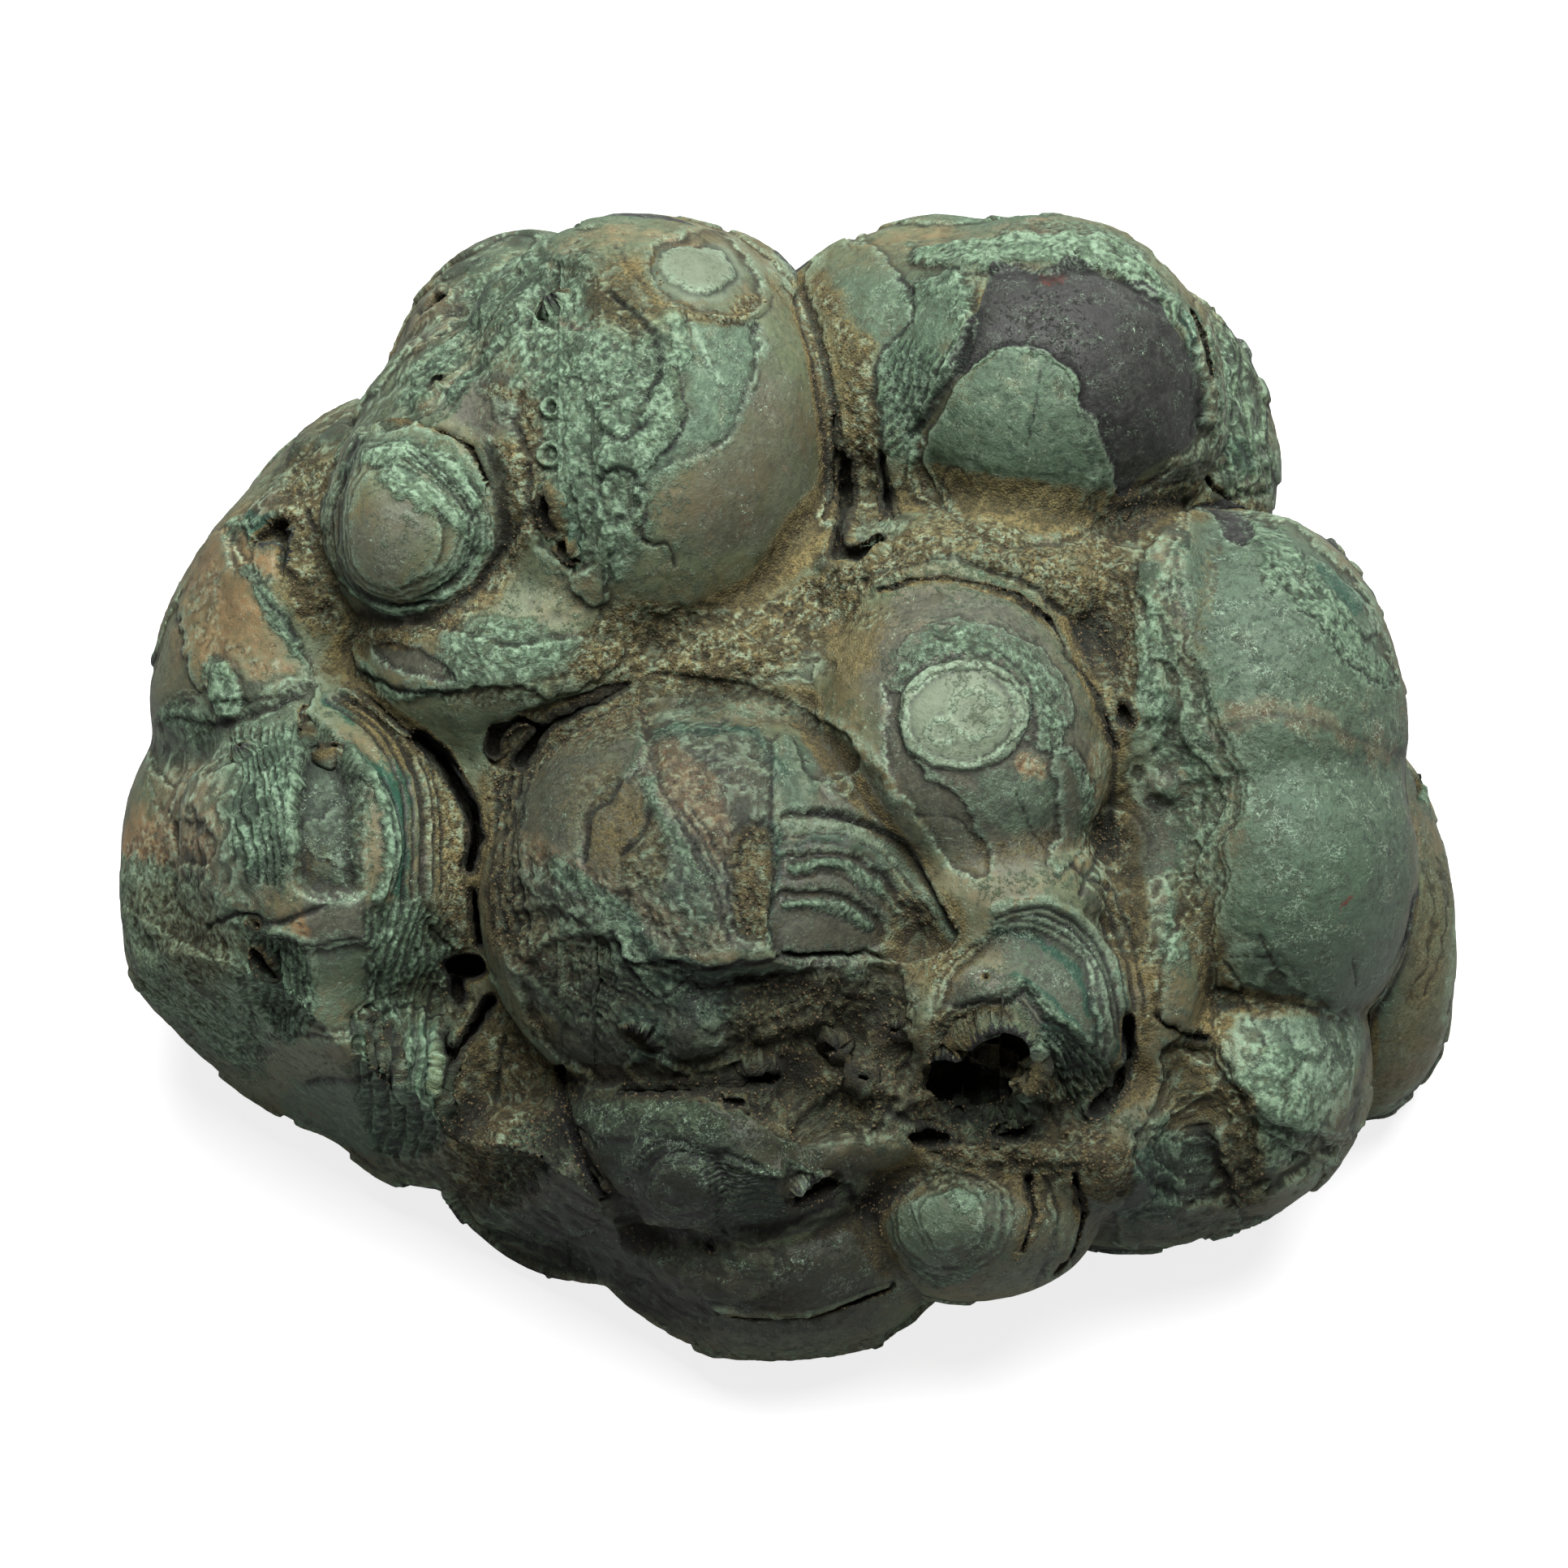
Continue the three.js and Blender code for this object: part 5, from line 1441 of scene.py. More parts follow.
    def build(self) -> None:
        """Works through the skin's features."""
        self.wear()
        for swell in SWELLS:
            self.raise_swell(swell)
        for number, patch in enumerate(CRUMBLES):
            self.break_patch(patch, number)
        for blades in BLADES:
            self.cut_blades(blades)
        for sheet in SHEETS:
            self.lay_sheet(sheet)
        for rib in RIBS:
            self.raise_rib(rib)
        for seam in SEAMS:
            self.cut_seam(seam)
        for ring in RINGS:
            self.cut_ring(ring)


# ---------------------------------------------------------------- where each tone lies


class Tone(Enum):
    """The stone's colours, each with its own field over the skin, and one field of painted shade."""

    MINT = 0
    TEAL = 1
    PLUM = 2
    JET = 3
    DEEP = 4
    DUST = 5
    TAN = 6
    RUST = 7
    CHALK = 8
    # Painted shade, not a colour of the stone: the finish darkens the colour where it lies.
    PAINTED_SHADE = 9


@dataclass(frozen=True)
class Stain:
    """A patch of one tone: a closed outline, or a stroke where `wide` is given."""

    points: Outline
    strength: float = 1.0
    soft: float = 1.5
    wide: float = 0.0
    ragged: float = 1.2


STAINS: dict[Tone, tuple[Stain, ...]] = {
    Tone.MINT: (
        Stain(path("-59,92 -47,97 -30,93 -24,85 -19,76 -19,65 -24,53 -25,44 -32,38 -41,46 -46,59 -48,70 "
              "-53,79"), 0.62, 5),
        Stain(path("-24,85 -19,83 -19,75"), 1.1, 1, 1.4),
        Stain(path("-32,63 -25,63 -23,68"), 0.9, 1.2, 1.6),
        Stain(path("-38,53 -32,47 -30,38"), 0.8, 1.5, 1.8),
        Stain(path("-33,54 -27,56 -25,52"), 0.8, 1.2, 1.4),
        Stain(path("-68,70 -61,78 -53,86 -46,94"), 0.65, 3, 2.8),
        Stain(path("-59,70 -52,79 -46,88"), 0.6, 2.5, 2),
        Stain(path("-72,57 -68,54 -62,50 -56,45 -55,41 -59,38"), 0.95, 1.8, 1.9),
        Stain(path("-69,59 -61,57 -56,52"), 0.8, 2, 2.4),
        Stain(path("-79,36 -72,32 -66,32 -60,37"), 0.9, 1.2, 1.3),
        Stain(path("-77,59 -80,53 -81,45 -80,38"), 0.7, 1, 1),
        Stain(path("-95,38 -92,34 -90,29 -87,25"), 0.9, 1, 1.1),
        Stain(path("-99,45 -97,46 -95,43"), 0.8, 0.8, 0.8),
        Stain(path("-88,59 -84,56"), 0.7, 2, 2.2),
        Stain(path("24,94 34,94 41,96 53,95 63,92 70,84"), 1.05, 1.5, 1.8),
        Stain(path("40,100 53,100 63,95"), 0.7, 2.5, 1.8),
        Stain(path("23,86 31,88 32,82"), 0.6, 2, 1.8),
        Stain(path("32,90 33,84 31,75 26,69 23,63 23,54 27,50"), 1, 0.9, 0.9),
        Stain(path("19,76 28,76 23,68 19,62"), 0.62, 2.5),
        Stain(path("54,62 56,54 53,49"), 0.5, 2.5, 2),
        Stain(path("34,75 41,78 50,75 53,70 53,66"), 0.8, 0.7, 0.6),
        Stain(path("59,47 65,51 72,54"), 0.5, 1.5, 1.8),
        Stain(path("77,82 78,76 79,68 77,61"), 0.9, 1, 1),
        Stain(path("81,78 85,72"), 0.7, 1.5, 1.6),
        Stain(path("-76,23 -74,20 -70,17 -65,16 -59,16"), 1.1, 0.9, 1),
        Stain(path("-59,28 -47,30 -38,25 -40,17 -50,15 -59,17"), 0.6, 3),
        Stain(path("36,41 43,40"), 0.45, 2, 1.8),
        Stain(path("21,12 22,16 25,19 30,21 35,21 40,19 42,15 42,11 40,7 36,4 31,3 26,5 22,8 21,12"),
              0.9, 0.5, 0.5),
        Stain(path("20,21 27,27 37,27 46,23 50,17 50,9 47,4 44,9 41,19 33,22 25,21 21,17"), 0.55, 3),
        Stain(path("49,5 53,1 52,-9"), 0.5, 1.5, 1.6),
        Stain(path("-18,15 -7,16 5,12"), 0.45, 2, 2),
        Stain(path("1,-14 7,-14 12,-14 19,-19 22,-25"), 0.8, 1, 1),
        Stain(path("2,-21 7,-21 12,-22 17,-26"), 0.7, 1, 1),
        Stain(path("-47,-24 -30,-23 -28,-40 -40,-43 -47,-34"), 0.4, 4),
        Stain(path("-31,-28 -27,-36 -22,-40 -15,-35"), 0.7, 1.2, 1.2),
        Stain(path("-9,-41 -4,-42"), 0.9, 0.9, 0.9),
        Stain(path("-22,-50 -17,-52 -6,-50"), 0.8, 0.9, 1),
        Stain(path("5,-56 12,-55 16,-58"), 0.8, 0.9, 0.9),
        Stain(path("11,-34 20,-36 21,-41 14,-40"), 0.6, 2),
        Stain(path("-40,-15 -33,-21 -28,-30 -24,-38"), 0.8, 1.5, 1.6),
        Stain(path("-24,1 -22,-7 -18,-12 -14,-17"), 0.6, 1.5, 1.3),
        Stain(path("42,-35 49,-41 56,-48"), 0.9, 0.9, 0.9),
        Stain(path("43,-48 50,-49 52,-55"), 0.8, 0.9, 0.9),
        Stain(path("-38,-54 -27,-55 -15,-58 -12,-63 -24,-62 -36,-63"), 0.72, 2.5),
        Stain(path("-9,-68 -1,-71 2,-69 7,-71 13,-73"), 0.9, 0.8, 0.8),
        Stain(path("-47,-65 -51,-70 -53,-75"), 0.9, 1, 1),
        Stain(path("-21,-85 -9,-84 -4,-89"), 0.55, 2, 2),
        Stain(path("27,-70 33,-75"), 0.9, 1.5, 2),
        Stain(path("23,-86 27,-89 33,-87"), 0.8, 1, 1),
        Stain(path("84,45 92,35 98,27 105,19"), 0.95, 1.8, 2.4),
        Stain(path("87,35 88,35"), 0.9, 1.2, 1.4),
        Stain(path("61,40 69,41 71,27 78,12 83,1 79,-17 73,-31 68,-31 70,-17 67,-7 70,2 65,11 68,18 "
              "63,25 65,33"), 0.55, 5, 0, 4),
        Stain(path("62,38 66,30 64,21 67,12 68,5"), 0.8, 1.5, 1.6),
        Stain(path("69,-7 72,-14 69,-23 70,-31"), 0.7, 1.5, 1.5),
        Stain(path("84,-47 92,-49 95,-63 86,-70 81,-60"), 0.68, 3),
        Stain(path("68,-52 72,-56 69,-61"), 0.7, 1.5, 1.5),
        Stain(path("70,-64 76,-69"), 0.7, 1.5, 1.8),
        Stain(path("89,-63 93,-68"), 0.8, 1.5, 1.5),
        Stain(path("114,-3 116,-5"), 1, 1, 1.3),
        Stain(path("-123,-17 -97,-23 -92,-43 -97,-50 -114,-40"), 1.1, 5, 0, 3),
        Stain(path("-101,20 -99,14"), 1.1, 1.5, 2.8),
        Stain(path("-109,12 -105,8"), 0.75, 2, 2.6),
        Stain(path("-99,9 -92,11 -86,11 -88,-3 -89,-17 -94,-17 -99,-11"), 0.72, 2.5),
        Stain(path("-86,12 -87,6 -89,-3 -88,-12"), 1, 1, 1),
        Stain(path("-78,5 -74,0 -71,-5 -70,-11 -71,-17 -73,-20"), 0.95, 1, 1),
        Stain(path("-95,-27 -90,-27 -85,-30 -85,-43 -90,-46 -95,-40"), 0.75, 2),
        Stain(path("-74,-23 -62,-22 -59,-34 -63,-41 -73,-40"), 0.6, 2.5),
        Stain(path("-65,-38 -63,-40"), 1, 1.2, 1.2),
        Stain(path("-71,-58 -66,-66"), 0.9, 1.5, 1.5),
        Stain(path("-119,-18 -117,-28 -110,-36 -100,-44 -94,-50"), 0.6, 2.5, 2),
    ),
    Tone.TEAL: (
        Stain(path("-19,81 -6,82 -4,73 -9,63 -17,59 -24,52 -25,59 -18,68"), 0.8, 2.5),
        Stain(path("-47,79 -33,82 -24,72 -27,59 -38,50 -46,62"), 0.6, 4),
        Stain(path("-59,59 -52,47 -57,36 -65,33 -62,40 -57,46"), 0.6, 2.5),
        Stain(path("-78,59 -72,63 -65,63 -59,61 -68,59 -75,57"), 0.6, 2),
        Stain(path("-97,49 -89,57 -82,65 -79,59 -86,50 -92,41"), 0.6, 3.5),
        Stain(path("5,89 20,92 33,89 31,76 23,65 18,53 14,65 9,76"), 0.75, 4),
        Stain(path("41,78 50,75 53,68 56,65 59,54 55,48 41,44 28,50 25,59 31,70"), 1, 1.5),
        Stain(path("-62,17 -53,15 -47,9 -53,1 -59,9"), 0.4, 3),
        Stain(path("34,2 47,2 47,-8 37,-8"), 0.6, 2.5),
        Stain(path("-1,9 5,7 6,-3 0,-5"), 0.8, 1.5),
        Stain(path("37,-24 49,-21 59,-28 61,-43 57,-53 49,-43 40,-34"), 0.5, 2.5),
        Stain(path("-38,-55 -12,-59 -7,-68 -9,-78 -21,-81 -31,-73"), 0.6, 4),
        Stain(path("-54,-75 -38,-75 -36,-82 -47,-84 -54,-81"), 0.8, 2.5),
        Stain(path("17,-76 27,-69 40,-72 41,-84 31,-89 20,-86"), 0.6, 2.5),
        Stain(path("70,41 86,47 104,33 110,12 111,-14 110,-34 98,-57 86,-47 79,-28 82,-2 76,17"), 0.85,
              4),
        Stain(path("69,-63 78,-63 78,-73 69,-73"), 0.8, 2),
        Stain(path("114,-14 118,-28 113,-43"), 0.45, 2.5, 2.2),
        Stain(path("-111,14 -88,15 -86,9 -89,-17 -100,-20 -111,-2"), 0.55, 4),
        Stain(path("-86,9 -76,2 -75,-17 -82,-20 -87,-17 -88,-4"), 0.8, 2),
        Stain(path("-85,-29 -75,-28 -73,-42 -84,-44"), 0.5, 2.5),
        Stain(path("-89,-54 -74,-54 -68,-63 -72,-67 -84,-64"), 1, 2),
    ),
    Tone.PLUM: (
        Stain(path("-14,68 -1,76 6,65 5,50 -5,40 -17,40 -21,50 -17,57"), 0.62, 6),
        Stain(path("-7,82 -2,73 -5,65"), 0.6, 2.5, 2),
        Stain(path("-61,72 -50,73 -48,65 -53,61 -59,65"), 0.95, 2),
        Stain(path("-52,60 -48,54"), 0.8, 1.5, 1.5),
        Stain(path("-76,47 -68,53 -64,46 -68,38 -74,40"), 0.6, 2.5),
        Stain(path("-72,40 -70,40"), 0.7, 1.2, 1.2),
        Stain(path("80,75 84,70 85,62"), 0.6, 2, 2),
        Stain(path("-72,25 -68,26 -60,22 -59,18 -65,19 -71,21"), 1.1, 0.9, 0, 0.8),
        Stain(path("20,33 31,35 43,32 50,24 54,14 56,1 49,-14 36,-16 25,-7 18,5 15,20"), 1, 4.5),
        Stain(path("-33,9 -24,11 -17,-5 -11,-20 -12,-30 -24,-30 -33,-21 -35,-7"), 0.6, 5),
        Stain(path("5,9 14,4 21,-5 27,-17 30,-27 24,-31 17,-20 5,-7"), 0.7, 2.5),
        Stain(path("-1,-11 14,-11 24,-23 20,-31 -1,-32"), 0.9, 2),
        Stain(path("-47,9 -30,15 -9,12 -1,-5 -2,-27 -24,-31 -41,-27 -50,-12"), 0.75, 6),
        Stain(path("28,-34 41,-33 42,-38 30,-40"), 1, 1.5),
        Stain(path("40,-24 53,-24 61,-34 61,-50 56,-56 49,-47 41,-38"), 0.8, 3),
        Stain(path("46,-27 56,-30 57,-40 50,-41 44,-34"), 0.7, 2.5),
        Stain(path("-38,-75 -9,-81 12,-78 14,-92 -9,-97 -36,-91"), 0.6, 5),
        Stain(path("-22,-73 -20,-73"), 0.9, 1, 1.2),
        Stain(path("3,-71 12,-73 5,-77"), 0.9, 1),
        Stain(path("70,38 78,38 78,25 72,24"), 0.8, 2.5),
        Stain(path("98,11 112,9 112,-15 101,-14"), 0.7, 4),
        Stain(path("72,40 86,38 92,24 86,14 75,17"), 0.55, 5),
        Stain(path("101,0 104,-8"), 0.8, 1.5, 1.2),
        Stain(path("64,1 70,2 70,-5 65,-5"), 0.6, 2),
        Stain(path("-86,9 -76,2 -75,-17 -82,-20 -87,-17 -88,-4"), 0.5, 2),
        Stain(path("-85,-18 -75,-20 -74,-31 -84,-32"), 1, 2),
    ),
    Tone.JET: (
        Stain(path("38,93 43,92 47,92 52,94 58,91 64,90 67,88 70,83 74,78 75,72 76,64 71,59 65,56 62,52 "
              "60,51 58,59 56,63 53,67 53,69 53,72 50,75 46,77 41,78 36,77 31,74 33,81 35,86 36,89"),
              1.3, 0.7, 0, 0.45),
        Stain(path("72,48 78,51 81,50 84,43 80,42 77,46"), 1.2, 0.6, 0, 0.6),
    ),
    Tone.DEEP: (
        Stain(path("-44,53 -40,47 -38,41"), 1, 1.5, 2.2),
        Stain(path("-78,59 -80,52 -81,44 -80,38 -76,33 -68,31 -59,35"), 0.6, 1.2, 1.4),
        Stain(path("-95,46 -89,45 -88,38"), 1.1, 1.5, 2.4),
        Stain(path("73,84 75,80 76,75 77,70 76,64"), 1.1, 0.8, 0.9),
        Stain(path("80,61 82,57"), 0.9, 1.5, 1.8),
        Stain(path("-24,1 -18,-8 -12,-20 -12,-30 -20,-28 -24,-14"), 0.5, 3.5),
        Stain(path("0,-10 12,-10 18,-14 24,-24"), 0.55, 1.5, 1.5),
        Stain(path("-31,-27 -25,-34 -15,-34 5,-34 7,-41 -9,-44 -24,-40"), 0.85, 2.5),
        Stain(path("-30,-42 -22,-42 -22,-50 -28,-50"), 0.7, 1.5),
        Stain(path("-1,-20 11,-21 17,-28 12,-33 -1,-33"), 0.3, 3, 0, 2.5),
        Stain(path("-2,-7 -2,-17 -2,-27"), 1, 0.8, 1.3),
        Stain(path("-25,9 -15,11 -5,9 -1,1"), 0.7, 1.5, 1.5),
        Stain(path("-38,-17 -30,-23 -24,-31 -15,-34"), 0.7, 2, 2.5),
        Stain(path("38,-26 47,-27 54,-34 57,-43 56,-52"), 0.9, 0.9, 0.8),
        Stain(path("41,-33 49,-38 55,-46 56,-54"), 0.9, 0.9, 0.8),
        Stain(path("59,-31 61,-40 59,-52"), 0.8, 0.9, 0.7),
        Stain(path("49,-41 56,-49 56,-56 49,-53"), 0.7, 1.5),
        Stain(path("-34,-57 -12,-60 -4,-68 -9,-79 -24,-81 -33,-70"), 0.6, 5),
        Stain(path("-14,-68 -5,-68 -1,-72 1,-78 -5,-81 -14,-80"), 1.1, 1.5),
        Stain(path("-46,-79 -24,-79 -24,-91 -38,-90"), 0.55, 3),
        Stain(path("47,-63 70,-75 81,-78 78,-82 60,-82"), 0.5, 3),
        Stain(path("84,5 95,2 105,-11 105,-28 92,-40 84,-31 81,-11"), 0.34, 6),
        Stain(path("95,37 101,31"), 0.9, 1.2, 1.8),
        Stain(path("67,15 70,9 73,1"), 0.7, 1.5, 1.6),
        Stain(path("63,-66 70,-68 70,-77 59,-78 60,-75"), 1, 1.8),
        Stain(path("112,5 113,-4"), 0.9, 1, 1),
        Stain(path("-96,1 -96,-4"), 1, 1, 1.2),
        Stain(path("-96,-8 -95,-14"), 1, 1, 1.3),
        Stain(path("-91,5 -91,-3"), 0.8, 1, 1),
        Stain(path("-83,11 -76,5 -70,1 -67,-8 -68,-21 -70,-14 -73,-2 -79,7"), 1, 1.5),
        Stain(path("-82,15 -75,11 -69,4 -67,-4"), 0.8, 1.2, 1.2),
        Stain(path("-92,-32 -90,-38 -91,-43"), 0.8, 1.2, 1.4),
        Stain(path("-76,-42 -59,-42 -59,-60 -68,-68 -75,-63"), 0.6, 3),
    ),
    Tone.DUST: (
        Stain(path("-23,94 -21,88 -16,84 -9,84 -5,87"), 0.8, 1.2, 1.8),
        Stain(path("-2,91 4,82 7,73 9,63 8,50"), 0.75, 2, 2.2),
        Stain(path("-38,97 -27,92 -20,85 -17,79"), 0.35, 4, 3),
        Stain(path("-52,70 -47,68 -47,61"), 0.8, 1.5, 1.6),
        Stain(path("-49,59 -47,47 -52,38 -58,31 -67,27 -76,28"), 0.95, 2, 2.6),
        Stain(path("-89,59 -80,59 -80,47 -79,28 -86,28 -91,38"), 0.9, 3),
        Stain(path("-104,47 -92,59 -79,70 -72,79"), 0.55, 4, 4),
        Stain(path("7,89 11,79 14,68 16,57"), 0.8, 3, 3),
        Stain(path("11,78 17,78 17,53 11,56"), 0.9, 2.5),
        Stain(path("36,89 35,84 34,78"), 0.7, 1.5, 2),
        Stain(path("25,53 34,44 46,41 57,44 63,49"), 0.85, 2, 2),
        Stain(path("-59,15 -47,17 -38,20 -30,23"), 0.5, 3, 2.5),
        Stain(path("-33,30 -24,33 -14,30 -1,33 7,38 12,40 14,33 7,25 -1,20 -12,17 -24,17 -28,18 "
              "-38,20"), 1.1, 2.5),
        Stain(path("12,38 25,43 37,43 47,38 55,32 57,24"), 1, 2.5, 4),
        Stain(path("7,28 14,33 20,30 17,21 9,17"), 0.6, 3),
        Stain(path("56,21 61,17 63,12 59,7"), 0.95, 1.2),
        Stain(path("-54,1 -47,9 -36,15 -24,17 -25,9 -38,4 -46,-5 -47,-17 -44,-28 -52,-31 -55,-17"),
              0.85, 4),
        Stain(path("-40,1 -30,5 -25,-2 -33,-11 -38,-14"), 0.45, 4),
        Stain(path("-9,-9 -2,-8 -2,-27 -8,-27"), 0.9, 1.2, 0, 0.8),
        Stain(path("-7,-38 21,-36 23,-53 18,-63 -1,-63 -9,-54"), 0.75, 3),
        Stain(path("-33,4 -24,-2 -20,-14 -25,-20 -36,-14 -38,-4"), 0.6, 3),
        Stain(path("25,-59 41,-57 56,-59 63,-68 49,-72 27,-69"), 0.9, 3),
        Stain(path("27,-40 40,-40 43,-49 54,-57 56,-68 40,-69 23,-63 24,-49"), 0.9, 2.5),
        Stain(path("47,-63 56,-63 63,-69 60,-75 49,-71"), 0.9, 2),
        Stain(path("20,-18 31,-20 34,-31 27,-38 21,-34"), 0.8, 3),
        Stain(path("62,-25 66,-34 65,-43 62,-52"), 0.7, 2, 2),
        Stain(path("-25,-72 -23,-68 -17,-67 -13,-70 -14,-75 -19,-78 -23,-77"), 0.4, 1.5),
        Stain(path("43,-70 45,-78 42,-84"), 0.9, 1, 1),
        Stain(path("69,47 78,53 92,50"), 0.3, 4, 3),
        Stain(path("54,44 63,41 63,30 59,15 56,30"), 0.9, 3),
        Stain(path("59,-6 63,-7 63,-15 59,-16"), 1, 1.2),
        Stain(path("56,-18 63,-20 69,-34 63,-38 60,-28"), 0.7, 2.5),
        Stain(path("75,-54 84,-55 84,-61 75,-61"), 0.9, 2),
        Stain(path("78,-63 86,-63 86,-75 78,-75"), 0.8, 2),
        Stain(path("113,-11 120,-23 117,-41 107,-57 101,-63 107,-41"), 0.45, 4),
        Stain(path("-86,-9 -81,-11 -80,-17 -84,-18 -87,-15"), 0.4, 2),
        Stain(path("-78,17 -68,10 -60,1 -57,-7 -56,-29 -61,-28 -63,-17 -65,-2 -70,9"), 0.95, 2),
        Stain(path("-59,-44 -47,-40 -40,-53 -40,-63 -47,-75 -57,-75 -61,-60"), 0.9, 3),
        Stain(path("-117,-17 -102,-21 -97,-31 -104,-37 -114,-30"), 0.5, 4),
    ),
    Tone.TAN: (
        Stain(path("-38,98 -27,99 -15,98"), 0.35, 3, 3),
        Stain(path("-71,89 -60,90 -59,82 -68,76 -73,76"), 0.65, 3),
        Stain(path("-59,82 -56,79"), 0.9, 1.2, 1.2),
        Stain(path("-65,68 -59,75 -54,81 -49,87"), 0.55, 1.5, 1.3),
        Stain(path("-107,38 -97,40 -91,30 -89,20 -100,20 -108,24"), 0.55, 4),
        Stain(path("12,97 23,99 34,100 49,100"), 0.55, 2.5, 2.5),
        Stain(path("63,46 65,46"), 1.1, 1.2, 1.3),
        Stain(path("82,54 84,53"), 0.8, 1.5, 1.5),
        Stain(path("2,32 11,36 20,40"), 0.5, 2.5, 1.8),
        Stain(path("43,3 45,2"), 0.9, 1.2, 1.5),
        Stain(path("56,6 55,-4 53,-14"), 0.5, 1.5, 1.8),
        Stain(path("-46,-25 -36,-27 -33,-36 -40,-40"), 0.5, 2.5),
        Stain(path("-37,-17 -36,-18"), 0.9, 1, 1),
        Stain(path("-24,-25 -17,-30 -9,-31"), 0.4, 2, 2),
        Stain(path("-25,9 -17,6 -11,-2 -9,-14 -14,-11 -21,-2"), 0.8, 2.5),
        Stain(path("-47,-11 -36,-17 -24,-23 -12,-27"), 0.65, 2, 2.5),
        Stain(path("-47,-27 -38,-36 -36,-41 -43,-40"), 0.75, 2),
        Stain(path("43,-60 53,-62 60,-68"), 0.7, 2, 2.5),
        Stain(path("-53,-73 -52,-62 -44,-59 -38,-61 -38,-69 -46,-76"), 0.7, 3),
        Stain(path("-49,-68 -40,-69"), 0.7, 1.5, 1.5),
        Stain(path("-24,-81 -2,-81 -2,-92 -20,-92"), 0.45, 3),
        Stain(path("78,11 85,13 94,11 107,5"), 0.42, 3, 2.6),
        Stain(path("85,-41 88,-41"), 0.9, 1.2, 1.2),
        Stain(path("-118,-5 -104,-17 -97,-31 -102,-40 -117,-31"), 1, 5, 0, 3),
        Stain(path("-105,47 -92,53 -82,53 -89,38 -102,30"), 0.5, 4),
        Stain(path("-113,1 -105,4 -102,-5 -103,-17 -111,-20 -115,-14"), 0.65, 3),
        Stain(path("-108,-11 -106,-11"), 1.2, 1.5, 2.6),
        Stain(path("-91,22 -89,21"), 0.8, 1.2, 1.5),
        Stain(path("-87,-25 -86,-26"), 1, 1.2, 1.3),
    ),
    Tone.RUST: (
        Stain(path("-41,83 -35,82"), 0.5, 0.8, 0.8),
        Stain(path("47,91 50,91"), 0.7, 0.8, 0.9),
        Stain(path("97,-12 97,-13"), 0.6, 0.5, 0.3, 0.8),
        Stain(path("99,-23 101,-19"), 0.7, 0.5, 0.35, 1.4),
        Stain(path("98,-26 101,-24"), 0.6, 0.5, 0.25, 1.4),
        Stain(path("95,-20"), 0.6, 0.5, 0.3, 1.2),
        Stain(path("96,-29 96,-31"), 0.6, 0.5, 0.25, 0.8),
        Stain(path("92,-54"), 0.6, 0.5, 0.3),
        Stain(path("-97,-43 -91,-53 -82,-62"), 0.35, 2, 1.5),
    ),
    Tone.CHALK: (
        Stain(path("-19,92 -12,92"), 1.1, 1.2, 4.6),
        Stain(path("20,12 21,16 25,20 30,22 35,22 40,19 43,15 43,11 41,6 37,3 31,2 25,4 22,7"), 0.85,
              0.6, 0, 0.3),
        Stain(path("27,25 37,24 42,19"), 0.6, 0.5, 0.3),
        Stain(path("-24,12 -17,14"), 0.9, 0.6, 0.5),
        Stain(path("1,7 3,1 4,-4"), 0.6, 1.2, 1.2),
        Stain(path("0,-7 5,-7 12,-8 17,-11 20,-15 26,-22 29,-27"), 0.9, 0.9, 0.9),
        Stain(path("37,-23 46,-22 53,-24 56,-27 59,-33"), 0.7, 0.8, 0.8),
        Stain(path("43,-24 49,-26 55,-33"), 0.6, 1, 1),
        Stain(path("-7,-81 0,-82 11,-75"), 0.7, 0.8, 0.8),
        Stain(path("112,-20 110,-28 107,-37 103,-46 100,-60"), 0.35, 0.8, 0.5),
    ),
    # Painted shade: these patches darken the colour over the lower front and underside (chin, toes, heel,
    # knob and brow), the left window's recess, the jet cap and a little over the crown's top; over the brow
    # and the right cheek they also darken the stone's own tone.
    Tone.PAINTED_SHADE: (
        Stain(path("-86,11 -76,5 -75,-7 -76,-18 -82,-20 -88,-18 -88,-4"), 0.62, 2),
        Stain(path("-38,-75 -9,-79 14,-78 14,-95 -9,-98 -38,-91"), 1.25, 6),
        Stain(path("-53,1 -44,11 -30,17 -9,17 5,12 20,1 30,-23 28,-34 21,-54 5,-63 -24,-57 -44,-46 "
              "-53,-28"), 0.48, 6),
        Stain(path("-47,-34 -9,-31 21,-34 23,-63 -9,-60 -38,-52"), 0.74, 5),
        Stain(path("25,-21 43,-18 60,-24 66,-40 62,-57 49,-49 40,-36"), 0.3, 5),
        Stain(path("-41,-54 -12,-57 14,-66 17,-75 14,-98 -30,-98 -47,-86 -47,-69"), 1.3, 8),
        Stain(path("-59,-43 -41,-46 -36,-66 -38,-92 -59,-78 -78,-69 -82,-53"), 0.28, 8),
        Stain(path("-59,98 -9,101 49,101 75,88 78,79 34,79 5,82 -38,82 -62,82"), 0.14, 9),
        Stain(path("53,44 70,44 82,9 82,-17 75,-49 60,-49 54,-5"), 0.2, 6),
        Stain(path("14,-66 49,-66 52,-89 17,-89"), 0.5, 6),
        Stain(path("24,-40 63,-49 66,-69 24,-70"), 0.6, 6),
        Stain(path("56,-69 86,-69 86,-86 56,-86"), 0.66, 6),
        Stain(path("73,46 92,47 113,15 115,-20 104,-49 84,-34 78,9"), 0.36, 8),
        Stain(path("36,92 53,92 75,78 75,62 59,53 49,75"), 0.56, 4),
    ),
}


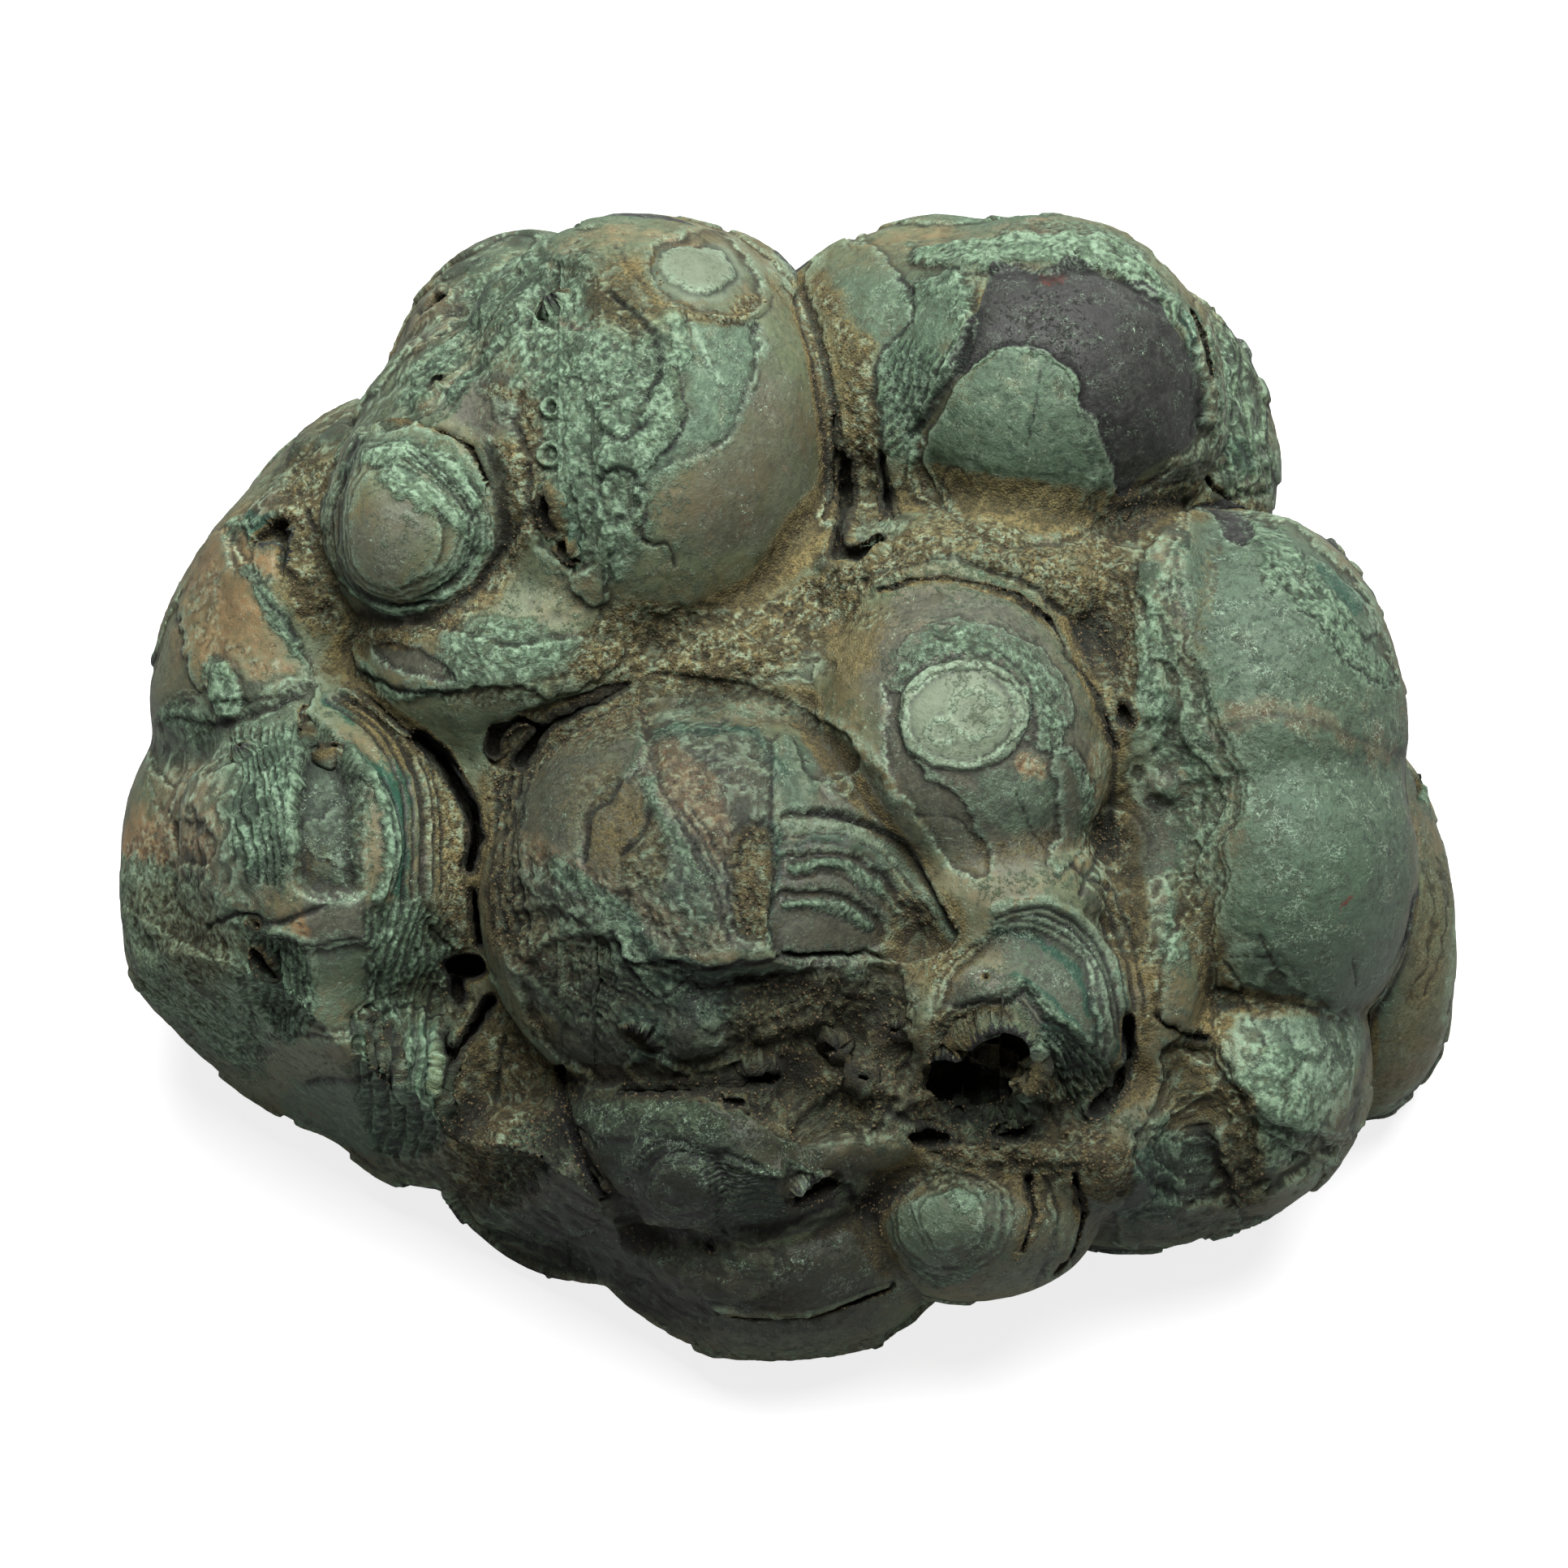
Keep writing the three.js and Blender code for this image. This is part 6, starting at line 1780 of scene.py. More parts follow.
@dataclass
class Tones:
    """How strongly each tone lies at each point of the skin."""

    sight: Sight
    values: Array = field(init=False)

    def __post_init__(self) -> None:
        """Starts from tones that wander over the whole skin."""
        world = self.sight.world
        hidden = 1.0 - self.sight.facing
        self.values = np.zeros((len(Tone), len(world)))
        spread = {Tone.TEAL: 0.55, Tone.PLUM: 0.42, Tone.MINT: 0.38, Tone.DUST: 0.45, Tone.TAN: 0.3}
        for number, (tone, most) in enumerate(spread.items()):
            lie = ramp(Noise(60 + number, 38.0, 3).at(world), -0.25, 0.75)
            self.values[tone.value] = most * lie * (0.35 + 0.65 * hidden)
        patch = ramp(Noise(70, 46.0, 3).at(world), 0.42, 0.5)
        self.values[Tone.JET.value] = 1.1 * patch * ramp(hidden, 0.8, 1.0)

    def lay(self, tone: Tone, stain: Stain) -> None:
        """Lays one stain over what is there."""
        index = self.sight.near(stain.points, stain.wide + stain.soft + stain.ragged + 1.0)
        uv = self.sight.roughened(index, stain.ragged)
        if stain.wide > 0.0:
            inner = stain.wide - line_distance(uv, stain.points)
        else:
            inner = outline_distance(uv, stain.points)
        laid = stain.strength * ramp(inner, -stain.soft, stain.soft) * self.sight.facing[index]
        row = self.values[tone.value]
        row[index] = np.maximum(row[index], laid)

    def build(self) -> None:
        """Lays all the stains."""
        for tone, stains in STAINS.items():
            for stain in stains:
                self.lay(tone, stain)


# ---------------------------------------------------------------- the finishes

LAMP_GAIN = 1.5


def linear(red: float, green: float, blue: float) -> tuple[float, float, float, float]:
    """A colour as it looks under the studio's lamps, from 0 to 255, as the shader's linear values."""

    def one(value: float) -> float:
        """One channel."""
        v = value / 255.0
        return (v / 12.92 if v <= 0.04045 else ((v + 0.055) / 1.055) ** 2.4) / LAMP_GAIN

    return one(red), one(green), one(blue), 1.0


Socket = bpy.types.NodeSocket
Value = Socket | float


@dataclass
class NodeDesk:
    """Lays out shader nodes in a tree."""

    tree: bpy.types.NodeTree

    def node(self, kind: str, **settings: object) -> bpy.types.Node:
        """A new node with some of its settings."""
        made = self.tree.nodes.new(kind)
        for name, setting in settings.items():
            setattr(made, name, setting)
        return made

    def feed(self, target: Socket, source: object) -> None:
        """Links a socket into another, or sets the other's own value."""
        if isinstance(source, bpy.types.NodeSocket):
            self.tree.links.new(source, target)
        else:
            target.default_value = source

    def math(self, operation: str, a: Value, b: Value = 0.0, clamp: bool = False) -> Socket:
        """A sum, product or other operation on one or two values."""
        made = self.node("ShaderNodeMath", operation=operation, use_clamp=clamp)
        self.feed(made.inputs[0], a)
        self.feed(made.inputs[1], b)
        return made.outputs[0]

    def ramp(self, value: Value, low: float, high: float) -> Socket:
        """Rises smoothly from 0 to 1 as the value goes from `low` to `high`."""
        made = self.node("ShaderNodeMapRange", interpolation_type="SMOOTHSTEP")
        for name, source in (("Value", value), ("From Min", low), ("From Max", high)):
            self.feed(made.inputs[name], source)
        return made.outputs["Result"]

    def mix(self, factor: Value, a: object, b: object, blend: str = "MIX") -> Socket:
        """One colour over another."""
        made = self.node("ShaderNodeMix", data_type="RGBA", blend_type=blend)
        self.feed(made.inputs["Factor"], factor)
        self.feed(made.inputs[6], a)
        self.feed(made.inputs[7], b)
        return made.outputs[2]

    def noise(self, scale: float, detail: float, rough: float, vector: Socket | None = None,
              distortion: float = 0.0) -> Socket:
        """A cloud pattern.

        Args:
            scale: Clouds per metre.
            detail: How many finer layers it has.
            rough: How strong the finer layers are.
            vector: Where it is read, or None for the object's own coordinates.
            distortion: How much the clouds are twisted.

        Returns:
            The pattern's value.
        """
        made = self.node("ShaderNodeTexNoise")
        if vector is not None:
            self.feed(made.inputs["Vector"], vector)
        settings = {"Scale": scale, "Detail": detail, "Roughness": rough, "Distortion": distortion}
        for name, setting in settings.items():
            made.inputs[name].default_value = setting
        return made.outputs["Fac"]

    def place(self) -> Socket:
        """The object's own coordinates."""
        return self.node("ShaderNodeTexCoord").outputs["Object"]

    def stretched(self, place: Socket, turn: tuple[float, float, float],
                  scale: tuple[float, float, float]) -> Socket:
        """Coordinates turned and stretched, for a pattern that runs one way."""
        made = self.node("ShaderNodeMapping")
        self.feed(made.inputs["Vector"], place)
        made.inputs["Rotation"].default_value = turn
        made.inputs["Scale"].default_value = scale
        return made.outputs["Vector"]

    def fields(self, name: str) -> tuple[Socket, Socket, Socket, Socket]:
        """The four fields stored in one attribute of the mesh."""
        made = self.node("ShaderNodeAttribute", attribute_name=name)
        split = self.node("ShaderNodeSeparateColor")
        self.feed(split.inputs["Color"], made.outputs["Color"])
        return (*split.outputs[:3], made.outputs["Alpha"])

    def group(self, tree: bpy.types.NodeTree, **inputs: Value) -> bpy.types.Node:
        """A placed node group with its inputs."""
        made = self.node("ShaderNodeGroup", node_tree=tree)
        for name, source in inputs.items():
            self.feed(made.inputs[name], source)
        return made


@dataclass
class Effects:
    """Effects that the finishes share, each a node group built once."""

    mask_tree: bpy.types.NodeTree = field(init=False)
    flakes_tree: bpy.types.NodeTree = field(init=False)
    sand_tree: bpy.types.NodeTree = field(init=False)

    def __post_init__(self) -> None:
        """Builds the groups."""
        self.mask_tree = self.ragged_mask()
        self.flakes_tree = self.flakes()
        self.sand_tree = self.sand()

    @staticmethod
    def _tree(name: str, inputs: dict[str, float], outputs: tuple[str, ...]) -> NodeDesk:
        """A new group with value sockets, and the desk to fill it."""
        tree = bpy.data.node_groups.new(name, "ShaderNodeTree")
        for socket, value in inputs.items():
            made = tree.interface.new_socket(socket, in_out="INPUT", socket_type="NodeSocketFloat")
            made.default_value = value
        for socket in outputs:
            tree.interface.new_socket(socket, in_out="OUTPUT", socket_type="NodeSocketFloat")
        return NodeDesk(tree)

    def ragged_mask(self) -> bpy.types.NodeTree:
        """A mask with a ragged edge: a field pushed about by a noise and cut off."""
        desk = self._tree("ragged_mask", {"Field": 0, "Noise": 0.5, "Spread": 1, "Edge": 0.2}, ("Mask",))
        given = desk.node("NodeGroupInput").outputs
        pushed = desk.math("MULTIPLY", desk.math("SUBTRACT", given["Noise"], 0.5), given["Spread"])
        total = desk.math("SUBTRACT", desk.math("ADD", given["Field"], pushed), 0.5)
        cut = desk.math("ADD", desk.math("DIVIDE", total, given["Edge"]), 0.5, clamp=True)
        present = desk.ramp(given["Field"], 0.02, 0.15)
        result = desk.node("NodeGroupOutput")
        desk.feed(result.inputs["Mask"], desk.math("MULTIPLY", cut, present))
        return desk.tree

    def flakes(self) -> bpy.types.NodeTree:
        """Thin flakes laid over each other: their height, and masks for a painted highlight on their edges
        and painted shade at their feet.
        """
        desk = self._tree("flakes", {"Field": 0.5, "Levels": 8}, ("Height", "Rim", "Foot"))
        given = desk.node("NodeGroupInput").outputs
        level = desk.math("MULTIPLY", given["Field"], given["Levels"])
        part = desk.math("FRACT", level)
        whole = desk.math("FLOOR", level)
        step = desk.math("ADD", whole, desk.ramp(part, 0.0, 0.18))
        result = desk.node("NodeGroupOutput")
        desk.feed(result.inputs["Height"], desk.math("DIVIDE", step, given["Levels"]))
        rim = desk.math("MULTIPLY", desk.ramp(part, 0.0, 0.12),
            desk.math("SUBTRACT", 1.0, desk.ramp(part, 0.15, 0.5)))
        desk.feed(result.inputs["Rim"], rim)
        desk.feed(result.inputs["Foot"], desk.ramp(part, 0.78, 1.0))
        return desk.tree

    def sand(self) -> bpy.types.NodeTree:
        """Packed sand: its height and how light each grain is."""
        desk = self._tree("sand", {"Size": 0.4}, ("Height", "Light"))
        given = desk.node("NodeGroupInput").outputs
        scale = desk.math("DIVIDE", 1000.0, given["Size"])
        cells = desk.node("ShaderNodeTexVoronoi")
        desk.feed(cells.inputs["Vector"], desk.place())
        desk.feed(cells.inputs["Scale"], scale)
        split = desk.node("ShaderNodeSeparateColor")
        desk.feed(split.inputs["Color"], cells.outputs["Color"])
        result = desk.node("NodeGroupOutput")
        desk.feed(result.inputs["Height"], desk.math("SUBTRACT", 1.0, cells.outputs["Distance"]))
        desk.feed(result.inputs["Light"], split.outputs[0])
        return desk.tree


@dataclass(frozen=True)
class MalachiteFinish:
    """Weathered malachite: green skin, mint crust, purple patches, brown sand, painted shade in cracks and
    hollows, painted highlights on ledges.
    """

    name: str = "weathered_malachite"
    olive: tuple[float, ...] = linear(105, 115, 86)
    olive_dark: tuple[float, ...] = linear(76, 86, 64)
    umber: tuple[float, ...] = linear(110, 102, 72)
    teal: tuple[float, ...] = linear(44, 72, 58)
    teal_light: tuple[float, ...] = linear(99, 124, 99)
    plum: tuple[float, ...] = linear(70, 70, 62)
    plum_light: tuple[float, ...] = linear(98, 99, 82)
    jet: tuple[float, ...] = linear(42, 43, 40)
    jet_light: tuple[float, ...] = linear(74, 76, 71)
    deep: tuple[float, ...] = linear(16, 46, 36)
    deep_light: tuple[float, ...] = linear(42, 96, 72)
    dust: tuple[float, ...] = linear(78, 70, 40)
    dust_light: tuple[float, ...] = linear(138, 123, 77)
    tan: tuple[float, ...] = linear(116, 88, 52)
    tan_light: tuple[float, ...] = linear(176, 140, 96)
    mint_dark: tuple[float, ...] = linear(84, 112, 88)
    mint: tuple[float, ...] = linear(108, 143, 109)
    # Pale mint of the crust and its specks, also used for the painted highlights on ledge and flake edges.
    mint_light: tuple[float, ...] = linear(171, 200, 169)
    chalk: tuple[float, ...] = linear(114, 127, 103)
    rust: tuple[float, ...] = linear(112, 60, 48)
    # The colour of the painted shade in cracks, hollows and at the feet of ledges.
    shade: tuple[float, ...] = linear(13, 16, 12)
    # The dark colour that the painted shade multiplies in.
    shade_and_film: tuple[float, ...] = (0.16, 0.16, 0.12, 1.0)

    def build(self, effects: Effects) -> bpy.types.Material:
        """Makes the material.

        Args:
            effects: The effects shared by the finishes.

        Returns:
            The finished material.
        """
        material = bpy.data.materials.new(self.name)
        material.use_nodes = True
        shader = material.node_tree.nodes["Principled BSDF"]
        desk = NodeDesk(material.node_tree)
        place = desk.place()
        big = desk.noise(55.0, 4.0, 0.6, place)
        middle = desk.noise(210.0, 6.0, 0.66, place, 0.5)
        other = desk.noise(340.0, 6.0, 0.68, desk.stretched(place, (0.4, 1.1, 2.0), (1, 1, 1)), 1.0)
        fine = desk.noise(900.0, 5.0, 0.72, place, 0.3)
        mint, teal, plum, jet = desk.fields("tone_a")
        deep, dust, tan, rust = desk.fields("tone_b")
        chalk, hollow, edge, broken = desk.fields("tone_c")
        rim, foot, crack, banded = desk.fields("form")
        # The layer attribute holds the growth bands and the field of painted shade.
        band, painted_shade, _, _ = desk.fields("layer")
        grains = desk.group(effects.sand_tree, Size=0.42)
        mixed = desk.math("ADD", desk.math("MULTIPLY", other, 0.55), desk.math("MULTIPLY", fine, 0.45))
        speckle = desk.noise(1300.0, 4.0, 0.7, place, 0.5)
        speckle = desk.math("ADD", desk.math("MULTIPLY", other, 0.45),
            desk.math("MULTIPLY", speckle, 0.55))

        def ragged(tone: Socket, noise: Socket, spread: float, cut: float) -> Socket:
            """The ragged mask of one tone."""
            made = desk.group(effects.mask_tree, Field=tone, Noise=noise, Spread=spread, Edge=cut)
            return made.outputs["Mask"]

        def share(mask: Socket, part: float) -> Socket:
            """Part of a mask."""
            return desk.math("MULTIPLY", mask, part)

        colour = desk.mix(desk.ramp(big, 0.42, 0.62), self.olive, self.umber)
        colour = desk.mix(desk.ramp(mixed, 0.42, 0.66), colour, self.olive_dark)
        plum_mask = ragged(plum, middle, 1.4, 0.6)
        plum_tone = desk.mix(desk.ramp(fine, 0.35, 0.65), self.plum, self.plum_light)
        colour = desk.mix(share(plum_mask, 0.9), colour, plum_tone)
        teal_mask = ragged(teal, mixed, 1.6, 0.6)
        teal_tone = desk.mix(desk.ramp(mixed, 0.38, 0.62), self.teal, self.teal_light)
        colour = desk.mix(share(teal_mask, 0.85), colour, teal_tone)
        tan_mask = ragged(tan, middle, 1.6, 0.7)
        colour = desk.mix(share(tan_mask, 0.9), colour, desk.mix(fine, self.tan, self.tan_light))
        deep_mask = ragged(deep, mixed, 1.4, 0.4)
        colour = desk.mix(deep_mask, colour, desk.mix(fine, self.deep, self.deep_light))

        convex = desk.math("MULTIPLY", edge, -6.0, clamp=True)
        concave = desk.math("MULTIPLY", edge, 6.0, clamp=True)
        crust_field = desk.math("ADD", mint, share(convex, 0.2))
        crust = ragged(crust_field, speckle, 2.4, 0.5)
        scale = desk.mix(desk.ramp(fine, 0.34, 0.54), self.mint_dark, self.mint)
        scale = desk.mix(share(desk.ramp(fine, 0.54, 0.72), 0.8), scale, self.mint_light)
        colour = desk.mix(share(crust, 0.8), colour, scale)

        flakes = desk.group(effects.flakes_tree, Field=mixed, Levels=11.0)
        flaky = desk.math("MAXIMUM", crust, share(broken, 0.8))
        flaky = desk.math("MAXIMUM", flaky, share(teal_mask, 0.35))
        # Painted highlight on the flakes' edges and painted shade at their feet.
        flake_edge_highlight = desk.math("MULTIPLY", flakes.outputs["Rim"], flaky)
        flake_foot_shade = desk.math("MULTIPLY", flakes.outputs["Foot"], flaky)
        colour = desk.mix(share(flake_edge_highlight, 0.4), colour, self.mint_light)
        colour = desk.mix(share(flake_foot_shade, 0.32), colour, self.shade)

        lie = share(desk.ramp(hollow, 0.3, 0.8), 0.9)
        dust_field = desk.math("MAXIMUM", dust, lie)
        dust_field = desk.math("ADD", dust_field, share(concave, 0.25))
        dusty = ragged(dust_field, mixed, 1.8, 0.5)
        soil = desk.mix(grains.outputs["Light"], self.dust, self.dust_light)
        colour = desk.mix(share(dusty, 0.9), colour, soil)

        jet_mask = ragged(jet, fine, 0.5, 0.12)
        jet_tone = desk.mix(desk.ramp(mixed, 0.4, 0.64), self.jet, self.jet_light)
        colour = desk.mix(jet_mask, colour, jet_tone)
        colour = desk.mix(ragged(chalk, fine, 1.6, 0.4), colour, self.chalk)
        colour = desk.mix(ragged(rust, fine, 1.8, 0.3), colour, self.rust)

        stripe = desk.math("PINGPONG", desk.math("ADD", band, share(mixed, 1.2)), 0.5)
        stripe = desk.ramp(stripe, 0.1, 0.4)
        layered = desk.ramp(banded, 0.3, 0.9)
        colour = desk.mix(share(layered, 0.55), colour, desk.mix(stripe, self.deep, self.mint))

        # Painted highlight on the raised side of ledge edges; painted shade at their feet, in cracks, in
        # small hollows and in the hollows between lobes.
        rim = desk.math("MULTIPLY", rim, desk.ramp(mixed, 0.42, 0.58))
        colour = desk.mix(share(rim, 0.7), colour, self.mint_light)
        colour = desk.mix(share(foot, 0.65), colour, self.shade)
        colour = desk.mix(share(crack, 0.75), colour, self.shade)
        colour = desk.mix(share(concave, 0.52), colour, self.shade)
        colour = desk.mix(share(desk.ramp(hollow, 0.82, 1.16), 0.75), colour, self.shade)

        # Painted shade: the colour is darkened where that field lies, chiefly over the lower front and
        # underside.
        shade_and_film = ragged(painted_shade, middle, 1.0, 1.0)
        colour = desk.mix(shade_and_film, colour, self.shade_and_film, "MULTIPLY")

        specks = self._specks(desk, place, middle)
        covered = desk.math("MAXIMUM", dusty, desk.ramp(chalk, 0.2, 0.6))
        clean = desk.math("SUBTRACT", 1.0, share(covered, 0.8))
        specks = desk.math("MULTIPLY", specks, clean)
        colour = desk.mix(share(specks, 0.75), colour, self.mint_light)
        lace = desk.math("MULTIPLY", self._lace(desk, place, middle), clean)
        scaly = desk.math("MAXIMUM", crust, teal_mask)
        lace = desk.math("MULTIPLY", lace, desk.math("ADD", 0.35, share(scaly, 0.65)))
        colour = desk.mix(share(lace, 0.6), colour, self.mint_light)
        desk.feed(shader.inputs["Base Color"], colour)

        rough = desk.math("ADD", 0.5, share(fine, 0.15))
        rough = desk.math("ADD", rough, share(crust, 0.15))
        rough = desk.math("ADD", rough, share(dusty, 0.35), clamp=True)
        desk.feed(shader.inputs["Roughness"], rough)
        shader.inputs["Specular IOR Level"].default_value = 0.35

        height = desk.math("ADD", share(fine, 0.22), share(desk.math("MULTIPLY", fine, flaky), 0.3))
        flake_height = share(flakes.outputs["Height"], 0.7)
        height = desk.math("ADD", height, desk.math("MULTIPLY", flake_height, flaky))
        height = desk.math("ADD", height, desk.math("MULTIPLY", share(stripe, 0.25), layered))
        gritty = desk.math("ADD", 0.02, share(dusty, 0.22))
        height = desk.math("ADD", height, desk.math("MULTIPLY", grains.outputs["Height"], gritty))
        height = desk.math("ADD", height, share(specks, 0.05))
        bump = desk.node("ShaderNodeBump")
        bump.inputs["Distance"].default_value = MM
        bump.inputs["Strength"].default_value = 1.0
        desk.feed(bump.inputs["Height"], height)
        desk.feed(shader.inputs["Normal"], bump.outputs["Normal"])
        return material

    def _lace(self, desk: NodeDesk, place: Socket, middle: Socket) -> Socket:
        """Thin wandering pale lines, like the edges of worn films."""
        total = 0.0
        for scale, twist, level in ((260.0, 1.6, 0.47), (420.0, 1.0, 0.53)):
            shade_and_film = desk.noise(scale, 5.0, 0.6, place, twist)
            off = desk.math("ABSOLUTE", desk.math("SUBTRACT", shade_and_film, level))
            total = desk.math("MAXIMUM", total, desk.math("SUBTRACT", 1.0, desk.ramp(off, 0.003, 0.012)))
        return desk.math("MULTIPLY", total, desk.ramp(middle, 0.46, 0.6))

    def _specks(self, desk: NodeDesk, place: Socket, middle: Socket) -> Socket:
        """Pale specks and short scratches, thicker in some places than others."""
        total = desk.ramp(desk.noise(1500.0, 3.0, 0.6, place), 0.62, 0.7)
        turns = (((0.3, 0.2, 0.9), (260, 1900, 1900)), ((1.2, 0.5, 0.1), (1900, 1900, 260)),
                 ((0.7, 0.9, 2.2), (1700, 280, 1700)))
        for turn, scale in turns:
            lines = desk.noise(1.0, 3.0, 0.6, desk.stretched(place, turn, scale), 0.6)
            total = desk.math("MAXIMUM", total, desk.ramp(lines, 0.66, 0.74))
        return desk.math("MULTIPLY", total, desk.ramp(middle, 0.42, 0.66))


@dataclass(frozen=True)
class GritFinish:
    """Loose brown sand grains."""

    name: str = "brown_sand"
    dark: tuple[float, ...] = linear(66, 56, 36)
    pale: tuple[float, ...] = linear(106, 92, 62)

    def build(self, effects: Effects) -> bpy.types.Material:
        """Makes the material."""
        material = bpy.data.materials.new(self.name)
        material.use_nodes = True
        shader = material.node_tree.nodes["Principled BSDF"]
        desk = NodeDesk(material.node_tree)
        grains = desk.group(effects.sand_tree, Size=0.9)
        colour = desk.mix(grains.outputs["Light"], self.dark, self.pale)
        desk.feed(shader.inputs["Base Color"], colour)
        shader.inputs["Roughness"].default_value = 0.92
        return material


# ---------------------------------------------------------------- the skin as a mesh


def normals_of(points: Array, faces: Array) -> Array:
    """Outward directions at the points of a triangle mesh.

    Args:
        points: The mesh's points.
        faces: Its triangles.

    Returns:
        One unit direction per point.
    """
    a, b, c = (points[faces[:, n]] for n in range(3))
    cross = np.cross(b - a, c - a)
    total = np.zeros_like(points)
    for axis in range(3):
        for n in range(3):
            total[:, axis] += np.bincount(faces[:, n], cross[:, axis], len(points))
    return total / (np.linalg.norm(total, axis=1)[:, None] + 1e-12)


def smoothed(points: Array, faces: Array, rounds: int) -> Array:
    """The points after each has moved to the middle of its neighbours some times."""
    near = np.concatenate([faces[:, [0, 1]], faces[:, [1, 2]], faces[:, [2, 0]]])
    share = 1.0 / np.maximum(np.bincount(near[:, 0], minlength=len(points)), 1)
    for _ in range(rounds):
        moved = [np.bincount(near[:, 0], points[near[:, 1], axis], len(points)) for axis in range(3)]
        points = np.stack(moved, axis=1) * share[:, None]
    return points


def triangle_mesh(name: str, points: Array, faces: Array) -> bpy.types.Mesh:
    """A smooth-shaded mesh from points in mm.

    Args:
        name: The mesh's name.
        points: Standing points in mm.
        faces: Triangles, facing outward.

    Returns:
        The mesh, in metres.
    """
    mesh = bpy.data.meshes.new(name)
    mesh.vertices.add(len(points))
    mesh.vertices.foreach_set("co", (points * MM).astype(np.float32).ravel())
    mesh.loops.add(faces.size)
    mesh.loops.foreach_set("vertex_index", faces.astype(np.int32).ravel())
    mesh.polygons.add(len(faces))
    mesh.polygons.foreach_set("loop_start", np.arange(0, faces.size, 3, dtype=np.int32))
    mesh.polygons.foreach_set("use_smooth", np.ones(len(faces), bool))
    mesh.update(calc_edges=True)
    return mesh


@dataclass(frozen=True)
class Block:
    """One of the closed blocks that the stone is kept in, and the flat cuts that bound it."""

    name: str
    triangles: int
    cuts: tuple[Cut, ...]


@dataclass
class Specimen:
    """The stone itself: its skin in a few closed blocks, with the fields that its finish follows."""

    ease: float = 2.5
    wall_gap: float = 0.05
    foot_snap: float = 0.3
    lap: float = 3.0
    sink: float = 0.35
    quick_pitch: float = 1.1
    quick_triangles: int = 30_000
    hollow_reaches: tuple[float, ...] = (3.0, 6.0, 10.0)
    hollow_gain: float = 1.6
    hollow_most: float = 1.2
    close_rounds: int = 4
    wide_rounds: int = 12
    wide_share: float = 0.35
    # Widths of the painted highlight on ledge edges and of the painted shade at their feet.
    rim_width: float = 1.3
    foot_width: float = 0.9
    blocks: tuple[Block, ...] = (
        Block("stone_left", 190_000, (Cut(-9.0, True), Cut(-33.0, False, False))),
        Block("stone_middle", 190_000, (Cut(-9.0, True), Cut(-39.0), Cut(37.0, False, False))),
        Block("stone_right", 190_000, (Cut(-9.0, True), Cut(31.0))),
        Block("stone_back", 190_000, (Cut(-3.0, True, False),)),
    )
    pieces: list[bpy.types.Object] = field(default_factory=list)
    beds: list[Array] = field(default_factory=list)

    def build(self, material: bpy.types.Material) -> None:
        """Builds the stone and dresses it.

        Args:
            material: The stone's finish.
        """
        mass = Mass()
        mass.build()
        log.info("mass laid out")
        for block in self.blocks:
            self._build_block(mass, block, material)

    def _build_block(self, mass: Mass, block: Block, material: bpy.types.Material) -> None:
        """Builds one block of the stone."""
        bare, faces = mass.part(block.cuts).skin()
        normals = mass.slope(bare)
        sight = Sight.of(bare, normals)
        tones = Tones(sight)
        tones.build()
        hollow = self._hollowness(mass, bare, normals)
        dusty = np.maximum(tones.values[Tone.DUST.value], hollow - 0.2)
        relief = Relief(sight, self._crusty(tones), dusty, hollow)
        relief.build()
        own = ramp(mass.sample(bare), -0.8, -0.2)
        seen = FACE.to_face(bare)
        deep = -np.max([cut.beyond(seen[:, 0], seen[:, 2]) for cut in block.cuts], axis=0)
        height = relief.height * own - self.sink * (1.0 - ramp(deep, 0.2, self.lap))
        height *= ramp(bare[:, 2], 0.4, 2.5)
        carved = self._held_in_box(bare + normals * height[:, None])
        lies = (relief.dusty > 0.7) & (sight.facing > 0.9) & (own > 0.9)
        lies &= (deep > 1.0) & (carved[:, 2] > 1.0)
        self.beds.append(carved[lies])
        mesh = self._thinned(block, carved, faces, self._fields(tones, relief, carved, faces))
        mesh.materials.append(material)
        piece = bpy.data.objects.new(block.name, mesh)
        bpy.context.collection.objects.link(piece)
        self.pieces.append(piece)
        log.info("%s: %d triangles of %d", block.name, len(mesh.polygons), len(faces))

    def _crusty(self, tones: Tones) -> Array:
        """How rough and flaky the crust is at each point, from 0 to 1."""
        rows = tones.values
        crust = 0.8 * rows[Tone.MINT.value] + 0.35 * rows[Tone.DUST.value] + 0.35 * rows[Tone.TAN.value]
        smooth = np.maximum(rows[Tone.JET.value], rows[Tone.CHALK.value])
        return np.clip(crust + 0.1 - 0.9 * smooth, 0.0, 1.0)

    def _held_in_box(self, points: Array) -> Array:
        """Eases points that would leave the CAD box back into it."""
        low, high = (np.array(corner, float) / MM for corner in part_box(NODE))
        held = points.copy()
        for axis in range(3):
            for sign, wall in ((1.0, high[axis]), (-1.0, low[axis])):
                if axis == 2 and sign < 0.0:
                    continue
                limit = sign * wall - self.wall_gap
                over = sign * held[:, axis] - (limit - self.ease)
                eased = limit - self.ease * np.exp(-np.maximum(over, 0.0) / self.ease)
                held[:, axis] = np.where(over > 0.0, sign * eased, held[:, axis])
        held[:, 2] = np.where(held[:, 2] < self.foot_snap, 0.0, held[:, 2])
        return held

    def _curvature(self, points: Array, faces: Array) -> Array:
        """How hollow the skin is at a small scale, negative on sharp edges."""
        normals = normals_of(points, faces)
        close = smoothed(points, faces, self.close_rounds)
        wide = smoothed(close, faces, self.wide_rounds)
        near, far = ((close - points) * normals).sum(1), ((wide - points) * normals).sum(1)
        return near + self.wide_share * far

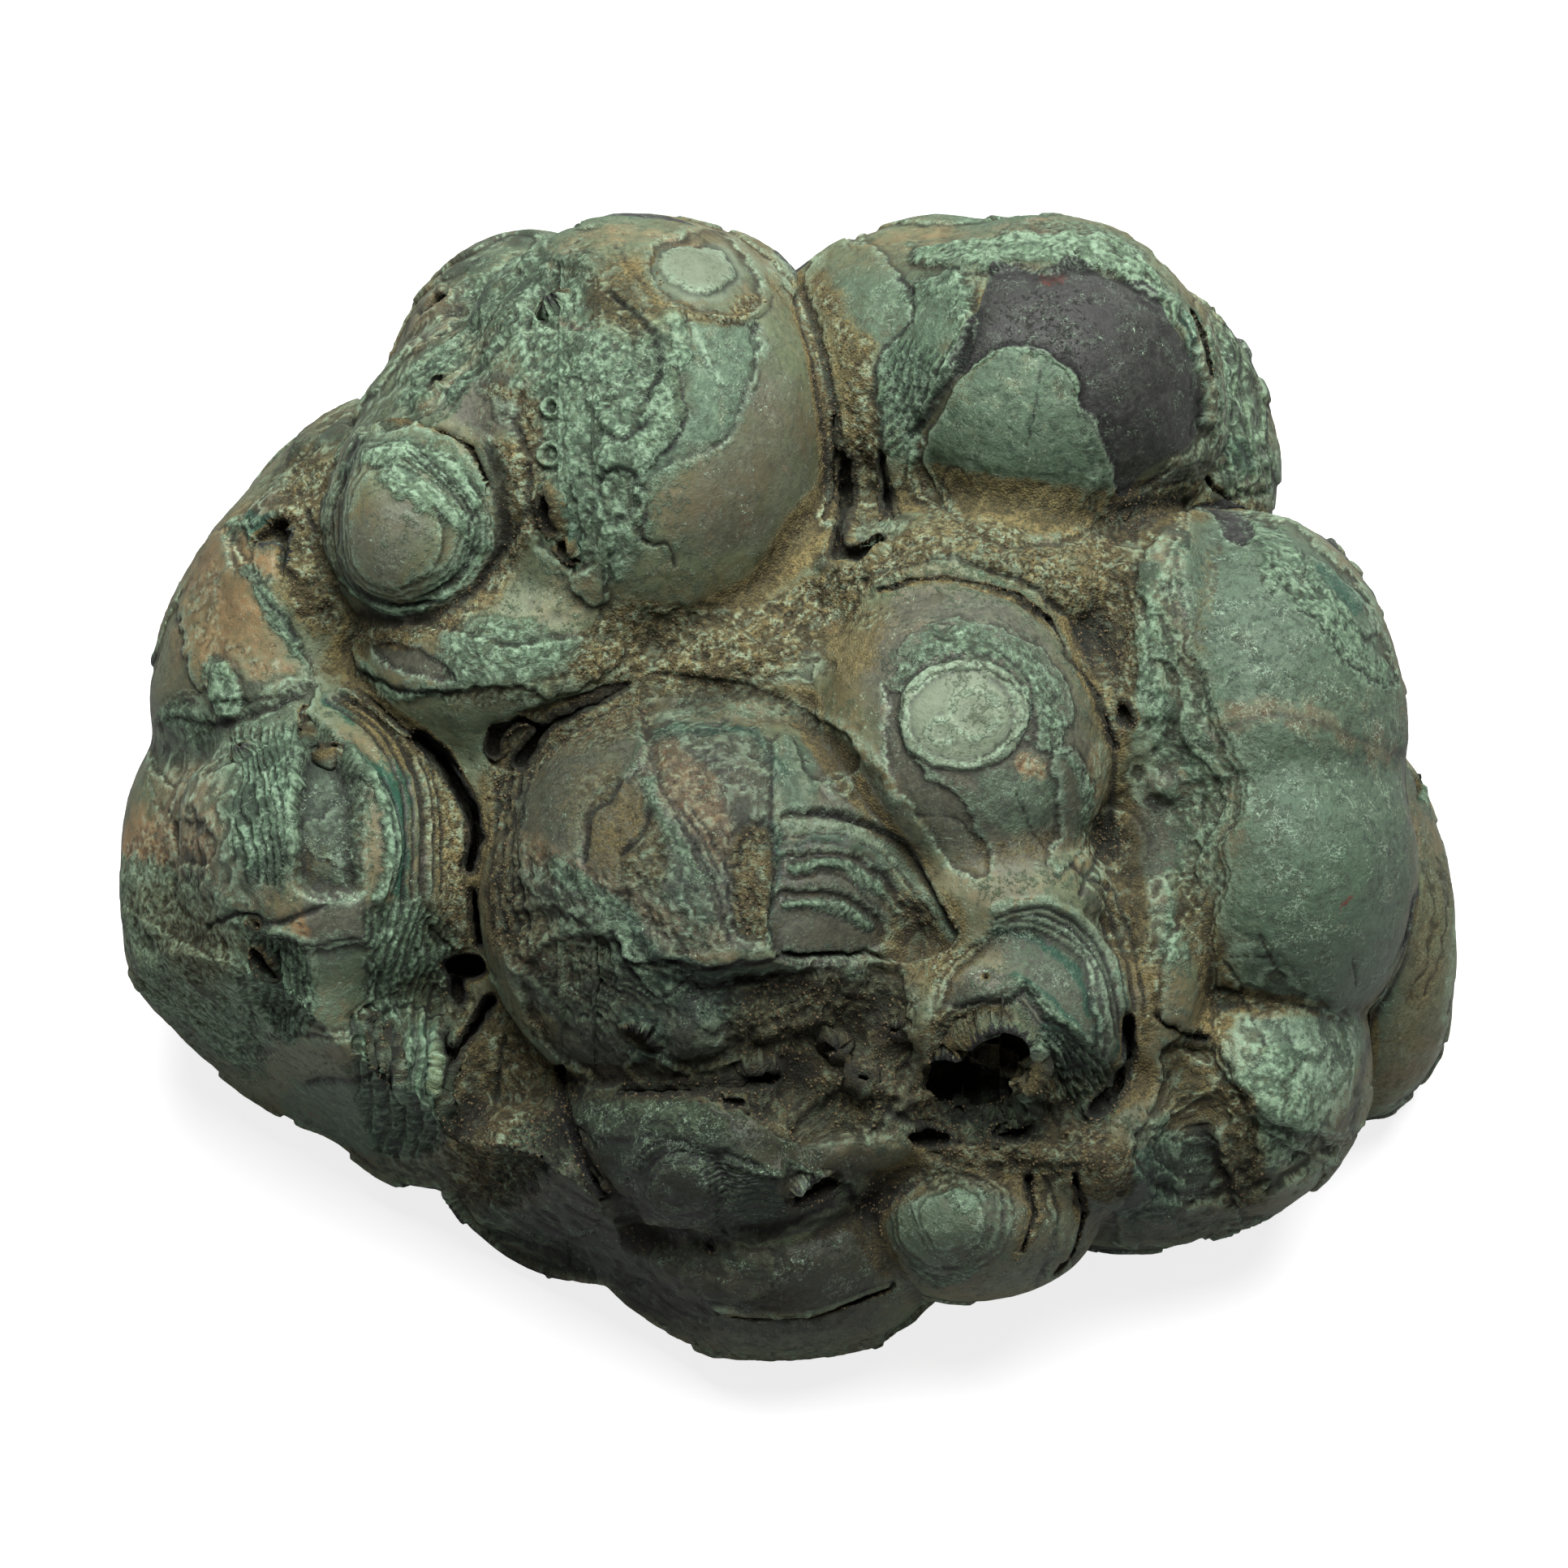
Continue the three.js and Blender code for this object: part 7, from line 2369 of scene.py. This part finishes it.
    def _thinned(self, block: Block, points: Array, faces: Array,
                 sets: dict[str, list[Array]]) -> bpy.types.Mesh:
        """A block's skin with fewer triangles where it is smooth.

        Args:
            block: The block.
            points: Its skin's points, standing, in mm.
            faces: Its skin's triangles.
            sets: The fields to store with the skin, four to an attribute.

        Returns:
            The thinner skin, in metres, with the fields.
        """
        item = bpy.data.objects.new("raw_skin", triangle_mesh("raw_skin", points, faces))
        for name, fields in sets.items():
            layer = item.data.attributes.new(name, "FLOAT_COLOR", "POINT")
            layer.data.foreach_set("color", np.stack(fields, axis=1).astype(np.float32).ravel())
        bpy.context.collection.objects.link(item)
        thin = item.modifiers.new("thin", "DECIMATE")
        wanted = block.triangles
        thin.ratio = min(1.0, wanted / len(faces))
        graph = bpy.context.evaluated_depsgraph_get()
        mesh = bpy.data.meshes.new_from_object(item.evaluated_get(graph))
        mesh.name = block.name
        raw = item.data
        bpy.data.objects.remove(item)
        bpy.data.meshes.remove(raw)
        points = np.empty(len(mesh.vertices) * 3, np.float32)
        mesh.vertices.foreach_get("co", points)
        points[2::3] = np.maximum(points[2::3], 0.0)
        mesh.vertices.foreach_set("co", points)
        mesh.update()
        return mesh

    def _hollowness(self, mass: Mass, points: Array, normals: Array) -> Array:
        """How far the skin lies in a hollow between lobes, from 0 to 1."""
        total = np.zeros(len(points))
        for reach in self.hollow_reaches:
            total += 1.0 - np.clip(mass.sample(points + normals * reach) / reach, -0.2, 1.0)
        share = total / len(self.hollow_reaches)
        return np.clip(share * self.hollow_gain, 0.0, self.hollow_most)

    def _fields(self, tones: Tones, relief: Relief, carved: Array,
                faces: Array) -> dict[str, list[Array]]:
        """The fields that the finish follows, four to an attribute.

        Args:
            tones: The tones over the skin.
            relief: Its relief.
            carved: The skin's points with the relief.
            faces: Its triangles.

        Returns:
            The fields by attribute.
        """
        rows = dict(zip(Tone, tones.values))
        traces = relief.traces
        # Masks for the painted highlight on the raised side of ledge edges, and for the painted shade at
        # their feet and in cracks.
        rim = np.clip(1.0 - traces.ledge / self.rim_width, 0.0, 1.0) * (traces.ledge > 0.0)
        foot = np.clip(1.0 + traces.ledge / self.foot_width, 0.0, 1.0) * (traces.ledge <= 0.0)
        crack = 1.0 - ramp(traces.seam, 0.15, 0.9)
        return {
            "tone_a": [rows[tone] for tone in (Tone.MINT, Tone.TEAL, Tone.PLUM, Tone.JET)],
            "tone_b": [rows[tone] for tone in (Tone.DEEP, Tone.DUST, Tone.TAN, Tone.RUST)],
            "tone_c": [rows[Tone.CHALK], relief.hollow, self._curvature(carved, faces), traces.broken],
            "form": [rim, foot, crack, traces.banded],
            "layer": [traces.band, rows[Tone.PAINTED_SHADE], traces.band, rows[Tone.PAINTED_SHADE]],
        }


@dataclass
class Grains:
    """Loose sand grains that lie in the stone's hollows."""

    name: str = "sand_grains"
    count: int = 8000
    seed: int = 5
    smallest: float = 0.00014
    largest: float = 0.00034

    def build(self, beds: list[Array], material: bpy.types.Material) -> bpy.types.Object:
        """Scatters the grains.

        Args:
            beds: Standing points of the skin on which a grain may lie, in mm.
            material: The grains' finish.

        Returns:
            The grains as one piece.
        """
        places = np.concatenate(beds)
        count = min(self.count, len(places))
        chosen = np.random.default_rng(self.seed).choice(len(places), count, replace=False)
        points = bpy.data.meshes.new("grain_bed")
        points.from_pydata((places[np.sort(chosen)] * MM).tolist(), [], [])
        bed = bpy.data.objects.new("grain_bed", points)
        bpy.context.collection.objects.link(bed)
        modifier = bed.modifiers.new("grains", "NODES")
        modifier.node_group = self._tree(material)
        settings = {"Smallest": self.smallest, "Largest": self.largest, "Seed": self.seed}
        for item in modifier.node_group.interface.items_tree:
            if item.in_out == "INPUT" and item.name in settings:
                modifier[item.identifier] = settings[item.name]
        graph = bpy.context.evaluated_depsgraph_get()
        mesh = bpy.data.meshes.new_from_object(bed.evaluated_get(graph))
        mesh.name = self.name
        bpy.data.objects.remove(bed)
        bpy.data.meshes.remove(points)
        piece = bpy.data.objects.new(self.name, mesh)
        bpy.context.collection.objects.link(piece)
        return piece

    def _tree(self, material: bpy.types.Material) -> bpy.types.NodeTree:
        """The nodes that put a small stone at each point."""
        tree = bpy.data.node_groups.new(self.name, "GeometryNodeTree")
        sockets = (("Geometry", "Geometry"), ("Smallest", "Float"), ("Largest", "Float"), ("Seed", "Int"))
        for name, kind in sockets:
            tree.interface.new_socket(name, in_out="INPUT", socket_type="NodeSocket" + kind)
        tree.interface.new_socket("Geometry", in_out="OUTPUT", socket_type="NodeSocketGeometry")
        desk = NodeDesk(tree)
        given = desk.node("NodeGroupInput").outputs
        points = desk.node("GeometryNodeMeshToPoints")
        desk.feed(points.inputs["Mesh"], given["Geometry"])
        grain = desk.node("GeometryNodeMeshIcoSphere")
        grain.inputs["Subdivisions"].default_value = 1
        size = self._random(desk, "FLOAT", given["Smallest"], given["Largest"], given["Seed"])
        flat = self._random(desk, "FLOAT_VECTOR", (0.7, 0.7, 0.5), (1.2, 1.2, 0.9), given["Seed"])
        turn = self._random(desk, "FLOAT_VECTOR", (0.0,) * 3, (math.tau,) * 3, given["Seed"])
        scale = desk.node("ShaderNodeVectorMath", operation="SCALE")
        desk.feed(scale.inputs["Vector"], flat)
        desk.feed(scale.inputs["Scale"], size)
        laid = desk.node("GeometryNodeInstanceOnPoints")
        grain_parts = {"Points": points.outputs[0], "Instance": grain.outputs["Mesh"], "Rotation": turn}
        for name, source in (grain_parts | {"Scale": scale.outputs[0]}).items():
            desk.feed(laid.inputs[name], source)
        made = desk.node("GeometryNodeRealizeInstances")
        desk.feed(made.inputs[0], laid.outputs[0])
        dressed = desk.node("GeometryNodeSetMaterial")
        desk.feed(dressed.inputs["Geometry"], made.outputs[0])
        desk.feed(dressed.inputs["Material"], material)
        desk.feed(desk.node("NodeGroupOutput").inputs[0], dressed.outputs[0])
        return tree

    def _random(self, desk: NodeDesk, kind: str, low: object, high: object, seed: Socket) -> Socket:
        """A random value for each point."""
        made = desk.node("FunctionNodeRandomValue", data_type=kind)
        for name, source in (("Min", low), ("Max", high), ("Seed", seed)):
            target = next(socket for socket in made.inputs if socket.enabled and socket.name == name)
            desk.feed(target, source)
        return next(socket for socket in made.outputs if socket.enabled)


# ---------------------------------------------------------------- the studio


@dataclass(frozen=True)
class Lamp:
    """A soft square light that faces the specimen."""

    name: str
    at: tuple[float, float, float]
    size: float
    power: float
    colour: tuple[float, float, float] = (1.0, 1.0, 1.0)


@dataclass
class Studio:
    """A pale floor, soft lights and the camera."""

    floor_reach: float = 6.0
    floor_grey: float = 0.28
    floor_glow: float = 0.82
    sky: float = 0.1
    lens_width: float = 36.0
    view_width: float = 280.7
    target: tuple[float, float, float] = (0.0, 0.0, 0.07)
    lamps: tuple[Lamp, ...] = (
        Lamp("key", (0.12, -0.06, 1.45), 1.3, 64.5),
        Lamp("rim", (0.5, 1.2, 0.7), 0.9, 7.0),
    )

    def build(self) -> None:
        """Makes the floor, the lights, the surrounding light and the camera."""
        self._floor()
        for lamp in self.lamps:
            self._lamp(lamp)
        self._world()
        self._camera()

    def _floor(self) -> None:
        """A plain pale floor under the specimen, lit a little from within so that its shadow stays faint."""
        reach = self.floor_reach
        mesh = bpy.data.meshes.new("floor")
        corners = [(-reach, -reach, 0), (reach, -reach, 0), (reach, reach, 0), (-reach, reach, 0)]
        mesh.from_pydata(corners, [], [(0, 1, 2, 3)])
        material = bpy.data.materials.new("floor_paint")
        material.use_nodes = True
        shader = material.node_tree.nodes["Principled BSDF"]
        shader.inputs["Base Color"].default_value = (*(self.floor_grey,) * 3, 1.0)
        shader.inputs["Roughness"].default_value = 0.9
        shader.inputs["Emission Color"].default_value = (1.0, 1.0, 1.0, 1.0)
        desk = NodeDesk(material.node_tree)
        seen = desk.node("ShaderNodeLightPath").outputs["Is Camera Ray"]
        desk.feed(shader.inputs["Emission Strength"], desk.math("MULTIPLY", seen, self.floor_glow))
        mesh.materials.append(material)
        plane = bpy.data.objects.new("floor", mesh)
        bpy.context.collection.objects.link(plane)

    def _lamp(self, lamp: Lamp) -> None:
        """One soft light, turned to the specimen."""
        light = bpy.data.lights.new(lamp.name, "AREA")
        light.shape = "DISK"
        light.size = lamp.size
        light.energy = lamp.power
        light.color = lamp.colour
        item = bpy.data.objects.new(lamp.name, light)
        item.location = lamp.at
        gaze = Vector(self.target) - Vector(lamp.at)
        item.rotation_euler = gaze.to_track_quat("-Z", "Y").to_euler()
        bpy.context.collection.objects.link(item)

    def _world(self) -> None:
        """An even white surround."""
        world = bpy.data.worlds.new("surround")
        world.use_nodes = True
        background = world.node_tree.nodes["Background"]
        background.inputs["Color"].default_value = (1.0, 1.0, 1.0, 1.0)
        background.inputs["Strength"].default_value = self.sky
        bpy.context.scene.world = world
        bpy.context.scene.view_settings.view_transform = "Standard"

    def _camera(self) -> None:
        """The camera, looking straight down at the leaning face."""
        lens = bpy.data.cameras.new("camera")
        lens.sensor_width = self.lens_width
        lens.lens = self.lens_width * FACE.eye_distance / self.view_width
        lens.clip_end = 20.0
        camera = bpy.data.objects.new("camera", lens)
        camera.location = Vector(FACE.eye()) * MM
        camera.rotation_euler = (FACE.lean, 0.0, 0.0)
        bpy.context.collection.objects.link(camera)
        bpy.context.scene.camera = camera


# ---------------------------------------------------------------- the whole


def main() -> None:
    """Builds the specimen and its studio, and hangs each piece on the body in place of the hidden CAD part.
    """
    logging.basicConfig(level=logging.INFO, format="%(name)s: %(message)s")
    effects = Effects()
    stone = MalachiteFinish().build(effects)
    specimen = Specimen()
    specimen.build(stone)
    grains = Grains().build(specimen.beds, GritFinish().build(effects))
    for piece in (*specimen.pieces, grains):
        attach(piece, BODY)
        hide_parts(NODE)
        log.info("%s: %d triangles", piece.name, len(piece.data.polygons))
    Studio().build()


if __name__ == "__main__":
    main()
